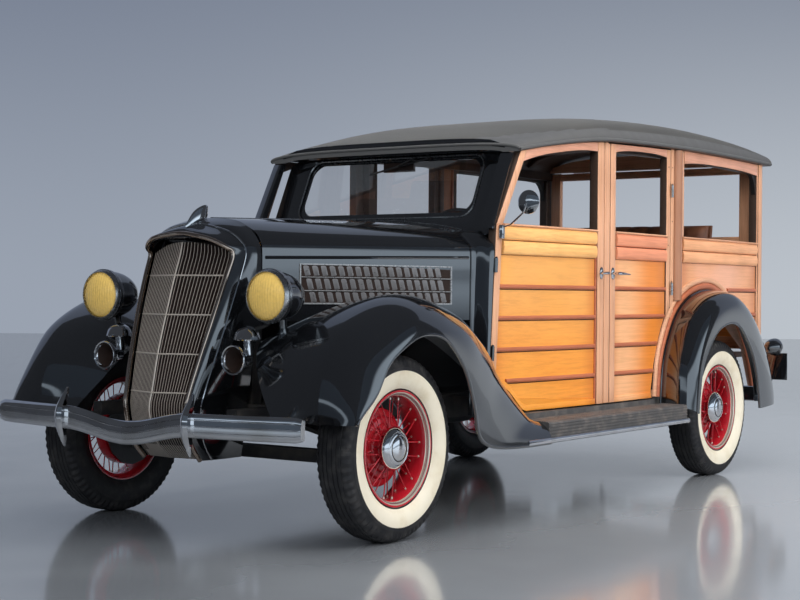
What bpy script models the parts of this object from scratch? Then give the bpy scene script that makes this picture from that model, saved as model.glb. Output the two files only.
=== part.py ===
"""Wood-bodied station wagon of the mid nineteen-thirties, built as separate solids.

Metres, +Z up. The car faces -Y, +X is its left side, and the floor is z = 0.
Places along the car are told from the front axle, so they follow WHEELBASE and the overhangs.
"""

import math

import bmesh
import bpy
from mathutils import Matrix, Vector
from mathutils.bvhtree import BVHTree

# Driving dimensions
WHEELBASE = 2.845
FRONT_OVERHANG = 0.700
REAR_OVERHANG = 1.097
OVERALL_LENGTH = FRONT_OVERHANG + WHEELBASE + REAR_OVERHANG
FRONT_AXLE_Y = FRONT_OVERHANG - OVERALL_LENGTH / 2
REAR_AXLE_Y = FRONT_AXLE_Y + WHEELBASE
GAP = 0.0003
RUNNING_GAP = 0.006

# Wheels and tyres
TYRE_RADIUS = 0.350
TYRE_HALF_WIDTH = 0.080
RIM_RADIUS = 0.2183
RIM_SEAT_RADIUS = 0.2050
RIM_HALF_WIDTH = 0.060
FRONT_TRACK = 1.410
REAR_TRACK = 1.480
DRUM_RADIUS = 0.150
DRUM_INNER_X = -0.090
HUB_RADIUS = 0.056
HUB_CAP_RADIUS = 0.082
SPINDLE_RADIUS = 0.018
SPINDLE_REACH = 0.015
BORE_REACH = 0.020
SPOKE_COUNT = 16
SPOKE_THICKNESS = 0.007
ROUND_STEPS = 24
HUB_STEPS = 14

# Axles, knuckles and frame
KINGPIN_X = FRONT_TRACK / 2 - 0.133
KINGPIN_RADIUS = 0.012
AXLE_BOSS_RADIUS = 0.026
AXLE_BOSS_HALF_HEIGHT = 0.055
LUG_THICKNESS = 0.020
BEAM_DEPTH = 0.050
BEAM_DROP = 0.050
BACKING_PLATE_THICKNESS = 0.007
REAR_TUBE_RADIUS = 0.040
DIFFERENTIAL_RADIUS = 0.130
SPRING_THICKNESS = 0.030
SPRING_WIDTH = 0.055
SPRING_HALF_SPAN = 0.470
RAIL_WIDTH = 0.045
RAIL_DEPTH = 0.100
FLOOR_Z = 0.500
LOAD_FLOOR_Z = 0.585
FLOOR_THICKNESS = 0.030

# Body
BODY_HALF_WIDTH = 0.716
FLOOR_HALF_WIDTH = BODY_HALF_WIDTH - 0.116
FLOOR_STEP_Y = WHEELBASE - 0.245
DOOR_THICKNESS = 0.040
POST_THICKNESS = 0.050
SILL_Z = 0.426
BELT_Z = 1.221
BELT_PLANK_HEIGHT = 0.063
RIB_HEIGHT = 0.025
PANEL_RECESS = 0.010
DOOR_GAP = 0.006
DOOR_FRONT_Y = 0.800
DOOR_SPLIT_Y = 1.763
REAR_DOOR_END_Y = WHEELBASE - 0.412
QUARTER_FRAME_Y = WHEELBASE - 0.223
TAIL_POST_Y = WHEELBASE + 0.686
BODY_REAR_Y = WHEELBASE + 0.817
STILE_WIDTH = 0.070
ROOF_HALF_WIDTH = BODY_HALF_WIDTH + 0.022
ROOF_THICKNESS = 0.030
WINDOW_HEADER = 0.044
ROOF_FRONT_Y = 1.000
ROOF_REAR_Y = BODY_REAR_Y + 0.078

# Front end
HOOD_FRONT_Y = -0.195
HOOD_REAR_Y = 0.760
HOOD_RIDGE_Z = 1.245
HOOD_SIDE_Z = 0.820
HOOD_THICKNESS = 0.005
GRILLE_TOP_Z = 1.135
GRILLE_HALF_WIDTH = 0.210
GRILLE_BARS_A_SIDE = 6
SHELL_THICKNESS = 0.006
LAMP_X = 0.426
LAMP_Y = -0.362
LAMP_Z = 0.915
LAMP_RADIUS = 0.1015
LAMP_LENGTH = 0.195
HORN_X = 0.329
HORN_Y = -0.438
HORN_Z = 0.680
HORN_RADIUS = 0.0565

# Fenders and running boards
FENDER_HALF_WIDTH = 0.8825
FENDER_THICKNESS = 0.005
FRONT_FENDER_LENGTH = 1.250
FRONT_FENDER_TAIL = 0.950
FRONT_CROWN_Z = 0.925
REAR_FENDER_LENGTH = 0.700
REAR_CROWN_Z = 0.958
BOARD_REAR_Y = WHEELBASE - 0.530
BOARD_THICKNESS = 0.080
BOARD_ROUND = 0.012

# Bumpers
BUMPER_HALF_WIDTH = 0.763
REAR_BUMPER_HALF_WIDTH = 0.600
BUMPER_HEIGHT = 0.088
BUMPER_THICKNESS = 0.022
FRONT_BUMPER_Z = 0.411
REAR_BUMPER_Z = 0.365
GUARD_HEIGHT = 0.225
GUARD_X = 0.318
REAR_GUARD_X = 0.420

# Colours: base colour, roughness, metallic
BLACK_PAINT = ("black paint", (0.010, 0.011, 0.013), 0.15, 0.0)
MAPLE = ("maple", (0.60, 0.33, 0.19), 0.35, 0.0)
PANEL_WOOD = ("panel wood", (0.72, 0.34, 0.08), 0.35, 0.0)
ROOF_CLOTH = ("roof covering", (0.045, 0.046, 0.050), 0.75, 0.0)
RED_PAINT = ("red paint", (0.42, 0.012, 0.02), 0.25, 0.0)
TYRE_RUBBER = ("tyre rubber", (0.02, 0.02, 0.02), 0.80, 0.0)
CHROME = ("chrome", (0.75, 0.76, 0.78), 0.08, 1.0)
STEEL = ("grille steel", (0.55, 0.55, 0.56), 0.30, 1.0)
CHASSIS_BLACK = ("chassis black", (0.02, 0.02, 0.02), 0.60, 0.0)
CAST_IRON = ("cast iron", (0.12, 0.12, 0.12), 0.60, 0.6)
LEATHER = ("brown leather", (0.16, 0.06, 0.03), 0.50, 0.0)
GLASS = ("glass", (0.70, 0.76, 0.78), 0.05, 0.0)
RUBBER = ("ribbed rubber", (0.03, 0.03, 0.03), 0.70, 0.0)


def axle_y(place):
    """A place along the car, told from the front axle."""
    return FRONT_AXLE_Y + place


def clear_scene():
    for old in list(bpy.data.objects):
        bpy.data.objects.remove(old, do_unlink=True)


def material(finish):
    name, colour, roughness, metallic = finish
    found = bpy.data.materials.get(name)
    if found:
        return found
    made = bpy.data.materials.new(name)
    made.use_nodes = True
    shader = made.node_tree.nodes["Principled BSDF"]
    shader.inputs["Base Color"].default_value = (*colour, 1.0)
    shader.inputs["Roughness"].default_value = roughness
    shader.inputs["Metallic"].default_value = metallic
    made.diffuse_color = (*colour, 1.0)
    return made


def add_solid(name, points, faces, finish, origin=(0, 0, 0), parent=None, outward=True):
    """One named object, its mesh told in world places and its origin on its joint's axis."""
    mesh = bpy.data.meshes.new(name)
    start = Vector(origin)
    mesh.from_pydata([Vector(point) - start for point in points], [], faces)
    shape = bmesh.new()
    shape.from_mesh(mesh)
    if outward:
        bmesh.ops.recalc_face_normals(shape, faces=shape.faces)
    shape.to_mesh(mesh)
    shape.free()
    mesh.materials.append(material(finish))
    made = bpy.data.objects.new(name, mesh)
    bpy.context.scene.collection.objects.link(made)
    made.location = start
    if parent is not None:
        made.parent = parent
        made.location = start - parent_place(parent)
    return made


def parent_place(thing):
    place = Vector(thing.location)
    while thing.parent is not None:
        thing = thing.parent
        place = place + Vector(thing.location)
    return place


def smooth(thing, degrees=35):
    thing.data.shade_smooth()
    thing.data.set_sharp_from_angle(angle=math.radians(degrees))


def as_helper(thing):
    thing.hide_render = True
    thing.display_type = "WIRE"
    return thing


def join_pieces(body, pieces):
    """One solid from the pieces that are welded to the body."""
    for piece in pieces:
        as_helper(piece)
        union = body.modifiers.new("Join " + piece.name, "BOOLEAN")
        union.operation = "UNION"
        union.solver = "EXACT"
        union.object = piece
    return body


def cut_away(body, cutters):
    for cutter in cutters:
        as_helper(cutter)
        cut = body.modifiers.new("Cut " + cutter.name, "BOOLEAN")
        cut.operation = "DIFFERENCE"
        cut.solver = "EXACT"
        cut.object = cutter
    return body


def loft(name, rings, finish, origin=(0, 0, 0), parent=None):
    """A solid through rings of equally many points, closed at both ends."""
    count = len(rings[0])
    points = [point for ring in rings for point in ring]
    faces = [tuple(range(count)), tuple(range((len(rings) - 1) * count, len(rings) * count))]
    for row in range(len(rings) - 1):
        for column in range(count):
            after = (column + 1) % count
            faces.append((row * count + column, row * count + after,
                          (row + 1) * count + after, (row + 1) * count + column))
    return add_solid(name, points, faces, finish, origin, parent)


def box(name, low, high, finish, origin=(0, 0, 0), parent=None):
    rings = [[(x, low[1], low[2]), (x, high[1], low[2]), (x, high[1], high[2]), (x, low[1], high[2])]
             for x in (low[0], high[0])]
    return loft(name, rings, finish, origin, parent)


def turned(name, profile, centre, axis, steps, finish, origin=None, parent=None):
    """A profile of (place along the axis, radius) turned about the axis; a radius of 0 is a pole."""
    along = Vector(axis).normalized()
    side = along.orthogonal().normalized()
    if abs(along.z) < 0.5:
        side = Vector((0, 0, -1)) - along * Vector((0, 0, -1)).dot(along)
        side.normalize()
    other = along.cross(side)
    middle = Vector(centre)
    points = []
    rings = []
    for reach, radius in profile:
        if radius == 0:
            points.append(middle + along * reach)
            rings.append([len(points) - 1] * steps)
            continue
        ring = []
        for step in range(steps):
            angle = 2 * math.pi * step / steps
            points.append(middle + along * reach + (side * math.cos(angle) + other * math.sin(angle)) * radius)
            ring.append(len(points) - 1)
        rings.append(ring)
    faces = []
    closed = profile[0][1] != 0 or profile[-1][1] != 0
    pairs = list(zip(rings, rings[1:])) + ([(rings[-1], rings[0])] if closed else [])
    for ring, following in pairs:
        for step in range(steps):
            after = (step + 1) % steps
            face = []
            for index in (ring[step], ring[after], following[after], following[step]):
                if index not in face:
                    face.append(index)
            if len(face) > 2:
                faces.append(tuple(face))
    made = add_solid(name, points, faces, finish, origin or centre, parent)
    smooth(made)
    return made


def rod(name, start, end, radius, steps, finish, origin=None, parent=None, end_radius=None):
    first = Vector(start)
    reach = (Vector(end) - first).length
    last = radius if end_radius is None else end_radius
    profile = [(0, 0), (0, radius), (reach, last), (reach, 0)]
    return turned(name, profile, first, Vector(end) - first, steps, finish, origin or start, parent)


def sheet(name, rows, thickness, finish, origin=(0, 0, 0), parent=None, flip=False):
    """A curved sheet through rows of points, given its thickness by a Solidify modifier."""
    count = len(rows[0])
    points = [point for row in rows for point in row]
    faces = []
    for row in range(len(rows) - 1):
        for column in range(count - 1):
            low = row * count + column
            face = (low, low + 1, low + count + 1, low + count)
            faces.append(face[::-1] if flip else face)
    made = add_solid(name, points, faces, finish, origin, parent, outward=False)
    wall = made.modifiers.new("Wall", "SOLIDIFY")
    wall.thickness = thickness
    wall.offset = -1
    wall.use_even_offset = True
    smooth(made)
    return made


def follow(table, place):
    """The value of a table of (place, value) at a place, by straight steps."""
    if place <= table[0][0]:
        return table[0][1]
    for (before, low), (after, high) in zip(table, table[1:]):
        if place <= after:
            return low + (high - low) * (place - before) / (after - before)
    return table[-1][1]


def rounded_rows(rows, steps):
    """Rows of numbers with more rows between them, on a smooth curve through the given ones."""
    made = []
    for index in range(len(rows) - 1):
        before = rows[max(index - 1, 0)]
        first = rows[index]
        second = rows[index + 1]
        after = rows[min(index + 2, len(rows) - 1)]
        for step in range(steps):
            t = step / steps
            made.append(tuple(
                b + (c - a) * t / 2 + (2 * a - 5 * b + 4 * c - d) * t * t / 2
                + (3 * b - a - 3 * c + d) * t * t * t / 2
                for a, b, c, d in zip(before, first, second, after)))
    made.append(tuple(rows[-1]))
    return made


# Body lines that several pieces share

# (share of the way from door front to body rear, share of the half width)
BODY_PLAN_SHARES = ((0, 0.925), (0.08, 0.952), (0.18, 0.980), (0.33, 0.998), (0.60, 1.0), (0.82, 0.996), (1, 0.978))


def body_x(place):
    """Outer half width of the wooden body at a place behind the front axle."""
    share = (place - DOOR_FRONT_Y) / (BODY_REAR_Y - DOOR_FRONT_Y)
    return BODY_HALF_WIDTH * follow(BODY_PLAN_SHARES, share)


# (share of the roof's length, drip edge height and crown height as shares of the belt's height)
ROOF_EDGE_SHARES = ((0, 1.262), (0.10, 1.300), (0.24, 1.338), (0.39, 1.353), (0.60, 1.365),
                    (0.78, 1.367), (1, 1.366))
ROOF_CROWN_SHARES = ((0, 0.036), (0.09, 0.057), (0.18, 0.078), (0.36, 0.107), (0.55, 0.119),
                     (0.73, 0.119), (0.88, 0.107), (0.97, 0.090), (1, 0.080))


ROOF_STATIONS = 12


def roof_share(place):
    return (place - ROOF_FRONT_Y) / (ROOF_REAR_Y - ROOF_FRONT_Y)


def roof_edge_z(place):
    return BELT_Z * follow(ROOF_EDGE_SHARES, roof_share(place))


def roof_crown_z(place):
    return roof_edge_z(place) + BELT_Z * follow(ROOF_CROWN_SHARES, roof_share(place))


def roof_places():
    return [ROOF_FRONT_Y + (ROOF_REAR_Y - ROOF_FRONT_Y) * step / ROOF_STATIONS for step in range(ROOF_STATIONS + 1)]


def roof_bottom_z(place):
    """Underside of the drip edge, straight between the roof's own stations."""
    return follow([(station, roof_edge_z(station)) for station in roof_places()], place)


def window_top_z(place):
    return roof_edge_z(place) - WINDOW_HEADER


WINDSHIELD_FOOT_Y = 0.930
WINDSHIELD_FOOT_Z = 1.262
WINDSHIELD_TOP_Z = 1.545
WINDSHIELD_RAKE = 0.47
WINDSHIELD_HALF_WIDTH = BODY_HALF_WIDTH - 0.230
PILLAR_HALF_WIDTH = BODY_HALF_WIDTH - 0.101
PILLAR_FOOT_HALF_WIDTH = BODY_HALF_WIDTH - 0.116
PILLAR_THICKNESS = 0.035
DOOR_RAKE_LOW = 0.063


def windshield_y(height):
    return WINDSHIELD_FOOT_Y + (height - WINDSHIELD_FOOT_Z) * WINDSHIELD_RAKE


def door_front_y(height):
    """Front edge of the front door: it leans back a little to the belt and more above it."""
    lean = DOOR_FRONT_Y + (min(height, BELT_Z) - SILL_Z) * DOOR_RAKE_LOW
    return lean + max(0, height - BELT_Z) * (WINDSHIELD_RAKE + DOOR_RAKE_LOW)


HOLE = 0
FRAME = 1
PANEL = 2


def framed_panel(name, columns, rows, level, place, thickness, recess, finish, origin=(0, 0, 0), parent=None):
    """A wall of cells: frame cells stand proud, panel cells lie back by the recess, holes are open.

    place(column, row, depth) gives a corner's point at a depth below the outer face.
    """
    points = []
    numbers = {}

    def corner(column, row, depth):
        key = (column, row, depth)
        if key not in numbers:
            numbers[key] = len(points)
            points.append(place(column, row, depth))
        return numbers[key]

    def kind(column, row):
        if 0 <= column < columns and 0 <= row < rows:
            return level(column, row)
        return HOLE

    depths = {FRAME: 0, PANEL: recess}
    faces = []
    for column in range(columns):
        for row in range(rows):
            here = kind(column, row)
            if here == HOLE:
                continue
            ring = ((column, row), (column + 1, row), (column + 1, row + 1), (column, row + 1))
            faces.append(tuple(corner(*spot, depths[here]) for spot in ring))
            faces.append(tuple(corner(*spot, thickness) for spot in reversed(ring)))
            neighbours = ((column, row - 1), (column + 1, row), (column, row + 1), (column - 1, row))
            for (first, second), beside in zip(zip(ring, ring[1:] + ring[:1]), neighbours):
                other = kind(*beside)
                if other == HOLE:
                    low = thickness
                elif here == FRAME and other == PANEL:
                    low = recess
                else:
                    continue
                faces.append((corner(*first, depths[here]), corner(*first, low),
                              corner(*second, low), corner(*second, depths[here])))
    return add_solid(name, points, faces, finish, origin, parent)


# Wheels

def wheel_centre(side, front):
    track = FRONT_TRACK if front else REAR_TRACK
    return Vector((side * track / 2, FRONT_AXLE_Y if front else REAR_AXLE_Y, TYRE_RADIUS))


RIM_LIP = 0.006
RIM_DEPTH = 0.009

# (share of the tyre's half width, share of the way from rim seat to tread)
TYRE_SHARES = ((0.64, 0), (0.67, 0.11), (0.95, 0.30), (1.0, 0.55), (0.82, 0.90), (0.42, 1.0))


def tyre_profile():
    seat = RIM_SEAT_RADIUS + GAP
    half = [(TYRE_HALF_WIDTH * wide, seat + (TYRE_RADIUS - seat) * high) for wide, high in TYRE_SHARES]
    return half + [(-wide, radius) for wide, radius in reversed(half)]


def rim_profile():
    lip = RIM_HALF_WIDTH - RIM_LIP / 2
    inner = RIM_SEAT_RADIUS - RIM_DEPTH
    half = [(RIM_HALF_WIDTH - RIM_LIP, RIM_SEAT_RADIUS), (lip, RIM_RADIUS),
            (RIM_HALF_WIDTH, RIM_RADIUS), (RIM_HALF_WIDTH - RIM_LIP, inner)]
    return half + [(-reach, radius) for reach, radius in reversed(half)]


# (reach along the axle as a share of the rim's half width, share of the drum's radius)
DRUM_SHARES = ((0.10, 0.387), (-0.42, 0.90), (-0.62, 1.0))
CAP_DOME_SHARES = ((1.16, 0), (1.10, 0.45), (0.86, 0.94), (0.70, 1.0), (0.58, 0.80))


def hub_profile(with_drum):
    """Cap, barrel and drum round a blind bore for the spindle."""
    cap = [(RIM_HALF_WIDTH * reach, HUB_CAP_RADIUS * share) for reach, share in CAP_DOME_SHARES]
    barrel = [(RIM_HALF_WIDTH * 0.54, HUB_RADIUS)]
    if with_drum:
        drum = [(RIM_HALF_WIDTH * reach, DRUM_RADIUS * share) for reach, share in DRUM_SHARES]
        inner = DRUM_INNER_X
    else:
        drum = []
        inner = -RIM_HALF_WIDTH * 0.5
    bore = (SPINDLE_RADIUS + GAP) / math.cos(math.pi / HUB_STEPS)
    foot = [(inner, (drum[-1][1] if drum else HUB_RADIUS)), (inner, bore)]
    return cap + barrel + drum + foot + [(BORE_REACH, bore), (BORE_REACH, 0)]


def spoke(name, centre, out, angle, number):
    """One wire spoke from the hub to the rim, leaning to one side and then the other."""
    lean = math.radians(16) * (1 if number % 2 else -1)
    hub_reach = RIM_HALF_WIDTH * (0.46 if number % 4 < 2 else 0.16)
    rim_reach = 0
    up = Vector((0, 0, 1))
    forward = out.cross(up)

    def ring(reach, radius, turn):
        radial = up * math.cos(turn) + forward * math.sin(turn)
        tangent = forward * math.cos(turn) - up * math.sin(turn)
        middle = centre + out * reach + radial * radius
        half = SPOKE_THICKNESS / 2
        return [middle + out * half * a + tangent * half * b for a, b in ((1, 1), (1, -1), (-1, -1), (-1, 1))]

    rings = [ring(hub_reach, HUB_RADIUS * 0.8, angle + lean), ring(rim_reach, RIM_SEAT_RADIUS - RIM_DEPTH / 2, angle)]
    return loft(name, rings, RED_PAINT, centre)


def add_wheel(name, centre, out, finish, parent=None, with_drum=True):
    rim = turned(name, rim_profile(), centre, out, ROUND_STEPS, finish, centre, parent)
    pieces = [turned(name + "_hub", hub_profile(with_drum), centre, out, HUB_STEPS, finish)]
    pieces += [spoke(name + "_spoke_%d" % number, Vector(centre), Vector(out),
                     2 * math.pi * (number + 0.5) / SPOKE_COUNT, number) for number in range(SPOKE_COUNT)]
    join_pieces(rim, pieces)
    return rim


def add_tyre(name, centre, out, parent=None):
    return turned(name, tyre_profile(), centre, out, ROUND_STEPS, TYRE_RUBBER, centre, parent)


# Running gear

def add_front_axle():
    """Dropped beam with a boss at each kingpin, and the transverse leaf spring over it."""
    boss_z = TYRE_RADIUS
    half = BEAM_DEPTH / 2
    low = boss_z - BEAM_DROP

    def section(x, z):
        return [(x, FRONT_AXLE_Y - half, z - half), (x, FRONT_AXLE_Y + half, z - half),
                (x, FRONT_AXLE_Y + half, z + half), (x, FRONT_AXLE_Y - half, z + half)]

    reach = KINGPIN_X - AXLE_BOSS_RADIUS / 2
    beam = loft("front_axle", [section(-reach, boss_z), section(-reach * 0.8, low), section(reach * 0.8, low),
                               section(reach, boss_z)], CHASSIS_BLACK)
    pieces = []
    bores = []
    for side in (-1, 1):
        spot = Vector((side * KINGPIN_X, FRONT_AXLE_Y, boss_z))
        lift = Vector((0, 0, AXLE_BOSS_HALF_HEIGHT))
        pieces.append(rod("front_boss_%d" % side, spot - lift, spot + lift, AXLE_BOSS_RADIUS, 16, CHASSIS_BLACK))
        bores.append(rod("front_bore_%d" % side, spot - lift * 1.5, spot + lift * 1.5,
                         KINGPIN_RADIUS + GAP * 2, 12, CHASSIS_BLACK))
        foot = side * SPRING_HALF_SPAN * 0.92
        pieces.append(rod("front_shackle_%d" % side, (foot, FRONT_AXLE_Y, low), (foot, FRONT_AXLE_Y, spring_end_z()),
                          BEAM_DEPTH / 4, 8, CHASSIS_BLACK))
    pieces.append(leaf_spring("front_spring", FRONT_AXLE_Y, FLOOR_Z - CROSS_DEPTH - GAP * 3, spring_end_z()))
    join_pieces(beam, pieces)
    cut_away(beam, bores)
    return beam


CROSS_DEPTH = 0.050


def spring_end_z():
    return FLOOR_Z - CROSS_DEPTH - SPRING_THICKNESS * 2.5


def leaf_spring(name, y, top_z, end_z):
    """Transverse leaf spring, thick in the middle and thin at its eyes."""
    rings = []
    for step in range(9):
        t = -1 + step / 4
        thick = SPRING_THICKNESS * (1 - 0.55 * abs(t))
        middle = top_z - thick / 2 - (top_z - end_z - thick / 2) * t * t
        x = SPRING_HALF_SPAN * t
        rings.append([(x, y - SPRING_WIDTH / 2, middle - thick / 2), (x, y + SPRING_WIDTH / 2, middle - thick / 2),
                      (x, y + SPRING_WIDTH / 2, middle + thick / 2), (x, y - SPRING_WIDTH / 2, middle + thick / 2)])
    return loft(name, rings, CHASSIS_BLACK)


def add_knuckle(side, word):
    """Backing plate and spindle, with a lug above and below the axle's boss on the kingpin."""
    pin = Vector((side * KINGPIN_X, FRONT_AXLE_Y, TYRE_RADIUS))
    centre = wheel_centre(side, True)
    out = Vector((side, 0, 0))
    plate_inner = FRONT_TRACK / 2 + DRUM_INNER_X - RUNNING_GAP - BACKING_PLATE_THICKNESS
    profile = [(plate_inner, 0), (plate_inner, DRUM_RADIUS),
               (plate_inner + BACKING_PLATE_THICKNESS, DRUM_RADIUS),
               (plate_inner + BACKING_PLATE_THICKNESS, SPINDLE_RADIUS),
               (FRONT_TRACK / 2 + SPINDLE_REACH, SPINDLE_RADIUS), (FRONT_TRACK / 2 + SPINDLE_REACH, 0)]
    knuckle = turned("knuckle_" + word, profile, (0, FRONT_AXLE_Y, TYRE_RADIUS), out, HUB_STEPS, CAST_IRON, pin)
    pieces = []
    for end in (-1, 1):
        near = AXLE_BOSS_HALF_HEIGHT + RUNNING_GAP
        first = pin + Vector((0, 0, end * near))
        second = pin + Vector((0, 0, end * (near + LUG_THICKNESS)))
        pieces.append(rod("lug_%s_%d" % (word, end), first, second, AXLE_BOSS_RADIUS, 12, CAST_IRON))
        low = min(first.z, second.z)
        pieces.append(box("lug_arm_%s_%d" % (word, end),
                          (min(pin.x, side * (plate_inner + GAP)), pin.y - AXLE_BOSS_RADIUS / 2, low + GAP),
                          (max(pin.x, side * (plate_inner + GAP)), pin.y + AXLE_BOSS_RADIUS / 2, low + LUG_THICKNESS - GAP),
                          CAST_IRON))
    reach = Vector((0, 0, AXLE_BOSS_HALF_HEIGHT + RUNNING_GAP + LUG_THICKNESS / 2))
    pieces.append(rod("kingpin_" + word, pin - reach, pin + reach, KINGPIN_RADIUS, 12, CAST_IRON))
    join_pieces(knuckle, pieces)
    return knuckle, centre, out


def add_rear_axle():
    """Axle tube with its round differential, backing plates, torque tube and transverse spring."""
    plate = REAR_TRACK / 2 + DRUM_INNER_X - RUNNING_GAP
    end = REAR_TRACK / 2 + SPINDLE_REACH
    half = [(end, 0), (end, SPINDLE_RADIUS), (plate, SPINDLE_RADIUS), (plate, DRUM_RADIUS),
            (plate - BACKING_PLATE_THICKNESS, DRUM_RADIUS), (plate - BACKING_PLATE_THICKNESS, REAR_TUBE_RADIUS),
            (DIFFERENTIAL_RADIUS * 1.3, REAR_TUBE_RADIUS * 1.3), (DIFFERENTIAL_RADIUS * 0.6, DIFFERENTIAL_RADIUS * 0.85),
            (DIFFERENTIAL_RADIUS * 0.2, DIFFERENTIAL_RADIUS)]
    profile = half + [(-reach, radius) for reach, radius in reversed(half)]
    axle = turned("rear_axle", profile, (0, REAR_AXLE_Y, TYRE_RADIUS), (1, 0, 0), HUB_STEPS, CHASSIS_BLACK)
    spring_y = REAR_AXLE_Y + REAR_SPRING_SETBACK
    end_z = TYRE_RADIUS + REAR_TUBE_RADIUS
    pieces = [rod("torque_tube", (0, REAR_AXLE_Y, TYRE_RADIUS), (0, axle_y(TORQUE_TUBE_Y), TYRE_RADIUS + REAR_TUBE_RADIUS),
                  REAR_TUBE_RADIUS, 12, CHASSIS_BLACK),
              leaf_spring("rear_spring", spring_y, LOAD_FLOOR_Z - CROSS_DEPTH - GAP * 3, end_z)]
    for side in (-1, 1):
        foot = side * SPRING_HALF_SPAN * 0.92
        pieces.append(rod("rear_perch_%d" % side, (foot, REAR_AXLE_Y, TYRE_RADIUS), (foot, spring_y, end_z + SPRING_THICKNESS / 2),
                          REAR_TUBE_RADIUS / 2, 8, CHASSIS_BLACK))
    join_pieces(axle, pieces)
    return axle


REAR_SPRING_SETBACK = 0.110
TORQUE_TUBE_Y = 1.400

# (place behind the front axle as a share of the frame's length, half width as a share of the widest)
FRAME_PLAN_SHARES = ((0, 0.76), (0.17, 0.76), (0.33, 0.93), (0.48, 1.0), (0.70, 1.0), (0.77, 0.98), (1, 0.98))
# (place as a share of the frame's length, depth as a share of the deepest)
RAIL_DEPTH_SHARES = ((0, 0.52), (0.17, 0.55), (0.33, 1.0), (0.75, 1.0), (1, 0.7))
KICK_UP_LENGTH = 0.150
FRAME_HALF_WIDTH = 0.450
FRAME_FRONT_Y = -0.460
FRAME_REAR_Y = BODY_REAR_Y - 0.062
CROSS_WIDTH = 0.060
FRONT_CROSS_WIDTH = 0.160


def rail_top_z(place):
    low = FLOOR_Z - GAP
    high = LOAD_FLOOR_Z - GAP
    share = max(0, min(1, (place - FLOOR_STEP_Y) / KICK_UP_LENGTH))
    return low + (high - low) * share


def rail_x(place):
    return FRAME_HALF_WIDTH * follow(FRAME_PLAN_SHARES, (place - FRAME_FRONT_Y) / (FRAME_REAR_Y - FRAME_FRONT_Y))


def add_frame():
    """Two side rails that widen rearwards and kick up over the axle, with cross members and an X."""
    places = [FRAME_FRONT_Y + share * (FRAME_REAR_Y - FRAME_FRONT_Y) for share, _ in FRAME_PLAN_SHARES]
    places = sorted(places + [FLOOR_STEP_Y, FLOOR_STEP_Y + KICK_UP_LENGTH])
    rails = []
    for side, word in ((1, "left"), (-1, "right")):
        rings = []
        for place in places:
            middle = side * rail_x(place)
            top = rail_top_z(place)
            y = axle_y(place)
            low = top - RAIL_DEPTH * follow(RAIL_DEPTH_SHARES, (place - FRAME_FRONT_Y) / (FRAME_REAR_Y - FRAME_FRONT_Y))
            rings.append([(middle - RAIL_WIDTH / 2, y, low), (middle + RAIL_WIDTH / 2, y, low),
                          (middle + RAIL_WIDTH / 2, y, top), (middle - RAIL_WIDTH / 2, y, top)])
        rails.append(loft("chassis_frame" if side == 1 else "rail_" + word, rings, CHASSIS_BLACK))
    spring_place = WHEELBASE + REAR_SPRING_SETBACK
    crosses = ((0, FRONT_CROSS_WIDTH, "front"), (FRAME_HALF_WIDTH * 2, CROSS_WIDTH, "gearbox"),
               (TORQUE_TUBE_Y + CROSS_WIDTH, CROSS_WIDTH, "middle"), (spring_place, CROSS_WIDTH, "spring"),
               (FRAME_REAR_Y - CROSS_WIDTH * 2, CROSS_WIDTH, "rear"))
    pieces = rails[1:]
    for place, width, word in crosses:
        top = rail_top_z(place)
        low = place - (FRONT_CROSS_WIDTH * 1.15 if word == "front" else width / 2)
        reach = rail_x(place)
        pieces.append(box("cross_" + word, (-reach, axle_y(low), top - CROSS_DEPTH), (reach, axle_y(place + width / 2), top),
                          CHASSIS_BLACK))
    join_pieces(rails[0], pieces)
    return rails[0]


ENGINE_FRONT_Y = 0.030
ENGINE_REAR_Y = 0.680
ENGINE_HALF_WIDTH = 0.210
ENGINE_TOP_Z = 0.900
RADIATOR_Y = -0.148
RADIATOR_THICKNESS = 0.055
RADIATOR_HALF_WIDTH = 0.200
RADIATOR_TOP_Z = 1.080


def add_engine():
    half = ENGINE_HALF_WIDTH
    profile = ((-half * 0.6, FLOOR_Z), (half * 0.6, FLOOR_Z), (half, (FLOOR_Z + ENGINE_TOP_Z) / 2),
               (half, ENGINE_TOP_Z), (-half, ENGINE_TOP_Z), (-half, (FLOOR_Z + ENGINE_TOP_Z) / 2))
    rings = [[(x, axle_y(place), z) for x, z in profile] for place in (ENGINE_FRONT_Y, ENGINE_REAR_Y)]
    loft("engine_block", rings, CAST_IRON)
    box("radiator", (-RADIATOR_HALF_WIDTH, axle_y(RADIATOR_Y - RADIATOR_THICKNESS / 2), FLOOR_Z),
        (RADIATOR_HALF_WIDTH, axle_y(RADIATOR_Y + RADIATOR_THICKNESS / 2), RADIATOR_TOP_Z), CHASSIS_BLACK)


TANK_HALF_WIDTH = 0.260
TANK_FRONT_Y = WHEELBASE + 0.235
TANK_REAR_Y = WHEELBASE + 0.585
TANK_BOTTOM_Z = 0.400
PIPE_RADIUS = 0.022
MUFFLER_RADIUS = 0.070



def add_tank():
    bevel = TANK_HALF_WIDTH * 0.15
    low, high = TANK_BOTTOM_Z, LOAD_FLOOR_Z - GAP
    y0, y1 = axle_y(TANK_FRONT_Y), axle_y(TANK_REAR_Y)
    profile = ((y0 + bevel, low), (y1 - bevel, low), (y1, low + bevel), (y1, high - bevel), (y1 - bevel, high),
               (y0 + bevel, high), (y0, high - bevel), (y0, low + bevel))
    rings = [[(x, y, z) for y, z in profile] for x in (-TANK_HALF_WIDTH, TANK_HALF_WIDTH)]
    loft("fuel_tank", rings, CHASSIS_BLACK)


PIPE_X = -0.340
PIPE_LOW_Z = 0.330
PIPE_HUMP_Z = 0.503
PIPE_END_Y = BODY_REAR_Y + 0.138
MUFFLER_FRONT_Y = 1.650
MUFFLER_REAR_Y = 2.250


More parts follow.
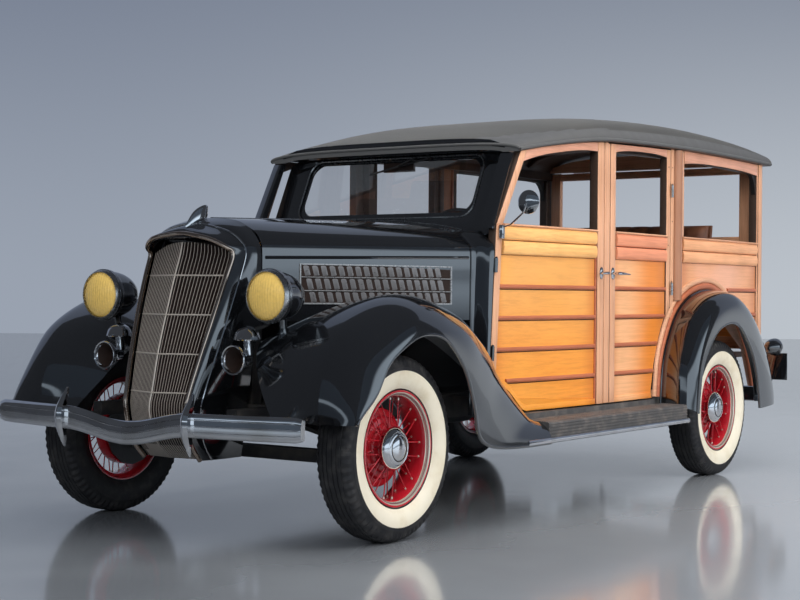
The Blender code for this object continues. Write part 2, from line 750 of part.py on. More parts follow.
def add_exhaust():
    """Pipe from the engine's side, silencer, hump over the axle and tail pipe."""
    start = Vector((-ENGINE_HALF_WIDTH - GAP, axle_y(ENGINE_REAR_Y * 0.7), ENGINE_TOP_Z * 0.85))
    route = [start, Vector((PIPE_X * 0.8, start.y, start.z)),
             Vector((PIPE_X * 0.8, axle_y(ENGINE_REAR_Y), (start.z + FLOOR_Z) / 2)),
             Vector((PIPE_X * 0.8, axle_y(DOOR_FRONT_Y), PIPE_LOW_Z)),
             Vector((PIPE_X, axle_y(MUFFLER_FRONT_Y), PIPE_LOW_Z)),
             Vector((PIPE_X, REAR_AXLE_Y - DIFFERENTIAL_RADIUS * 3, PIPE_LOW_Z)),
             Vector((PIPE_X, REAR_AXLE_Y - DIFFERENTIAL_RADIUS / 2, PIPE_HUMP_Z)),
             Vector((PIPE_X, REAR_AXLE_Y + REAR_SPRING_SETBACK + SPRING_WIDTH, PIPE_HUMP_Z)),
             Vector((PIPE_X, axle_y((TANK_FRONT_Y + TANK_REAR_Y) / 2), PIPE_LOW_Z)),
             Vector((PIPE_X, axle_y(PIPE_END_Y), PIPE_LOW_Z))]
    body = tube("exhaust", route, PIPE_RADIUS, 8, CHASSIS_BLACK)
    y0, y1 = axle_y(MUFFLER_FRONT_Y), axle_y(MUFFLER_REAR_Y)
    muffler = turned("muffler", [(0, 0), (0, MUFFLER_RADIUS * 0.7), (MUFFLER_RADIUS, MUFFLER_RADIUS),
                                 (y1 - y0 - MUFFLER_RADIUS, MUFFLER_RADIUS), (y1 - y0, MUFFLER_RADIUS * 0.7), (y1 - y0, 0)],
                     (PIPE_X, y0, PIPE_LOW_Z), (0, 1, 0), 12, CHASSIS_BLACK)
    join_pieces(body, [muffler])


def tube(name, route, radius, sides, finish, origin=(0, 0, 0), parent=None):
    """A round tube whose rings halve the angle at each bend."""
    rings = []
    for index, point in enumerate(route):
        before = route[max(index - 1, 0)]
        after = route[min(index + 1, len(route) - 1)]
        along = ((point - before).normalized() if index else Vector()) + \
            ((after - point).normalized() if index < len(route) - 1 else Vector())
        along.normalize()
        side = along.cross(Vector((0.2, 0.1, 1))).normalized()
        up = side.cross(along)
        rings.append([point + (side * math.cos(2 * math.pi * step / sides)
                               + up * math.sin(2 * math.pi * step / sides)) * radius for step in range(sides)])
    made = loft(name, rings, finish, origin, parent)
    smooth(made)
    return made


# Fenders and running boards

# (lip y, lip z, crown y, crown z, inner x, inner y, inner z) as shares of tail, crown and half width
FRONT_FENDER_SHARES = (
    (-0.334, 0.507, -0.352, 0.503, 0.568, -0.340, 0.508),
    (-0.308, 0.541, -0.346, 0.616, 0.489, -0.312, 0.595),
    (-0.240, 0.616, -0.316, 0.735, 0.420, -0.280, 0.681),
    (-0.182, 0.724, -0.252, 0.849, 0.369, -0.240, 0.757),
    (-0.112, 0.785, -0.160, 0.932, 0.341, -0.176, 0.816),
    (-0.016, 0.835, -0.048, 0.988, 0.381, -0.048, 0.854),
    (0.088, 0.830, 0.072, 1.000, 0.438, 0.072, 0.865),
    (0.160, 0.778, 0.211, 0.968, 0.500, 0.200, 0.865),
    (0.236, 0.670, 0.360, 0.899, 0.574, 0.360, 0.843),
    (0.286, 0.519, 0.478, 0.784, 0.640, 0.478, 0.757),
    (0.314, 0.400, 0.545, 0.608, 0.795, 0.545, 0.595),
    (0.400, 0.352, 0.675, 0.472, 0.815, 0.675, 0.464),
    (0.560, 0.336, 0.720, 0.440, 0.815, 0.720, 0.436),
    (0.760, 0.334, 0.760, 0.427, 0.815, 0.760, 0.427),
)
CROWN_X_SHARE = 0.80
SECTION_STEPS = 4
FENDER_STEPS = 1


def front_fender_rows(side):
    rows = []
    for lip_y, lip_z, crown_y, crown_z, inner_x, inner_y, inner_z in rounded_rows(FRONT_FENDER_SHARES, FENDER_STEPS):
        lip = (FENDER_HALF_WIDTH, lip_y * FRONT_FENDER_LENGTH, lip_z * FRONT_CROWN_Z)
        crown_x = max(CROWN_X_SHARE, (1 + inner_x) / 2)
        crown = (FENDER_HALF_WIDTH * crown_x, crown_y * FRONT_FENDER_LENGTH, crown_z * FRONT_CROWN_Z)
        inner = (FENDER_HALF_WIDTH * inner_x, inner_y * FRONT_FENDER_LENGTH, inner_z * FRONT_CROWN_Z)
        row = []
        for step in range(SECTION_STEPS + 1):
            angle = math.pi / 2 * step / SECTION_STEPS
            row.append((crown[0] + (lip[0] - crown[0]) * math.cos(angle),
                        lip[1] + (crown[1] - lip[1]) * math.sin(angle),
                        lip[2] + (crown[2] - lip[2]) * math.sin(angle)))
        for share, fall in ((0.5, 0.28), (1, 1)):
            row.append((crown[0] + (inner[0] - crown[0]) * share, crown[1] + (inner[1] - crown[1]) * share,
                        crown[2] + (inner[2] - crown[2]) * fall))
        rows.append([(side * x, axle_y(y), z) for x, y, z in row])
    return rows


# (lip y, lip z, crown y, crown z) from the rear axle, as shares of the length and the crown's height
REAR_FENDER_SHARES = (
    (-0.593, 0.360, -0.736, 0.397),
    (-0.571, 0.470, -0.724, 0.511),
    (-0.529, 0.585, -0.693, 0.637),
    (-0.429, 0.684, -0.593, 0.778),
    (-0.264, 0.781, -0.450, 0.892),
    (-0.064, 0.822, -0.221, 0.971),
    (0.121, 0.809, 0.064, 1.000),
    (0.279, 0.730, 0.307, 0.966),
    (0.393, 0.647, 0.536, 0.872),
    (0.471, 0.543, 0.736, 0.736),
    (0.514, 0.438, 0.886, 0.595),
    (0.536, 0.376, 0.979, 0.444),
    (0.543, 0.344, 0.993, 0.360),
)
REAR_BULGE_SHARE = 0.50
REAR_RISE_SHARE = 0.65


def rear_fender_rows(side):
    inner_x = BODY_HALF_WIDTH + GAP * 2
    rows = []
    for lip_y, lip_z, crown_y, crown_z in rounded_rows(REAR_FENDER_SHARES, FENDER_STEPS):
        row = []
        for step in range(SECTION_STEPS + 2):
            angle = math.pi / 2 * step / (SECTION_STEPS + 1)
            bulge = math.cos(angle) ** REAR_BULGE_SHARE if step <= SECTION_STEPS else 0
            rise = math.sin(angle) ** REAR_RISE_SHARE
            place = (lip_y + (crown_y - lip_y) * rise) * REAR_FENDER_LENGTH
            height = (lip_z + (crown_z - lip_z) * rise) * REAR_CROWN_Z
            row.append((side * (inner_x + (FENDER_HALF_WIDTH - inner_x) * bulge), REAR_AXLE_Y + place, height))
        rows.append(row)
    return rows


def seat_beside_body(fender, side):
    """Moves a fender out until its innermost point lies beside the body's side."""
    bpy.context.view_layer.update()
    shape = fender.evaluated_get(bpy.context.evaluated_depsgraph_get()).to_mesh()
    nearest = min(side * point.co.x for point in shape.vertices)
    shift = BODY_HALF_WIDTH + GAP - nearest
    for point in fender.data.vertices:
        share = (FENDER_HALF_WIDTH - side * point.co.x) / (FENDER_HALF_WIDTH - BODY_HALF_WIDTH)
        point.co.x += side * shift * min(1, max(0, share) * 2)


def add_fenders(side, word):
    front = sheet("front_fender_" + word, front_fender_rows(side), FENDER_THICKNESS, BLACK_PAINT, flip=side > 0)
    rear = sheet("rear_fender_" + word, rear_fender_rows(side), FENDER_THICKNESS, BLACK_PAINT, flip=side > 0)
    seat_beside_body(rear, side)
    board_top = FRONT_FENDER_SHARES[-1][3] * FRONT_CROWN_Z
    inner = FRONT_FENDER_SHARES[-1][4] * FENDER_HALF_WIDTH
    outer = FENDER_HALF_WIDTH - BOARD_ROUND
    low = board_top - BOARD_THICKNESS
    profile = ((inner, low), (outer - BOARD_ROUND, low), (outer, low + BOARD_ROUND),
               (outer, board_top - BOARD_ROUND), (outer - BOARD_ROUND, board_top), (inner, board_top))
    rings = [[(side * x, axle_y(y), z) for x, z in profile] for y in (FRONT_FENDER_TAIL + GAP, BOARD_REAR_Y)]
    loft("running_board_" + word, rings, RUBBER)
    return front, rear


# Body

def add_floor():
    """Floor with a step up to the load floor, and a wheel house over each rear tyre."""
    t = FLOOR_THICKNESS
    front, rear = DOOR_FRONT_Y + POST_THICKNESS, BODY_REAR_Y - DOOR_GAP
    step = FLOOR_STEP_Y
    low, high = FLOOR_Z, LOAD_FLOOR_Z
    profile = ((front, low), (step, low), (step + t, high), (rear, high), (rear, high + t),
               (step, high + t), (step - t, low + t), (front, low + t))
    rings = [[(x, axle_y(y), z) for y, z in profile] for x in (-FLOOR_HALF_WIDTH, FLOOR_HALF_WIDTH)]
    floor = loft("floor", rings, PANEL_WOOD)
    pieces = []
    cuts = []
    for side in (-1, 1):
        inner = side * (FLOOR_HALF_WIDTH - t / 2)
        outer = side * (BODY_HALF_WIDTH * 0.975 - POST_THICKNESS - GAP * 10)
        centre_z = TYRE_RADIUS
        pieces.append(rod("wheel_house_%d" % side, (inner, REAR_AXLE_Y, centre_z), (outer, REAR_AXLE_Y, centre_z),
                          WHEEL_HOUSE_RADIUS, 24, PANEL_WOOD))
        cuts.append(rod("wheel_house_hollow_%d" % side, (inner + side * WALL, REAR_AXLE_Y, centre_z),
                        (outer + side * WALL, REAR_AXLE_Y, centre_z), WHEEL_HOUSE_RADIUS - WALL, 24, PANEL_WOOD))
        cuts.append(box("wheel_house_foot_%d" % side,
                        (min(inner - side * WALL, side * BODY_HALF_WIDTH), REAR_AXLE_Y - WHEEL_HOUSE_RADIUS - WALL, 0),
                        (max(inner - side * WALL, side * BODY_HALF_WIDTH), REAR_AXLE_Y + WHEEL_HOUSE_RADIUS + WALL, LOAD_FLOOR_Z),
                        PANEL_WOOD))
    join_pieces(floor, pieces)
    cut_away(floor, cuts)
    return floor


WHEEL_HOUSE_RADIUS = 0.395
WALL = 0.006


def rib_heights():
    """Heights where rails and ribs begin and end, from the sill to the belt's lower edge."""
    panel_low = SILL_Z + STILE_WIDTH / 2
    panel_high = BELT_Z - BELT_PLANK_HEIGHT * 2
    pitch = (panel_high - SILL_Z) / 5
    heights = [SILL_Z, panel_low]
    for number in range(1, 5):
        middle = SILL_Z + pitch * number
        heights += [middle - RIB_HEIGHT / 2, middle + RIB_HEIGHT / 2]
    return heights + [panel_high, BELT_Z]


def add_wood_panel(name, side, first_edge, last_edge, first_stile, last_stile, header, thickness, finish,
                   origin=(0, 0, 0), parent=None, columns_inside=3):
    """A door or quarter: stiles, rails, ribs over recessed panels, belt planks and a window."""
    heights = rib_heights()
    below = len(heights)
    rows = below + 1
    columns = columns_inside + 2

    def line(column, z):
        first, last = first_edge(z), last_edge(z)
        if column == 0:
            return first
        if column == columns:
            return last
        inner_first, inner_last = first + first_stile, last - last_stile
        return inner_first + (inner_last - inner_first) * (column - 1) / columns_inside

    def place(column, row, depth):
        if row < below:
            z = heights[row]
            y = line(column, z)
        else:
            y = line(column, BELT_Z)
            for _ in range(4):
                z = window_top_z(y) if row == below else window_top_z(y) + header
                y = line(column, z)
        return (side * (body_x(y) - depth), axle_y(y), z)

    def level(column, row):
        if column in (0, columns - 1):
            return FRAME
        if row == below - 1:
            return HOLE
        if row == rows - 1 or row == 0 or row == below - 2:
            return FRAME
        return PANEL if row % 2 else FRAME

    return framed_panel(name, columns, rows, level, place, thickness, PANEL_RECESS, finish, origin, parent)


DOOR_HEADER = 0.028
# The header's thickness as a share of the post's, and its depth over the quarter as a share of the full one
HEADER_SHARE = 0.45


def fender_cutter(name, side, rows, clearance):
    """A prism round a fender's body-side outline, grown by a clearance, that cuts the wood clear of it."""
    outline = []
    for row in rows:
        outline.append(Vector((0, row[-1][1], row[-1][2])))
    middle = Vector((0, sum(p.y for p in outline) / len(outline), min(p.z for p in outline)))
    grown = []
    for index, point in enumerate(outline):
        before = outline[max(index - 1, 0)]
        after = outline[min(index + 1, len(outline) - 1)]
        along = (after - before).normalized()
        normal = Vector((0, -along.z, along.y))
        if normal.dot(point - middle) < 0:
            normal.negate()
        grown.append(point + normal * clearance)
    foot = SILL_Z / 4
    grown = [Vector((0, grown[0].y, foot))] + grown + [Vector((0, grown[-1].y, foot))]
    return side_prism(name, side, [(point.y, point.z) for point in grown])


def arch_band(side):
    """Fixed wooden band round the rear fender, between the fender and the rear door's cut edge."""
    line = [Vector((row[-1][1], row[-1][2])) for row in rear_fender_rows(1)]
    line = [point for point in line if SILL_Z - FLOOR_THICKNESS < point.y and point.x < REAR_AXLE_Y]
    near, far = [], []
    for index, point in enumerate(line):
        along = (line[min(index + 1, len(line) - 1)] - line[max(index - 1, 0)]).normalized()
        normal = Vector((-along.y, along.x))
        near.append(point + normal * ARCH_BAND_SEAM)
        far.append(point + normal * ARCH_BAND_WIDTH)
    outline = [(point.x, max(point.y, SILL_Z)) for point in near + far[::-1]]
    rings = []
    for deep in (FILLET_DEPTH + DOOR_GAP / 2, FILLET_SEAM):
        rings.append([(side * (body_x(y - FRONT_AXLE_Y) - deep), y, z) for y, z in outline])
    return loft("arch_band_%d" % side, rings, MAPLE)


def side_prism(name, side, outline):
    """A prism through the body's side with an outline of (y, z)."""
    reach = POST_THICKNESS * 3
    rings = [[(side * x, y, z) for y, z in outline] for x in (BODY_HALF_WIDTH - reach, BODY_HALF_WIDTH + reach)]
    return loft(name, rings, BLACK_PAINT)


# (place, height) along the front door's lower edge, high enough to pass over the fender as the door swings
DOOR_SWEEP = ((0.800, 0.550), (0.900, 0.541), (0.935, 0.530), (0.965, 0.506), (1.005, 0.466), (1.050, 0.435), (1.100, 0.420))
SWEEP_FOOT = 0.300
FILLET_DEPTH = 0.045
ARCH_BAND_SEAM = 0.004
ARCH_BAND_WIDTH = 0.072
ARCH_CUT = 0.078
FILLET_SEAM = 0.003
# (place, height) of the fixed corner under that edge, along the fender and back under the door
CORNER_OUTLINE = ((0.862, 0.522), (0.905, 0.493), (0.960, 0.456), (1.000, 0.430), (1.040, 0.421), (1.048, 0.4285), (1.003, 0.459),
                  (0.963, 0.499), (0.934, 0.522), (0.898, 0.533), (0.862, 0.537))


def door_sweep_cutter(side):
    outline = [(place, height) for place, height in DOOR_SWEEP]
    outline = [(outline[0][0] - POST_THICKNESS, SWEEP_FOOT), (outline[0][0] - POST_THICKNESS, outline[0][1])] + outline
    outline.append((outline[-1][0], SWEEP_FOOT))
    return side_prism("sweep_cut_%d" % side, side, [(axle_y(place), height) for place, height in outline])


def door_corner(side):
    """Fixed wooden corner between the front door's lower edge and the fender."""
    rings = []
    for deep in (FILLET_DEPTH + DOOR_GAP / 2, FILLET_SEAM):
        rings.append([(side * (body_x(place) - deep), axle_y(place), height) for place, height in CORNER_OUTLINE])
    return loft("door_corner_%d" % side, rings, MAPLE)


def straight(place):
    def edge(_height):
        return place
    return edge


def add_side(side, word):
    """Fixed body side: sill, hidden centre post, header and the framed rear quarter."""
    quarter = add_wood_panel("body_side_" + word, side, straight(REAR_DOOR_END_Y + DOOR_GAP), straight(BODY_REAR_Y),
                             QUARTER_FRAME_Y - REAR_DOOR_END_Y - DOOR_GAP, BODY_REAR_Y - TAIL_POST_Y,
                             WINDOW_HEADER - WALL, POST_THICKNESS, MAPLE)
    post_outer = BODY_HALF_WIDTH - DOOR_THICKNESS - RUNNING_GAP
    sill_inner = FLOOR_HALF_WIDTH + GAP
    step_out = FRONT_FENDER_SHARES[-1][4] * FENDER_HALF_WIDTH - GAP
    sill_rings = []
    for place, out in ((DOOR_FRONT_Y + POST_THICKNESS, step_out), (DOOR_SPLIT_Y, step_out),
                       (BOARD_REAR_Y - POST_THICKNESS, step_out), (BOARD_REAR_Y - POST_THICKNESS / 2, post_outer),
                       (REAR_DOOR_END_Y + POST_THICKNESS, post_outer)):
        outer = body_x(place) - DOOR_THICKNESS - RUNNING_GAP
        profile = ((sill_inner, SILL_Z - FLOOR_THICKNESS * 2), (out, SILL_Z - FLOOR_THICKNESS * 2), (out, SILL_Z - RUNNING_GAP),
                   (outer - GAP, SILL_Z - RUNNING_GAP), (outer - GAP, FLOOR_Z + FLOOR_THICKNESS), (sill_inner, FLOOR_Z + FLOOR_THICKNESS))
        sill_rings.append([(side * x, axle_y(place), z) for x, z in profile])
    sill = loft("sill_" + word, sill_rings, MAPLE)
    post = box("centre_post_" + word, (min(side * (post_outer - POST_THICKNESS * 0.7), side * post_outer),
                                       axle_y(DOOR_SPLIT_Y - STILE_WIDTH / 2), SILL_Z),
               (max(side * (post_outer - POST_THICKNESS * 0.7), side * post_outer), axle_y(DOOR_SPLIT_Y + STILE_WIDTH / 2),
                roof_bottom_z(DOOR_SPLIT_Y) - DOOR_HEADER), MAPLE)
    rings = []
    first, last = ROOF_FRONT_Y + POST_THICKNESS * 3, BODY_REAR_Y - GAP
    breaks = [REAR_DOOR_END_Y + DOOR_GAP, REAR_DOOR_END_Y + POST_THICKNESS * 1.1]
    for place in sorted([first, last] + breaks + [station for station in roof_places() if first < station < last]):
        outer = min(body_x(place) - DOOR_THICKNESS - RUNNING_GAP, post_outer)
        depth = WINDOW_HEADER
        if place > REAR_DOOR_END_Y + POST_THICKNESS:
            outer = body_x(place) - POST_THICKNESS * HEADER_SHARE
            depth = WINDOW_HEADER * HEADER_SHARE
        inner = outer - POST_THICKNESS * HEADER_SHARE
        top = roof_bottom_z(place) - GAP
        rings.append([(side * x, axle_y(place), z) for x, z in (
            (inner, top - depth), (outer, top - depth), (outer, top), (inner, top))])
    header = loft("header_" + word, rings, MAPLE)
    join_pieces(quarter, [sill, post, header, door_corner(side), arch_band(side)])
    arch = rod("arch_" + word, (side * (BODY_HALF_WIDTH - POST_THICKNESS * 3), REAR_AXLE_Y, TYRE_RADIUS),
               (side * (BODY_HALF_WIDTH + POST_THICKNESS * 3), REAR_AXLE_Y, TYRE_RADIUS), WHEEL_HOUSE_RADIUS, 28, MAPLE)
    cut_away(quarter, [arch])
    return quarter


HINGE_OUT = 0.008
HINGE_LENGTH = 0.060
FRONT_HINGE_HEIGHTS = (0.680, 1.050)
REAR_HINGE_HEIGHTS = (0.960, 1.450)
GATE_HINGE_X = BODY_HALF_WIDTH - 0.266
FENDER_CLEARANCE = 0.012


def add_barrels(door, hinge, axis, heights, radius):
    """Round hinge barrels on a door's hinge line, as thick as leaves the gap to the fixed edge."""
    pieces = []
    for height in heights:
        middle = Vector(hinge) + axis * ((height - hinge[2]) / axis.z)
        reach = axis * HINGE_LENGTH / 2
        pieces.append(rod("%s_barrel_%d" % (door.name, len(pieces)), middle - reach, middle + reach, radius, 12, MAPLE))
    join_pieces(door, pieces)


def add_doors(side, word):
    """Front door hinged at its front edge, rear door hinged at its rear edge."""
    front_axis = Vector((0, DOOR_RAKE_LOW, 1)).normalized()
    front_hinge = (side * (body_x(DOOR_FRONT_Y) + HINGE_OUT), axle_y(DOOR_FRONT_Y), SILL_Z)
    front = add_wood_panel("front_door_" + word, side, door_front_y, straight(DOOR_SPLIT_Y - DOOR_GAP / 2),
                           STILE_WIDTH * 0.6, STILE_WIDTH, DOOR_HEADER, DOOR_THICKNESS, MAPLE, front_hinge)
    cut_away(front, [fender_cutter("front_cut_" + word, side, front_fender_rows(1), FENDER_CLEARANCE),
                     door_sweep_cutter(side)])
    add_barrels(front, front_hinge, front_axis, FRONT_HINGE_HEIGHTS, math.hypot(HINGE_OUT, DOOR_GAP) - GAP)
    rear_hinge = (side * (body_x(REAR_DOOR_END_Y) + HINGE_OUT), axle_y(REAR_DOOR_END_Y), SILL_Z)
    rear = add_wood_panel("rear_door_" + word, side, straight(DOOR_SPLIT_Y + DOOR_GAP / 2), straight(REAR_DOOR_END_Y),
                          STILE_WIDTH, STILE_WIDTH * 0.6, DOOR_HEADER, DOOR_THICKNESS, MAPLE, rear_hinge)
    cut_away(rear, [fender_cutter("rear_cut_" + word, side, rear_fender_rows(1), ARCH_CUT)])
    add_barrels(rear, rear_hinge, Vector((0, 0, 1)), REAR_HINGE_HEIGHTS, math.hypot(HINGE_OUT, DOOR_GAP) - GAP)
    return front, rear


ROOF_POWER = 4
ROOF_SPANS = 12


def add_roof():
    """Crowned roof with drip edges, and rails that close it over the windshield and the liftgate."""
    inner_half = BODY_HALF_WIDTH - DOOR_THICKNESS * 1.6
    rings = []
    for place in roof_places():
        share = roof_share(place)
        edge = roof_edge_z(place)
        rise = roof_crown_z(place) - edge
        narrow = ROOF_HALF_WIDTH * follow(ROOF_PLAN_SHARES, share)
        outer = []
        for span in range(ROOF_SPANS + 1):
            t = math.cos(math.pi * span / ROOF_SPANS)
            outer.append((narrow * t, axle_y(place), edge + ROOF_THICKNESS / 2 + rise * (1 - t ** ROOF_POWER) ** 0.5))
        outer = [(narrow, axle_y(place), edge)] + outer + [(-narrow, axle_y(place), edge)]
        inside = inner_half * follow(ROOF_PLAN_SHARES, share)
        inner = []
        for span in range(ROOF_SPANS // 2 + 1):
            t = -math.cos(math.pi * span / (ROOF_SPANS // 2))
            inner.append((inside * t, axle_y(place), edge + (rise - ROOF_THICKNESS / 2) * (1 - t ** ROOF_POWER) ** 0.5))
        rings.append(outer + inner)
    roof = loft("roof", rings, ROOF_CLOTH)
    front_place = windshield_y(WINDSHIELD_TOP_Z)
    front_rail = box("front_rail", (-PILLAR_FOOT_HALF_WIDTH, axle_y(front_place), windshield_head_z() + GAP * 2),
                     (PILLAR_FOOT_HALF_WIDTH, axle_y(front_place + PILLAR_THICKNESS), windshield_head_z() + ROOF_THICKNESS * 1.2), ROOF_CLOTH)
    rear_rail = box("rear_rail", (-inner_half, axle_y(BODY_REAR_Y - POST_THICKNESS), roof_edge_z(BODY_REAR_Y) + GAP),
                    (inner_half, axle_y(BODY_REAR_Y), roof_edge_z(BODY_REAR_Y) + BELT_Z * 0.07), ROOF_CLOTH)
    join_pieces(roof, [front_rail, rear_rail])
    smooth(roof, 40)
    return roof


# (share of the roof's length, share of its half width)
ROOF_PLAN_SHARES = ((0, 0.925), (0.08, 0.952), (0.20, 0.985), (0.35, 1.0), (0.80, 1.0), (1, 0.975))


def add_cowl():
    """Cowl shell, firewall, windshield frame, dash and steering column."""
    front_section = hood_section(HOOD_REAR_Y, SILL_Z - DOOR_GAP)
    rear_half = body_x(DOOR_FRONT_Y)
    start = HOOD_REAR_Y + DOOR_GAP
    rows = []
    for along, spread in COWL_FLARE_SHARES:
        row = []
        for x, z in front_section:
            height_share = max(0, min(1, (z - HOOD_SIDE_Z) / (HOOD_RIDGE_Z - HOOD_SIDE_Z)))
            end = WINDSHIELD_FOOT_Y + PILLAR_THICKNESS / 4
            if abs(x) > WINDSHIELD_HALF_WIDTH:
                end = min(door_front_y(z) - DOOR_GAP, end)
            row.append((x + (rear_half / HOOD_REAR_HALF - 1) * x * spread, axle_y(start + (end - start) * along),
                        z + COWL_RISE * along * height_share))
        rows.append(row)
    cowl = sheet("cowl", rows, HOOD_THICKNESS, BLACK_PAINT, flip=True)
    fire_half = HOOD_REAR_HALF - HOOD_THICKNESS / 2
    firewall = [(x * fire_half / HOOD_REAR_HALF, z - (HOOD_THICKNESS / 2 if z > HOOD_SIDE_Z else 0)) for x, z in front_section]
    firewall = [(x, max(z, FLOOR_Z)) for x, z in firewall]
    wall = loft("firewall", [[(x, axle_y(y), z) for x, z in firewall]
                             for y in (start + WALL / 4, start + WALL)], BLACK_PAINT)
    frame = add_windshield_frame()
    column_end = STEERING_HUB - STEERING_AXIS * STEERING_DEPTH
    column = rod("column", STEERING_HUB - STEERING_AXIS * STEERING_REACH, column_end, COLUMN_RADIUS, 10, BLACK_PAINT)
    dash = box("dash", (-body_x(DOOR_FRONT_Y) + POST_THICKNESS, axle_y(WINDSHIELD_FOOT_Y), BELT_Z - DASH_DEPTH),
               (body_x(DOOR_FRONT_Y) - POST_THICKNESS, axle_y(WINDSHIELD_FOOT_Y + POST_THICKNESS), WINDSHIELD_FOOT_Z - COWL_RISE / 2), BLACK_PAINT)
    hinge_rod = rod("hood_hinge_rod", (0, axle_y(HOOD_REAR_Y + DOOR_GAP * 4), hood_ridge(HOOD_REAR_Y + DOOR_GAP * 4)),
                    (0, axle_y(HOOD_FRONT_Y - DOOR_GAP + GAP), hood_ridge(HOOD_FRONT_Y - DOOR_GAP)), HOOD_RIDGE_GAP - GAP, 8, BLACK_PAINT)
    join_pieces(cowl, [wall, frame, dash, column, hinge_rod])
    return cowl


# (share of the way from the hood's gap to the rear edge, share of the flare to the body's width)
COWL_FLARE_SHARES = ((0, 0), (0.25, 0), (0.6, 0.7), (1, 1))
HOOD_REAR_HALF = BODY_HALF_WIDTH - 0.126
HOOD_FRONT_HALF = 0.262
COWL_RISE = 0.014
NOSE_DROP = 0.028
DASH_DEPTH = 0.180
COLUMN_RADIUS = 0.020
STEERING_RADIUS = 0.215
STEERING_RIM = 0.011
STEERING_REACH = 0.545
STEERING_DEPTH = 0.030
STEERING_X = 0.330
STEERING_Y = 1.200
STEERING_Z = 1.130
STEERING_AXIS = Vector((0, math.cos(math.radians(38)), math.sin(math.radians(38))))
STEERING_HUB = Vector((STEERING_X, FRONT_AXLE_Y + STEERING_Y, STEERING_Z))


def windshield_head_z():
    """Top of the windshield's frame, just under the roof's front edge."""
    return roof_bottom_z(windshield_y(WINDSHIELD_TOP_Z)) - GAP


def add_windshield_frame():
    heights = [BELT_Z - POST_THICKNESS, WINDSHIELD_FOOT_Z, WINDSHIELD_TOP_Z, windshield_head_z()]
    outer = [PILLAR_FOOT_HALF_WIDTH, PILLAR_FOOT_HALF_WIDTH, PILLAR_HALF_WIDTH, PILLAR_HALF_WIDTH]

    def place(column, row, depth):
        z = heights[row]
        across = (-outer[row], -WINDSHIELD_HALF_WIDTH, 0, WINDSHIELD_HALF_WIDTH, outer[row])
        return (across[column], axle_y(windshield_y(z) + depth), z)

    def level(column, row):
        return HOLE if row == 1 and column in (1, 2) else FRAME

    return framed_panel("windshield_frame", 4, len(heights) - 1, level, place, PILLAR_THICKNESS, 0, BLACK_PAINT)


GLASS_THICKNESS = 0.006


def add_glass():
    low, high = WINDSHIELD_FOOT_Z + GAP, WINDSHIELD_TOP_Z - GAP
    half = WINDSHIELD_HALF_WIDTH - GAP
    rings = []
    for x in (-half, half):
        rings.append([(x, axle_y(windshield_y(z) + PILLAR_THICKNESS / 2 + shift), z)
                      for z, shift in ((low, 0), (low, GLASS_THICKNESS), (high, GLASS_THICKNESS), (high, 0))])
    loft("windshield_glass", rings, GLASS)


# (share of the half width, share of the height from the side's foot to the ridge) up one side
HOOD_SECTION_SHARES = ((1, 0), (1.0, 0.34), (1.0, 0.66), (0.965, 0.76), (0.86, 0.855), (0.62, 0.935), (0.32, 0.982), (0.10, 0.998))
HOOD_RIDGE_GAP = 0.003


def hood_half(place):
    share = (place - HOOD_FRONT_Y) / (HOOD_REAR_Y - HOOD_FRONT_Y)
    return HOOD_FRONT_HALF + (HOOD_REAR_HALF - HOOD_FRONT_HALF) * share ** 0.92 if share > 0 else HOOD_FRONT_HALF


def hood_ridge(place):
    share = (place - HOOD_FRONT_Y) / (HOOD_REAR_Y - HOOD_FRONT_Y)
    return HOOD_RIDGE_Z - NOSE_DROP * (1 - share)


def hood_section(place, foot=None):
    """Section across both halves of the hood, left foot to right foot, as (x, z)."""
    half = hood_half(place)
    ridge = hood_ridge(place)
    low = HOOD_SIDE_Z
    side = [(half * wide, low + (ridge - low) * high) for wide, high in HOOD_SECTION_SHARES]
    if foot is not None:
        side = [(half, foot)] + side
    return side + [(0, ridge)] + [(-x, z) for x, z in reversed(side)]


def add_hood(side, word):
    """Half of the hood, hinged along the centre line, top and side in one sheet."""
    hinge = (0, axle_y(HOOD_FRONT_Y), HOOD_RIDGE_Z + HOOD_THICKNESS)
    rows = []
    count = 6
    for step in range(count + 1):
        place = HOOD_FRONT_Y + (HOOD_REAR_Y - HOOD_FRONT_Y) * step / count
        half = hood_half(place)
        ridge = hood_ridge(place)
        row = [(half * wide, HOOD_SIDE_Z + (ridge - HOOD_SIDE_Z) * high) for wide, high in HOOD_SECTION_SHARES]
        row.append((HOOD_RIDGE_GAP, ridge))
        rows.append([(side * x, axle_y(place), z) for x, z in row])
    return sheet("hood_" + word, rows, HOOD_THICKNESS, BLACK_PAINT, hinge, flip=side < 0)


# (height, opening half width, crease y, opening edge y, shell half width, shell rear y) as shares of the
# grille's top height, its half width and its rake
GRILLE_SHARES = (
    (0.262, 0.66, 0.36, 0.42, 0.80, 1.0),
    (0.330, 0.69, 0.10, 0.24, 0.86, 1.0),
    (0.430, 0.71, 0.00, 0.16, 0.92, 1.0),
    (0.491, 0.74, 0.04, 0.19, 0.98, 1.0),
    (0.620, 0.83, 0.13, 0.32, 1.10, 1.0),
    (0.745, 0.91, 0.25, 0.46, 1.19, 1.0),
    (0.870, 0.97, 0.38, 0.61, 1.24, 1.0),
    (0.945, 0.99, 0.47, 0.70, 1.24, 1.0),
)
GRILLE_FRONT_Y = -0.545
GRILLE_DEPTH = 0.350


def grille_level(shares):
    height, opening, crease, edge, outer, rear = shares
    return (GRILLE_TOP_Z * height, GRILLE_HALF_WIDTH * opening, GRILLE_FRONT_Y + GRILLE_DEPTH * crease,
            GRILLE_FRONT_Y + GRILLE_DEPTH * edge, GRILLE_HALF_WIDTH * outer, HOOD_FRONT_Y - DOOR_GAP)


SHELL_LIP = 0.022


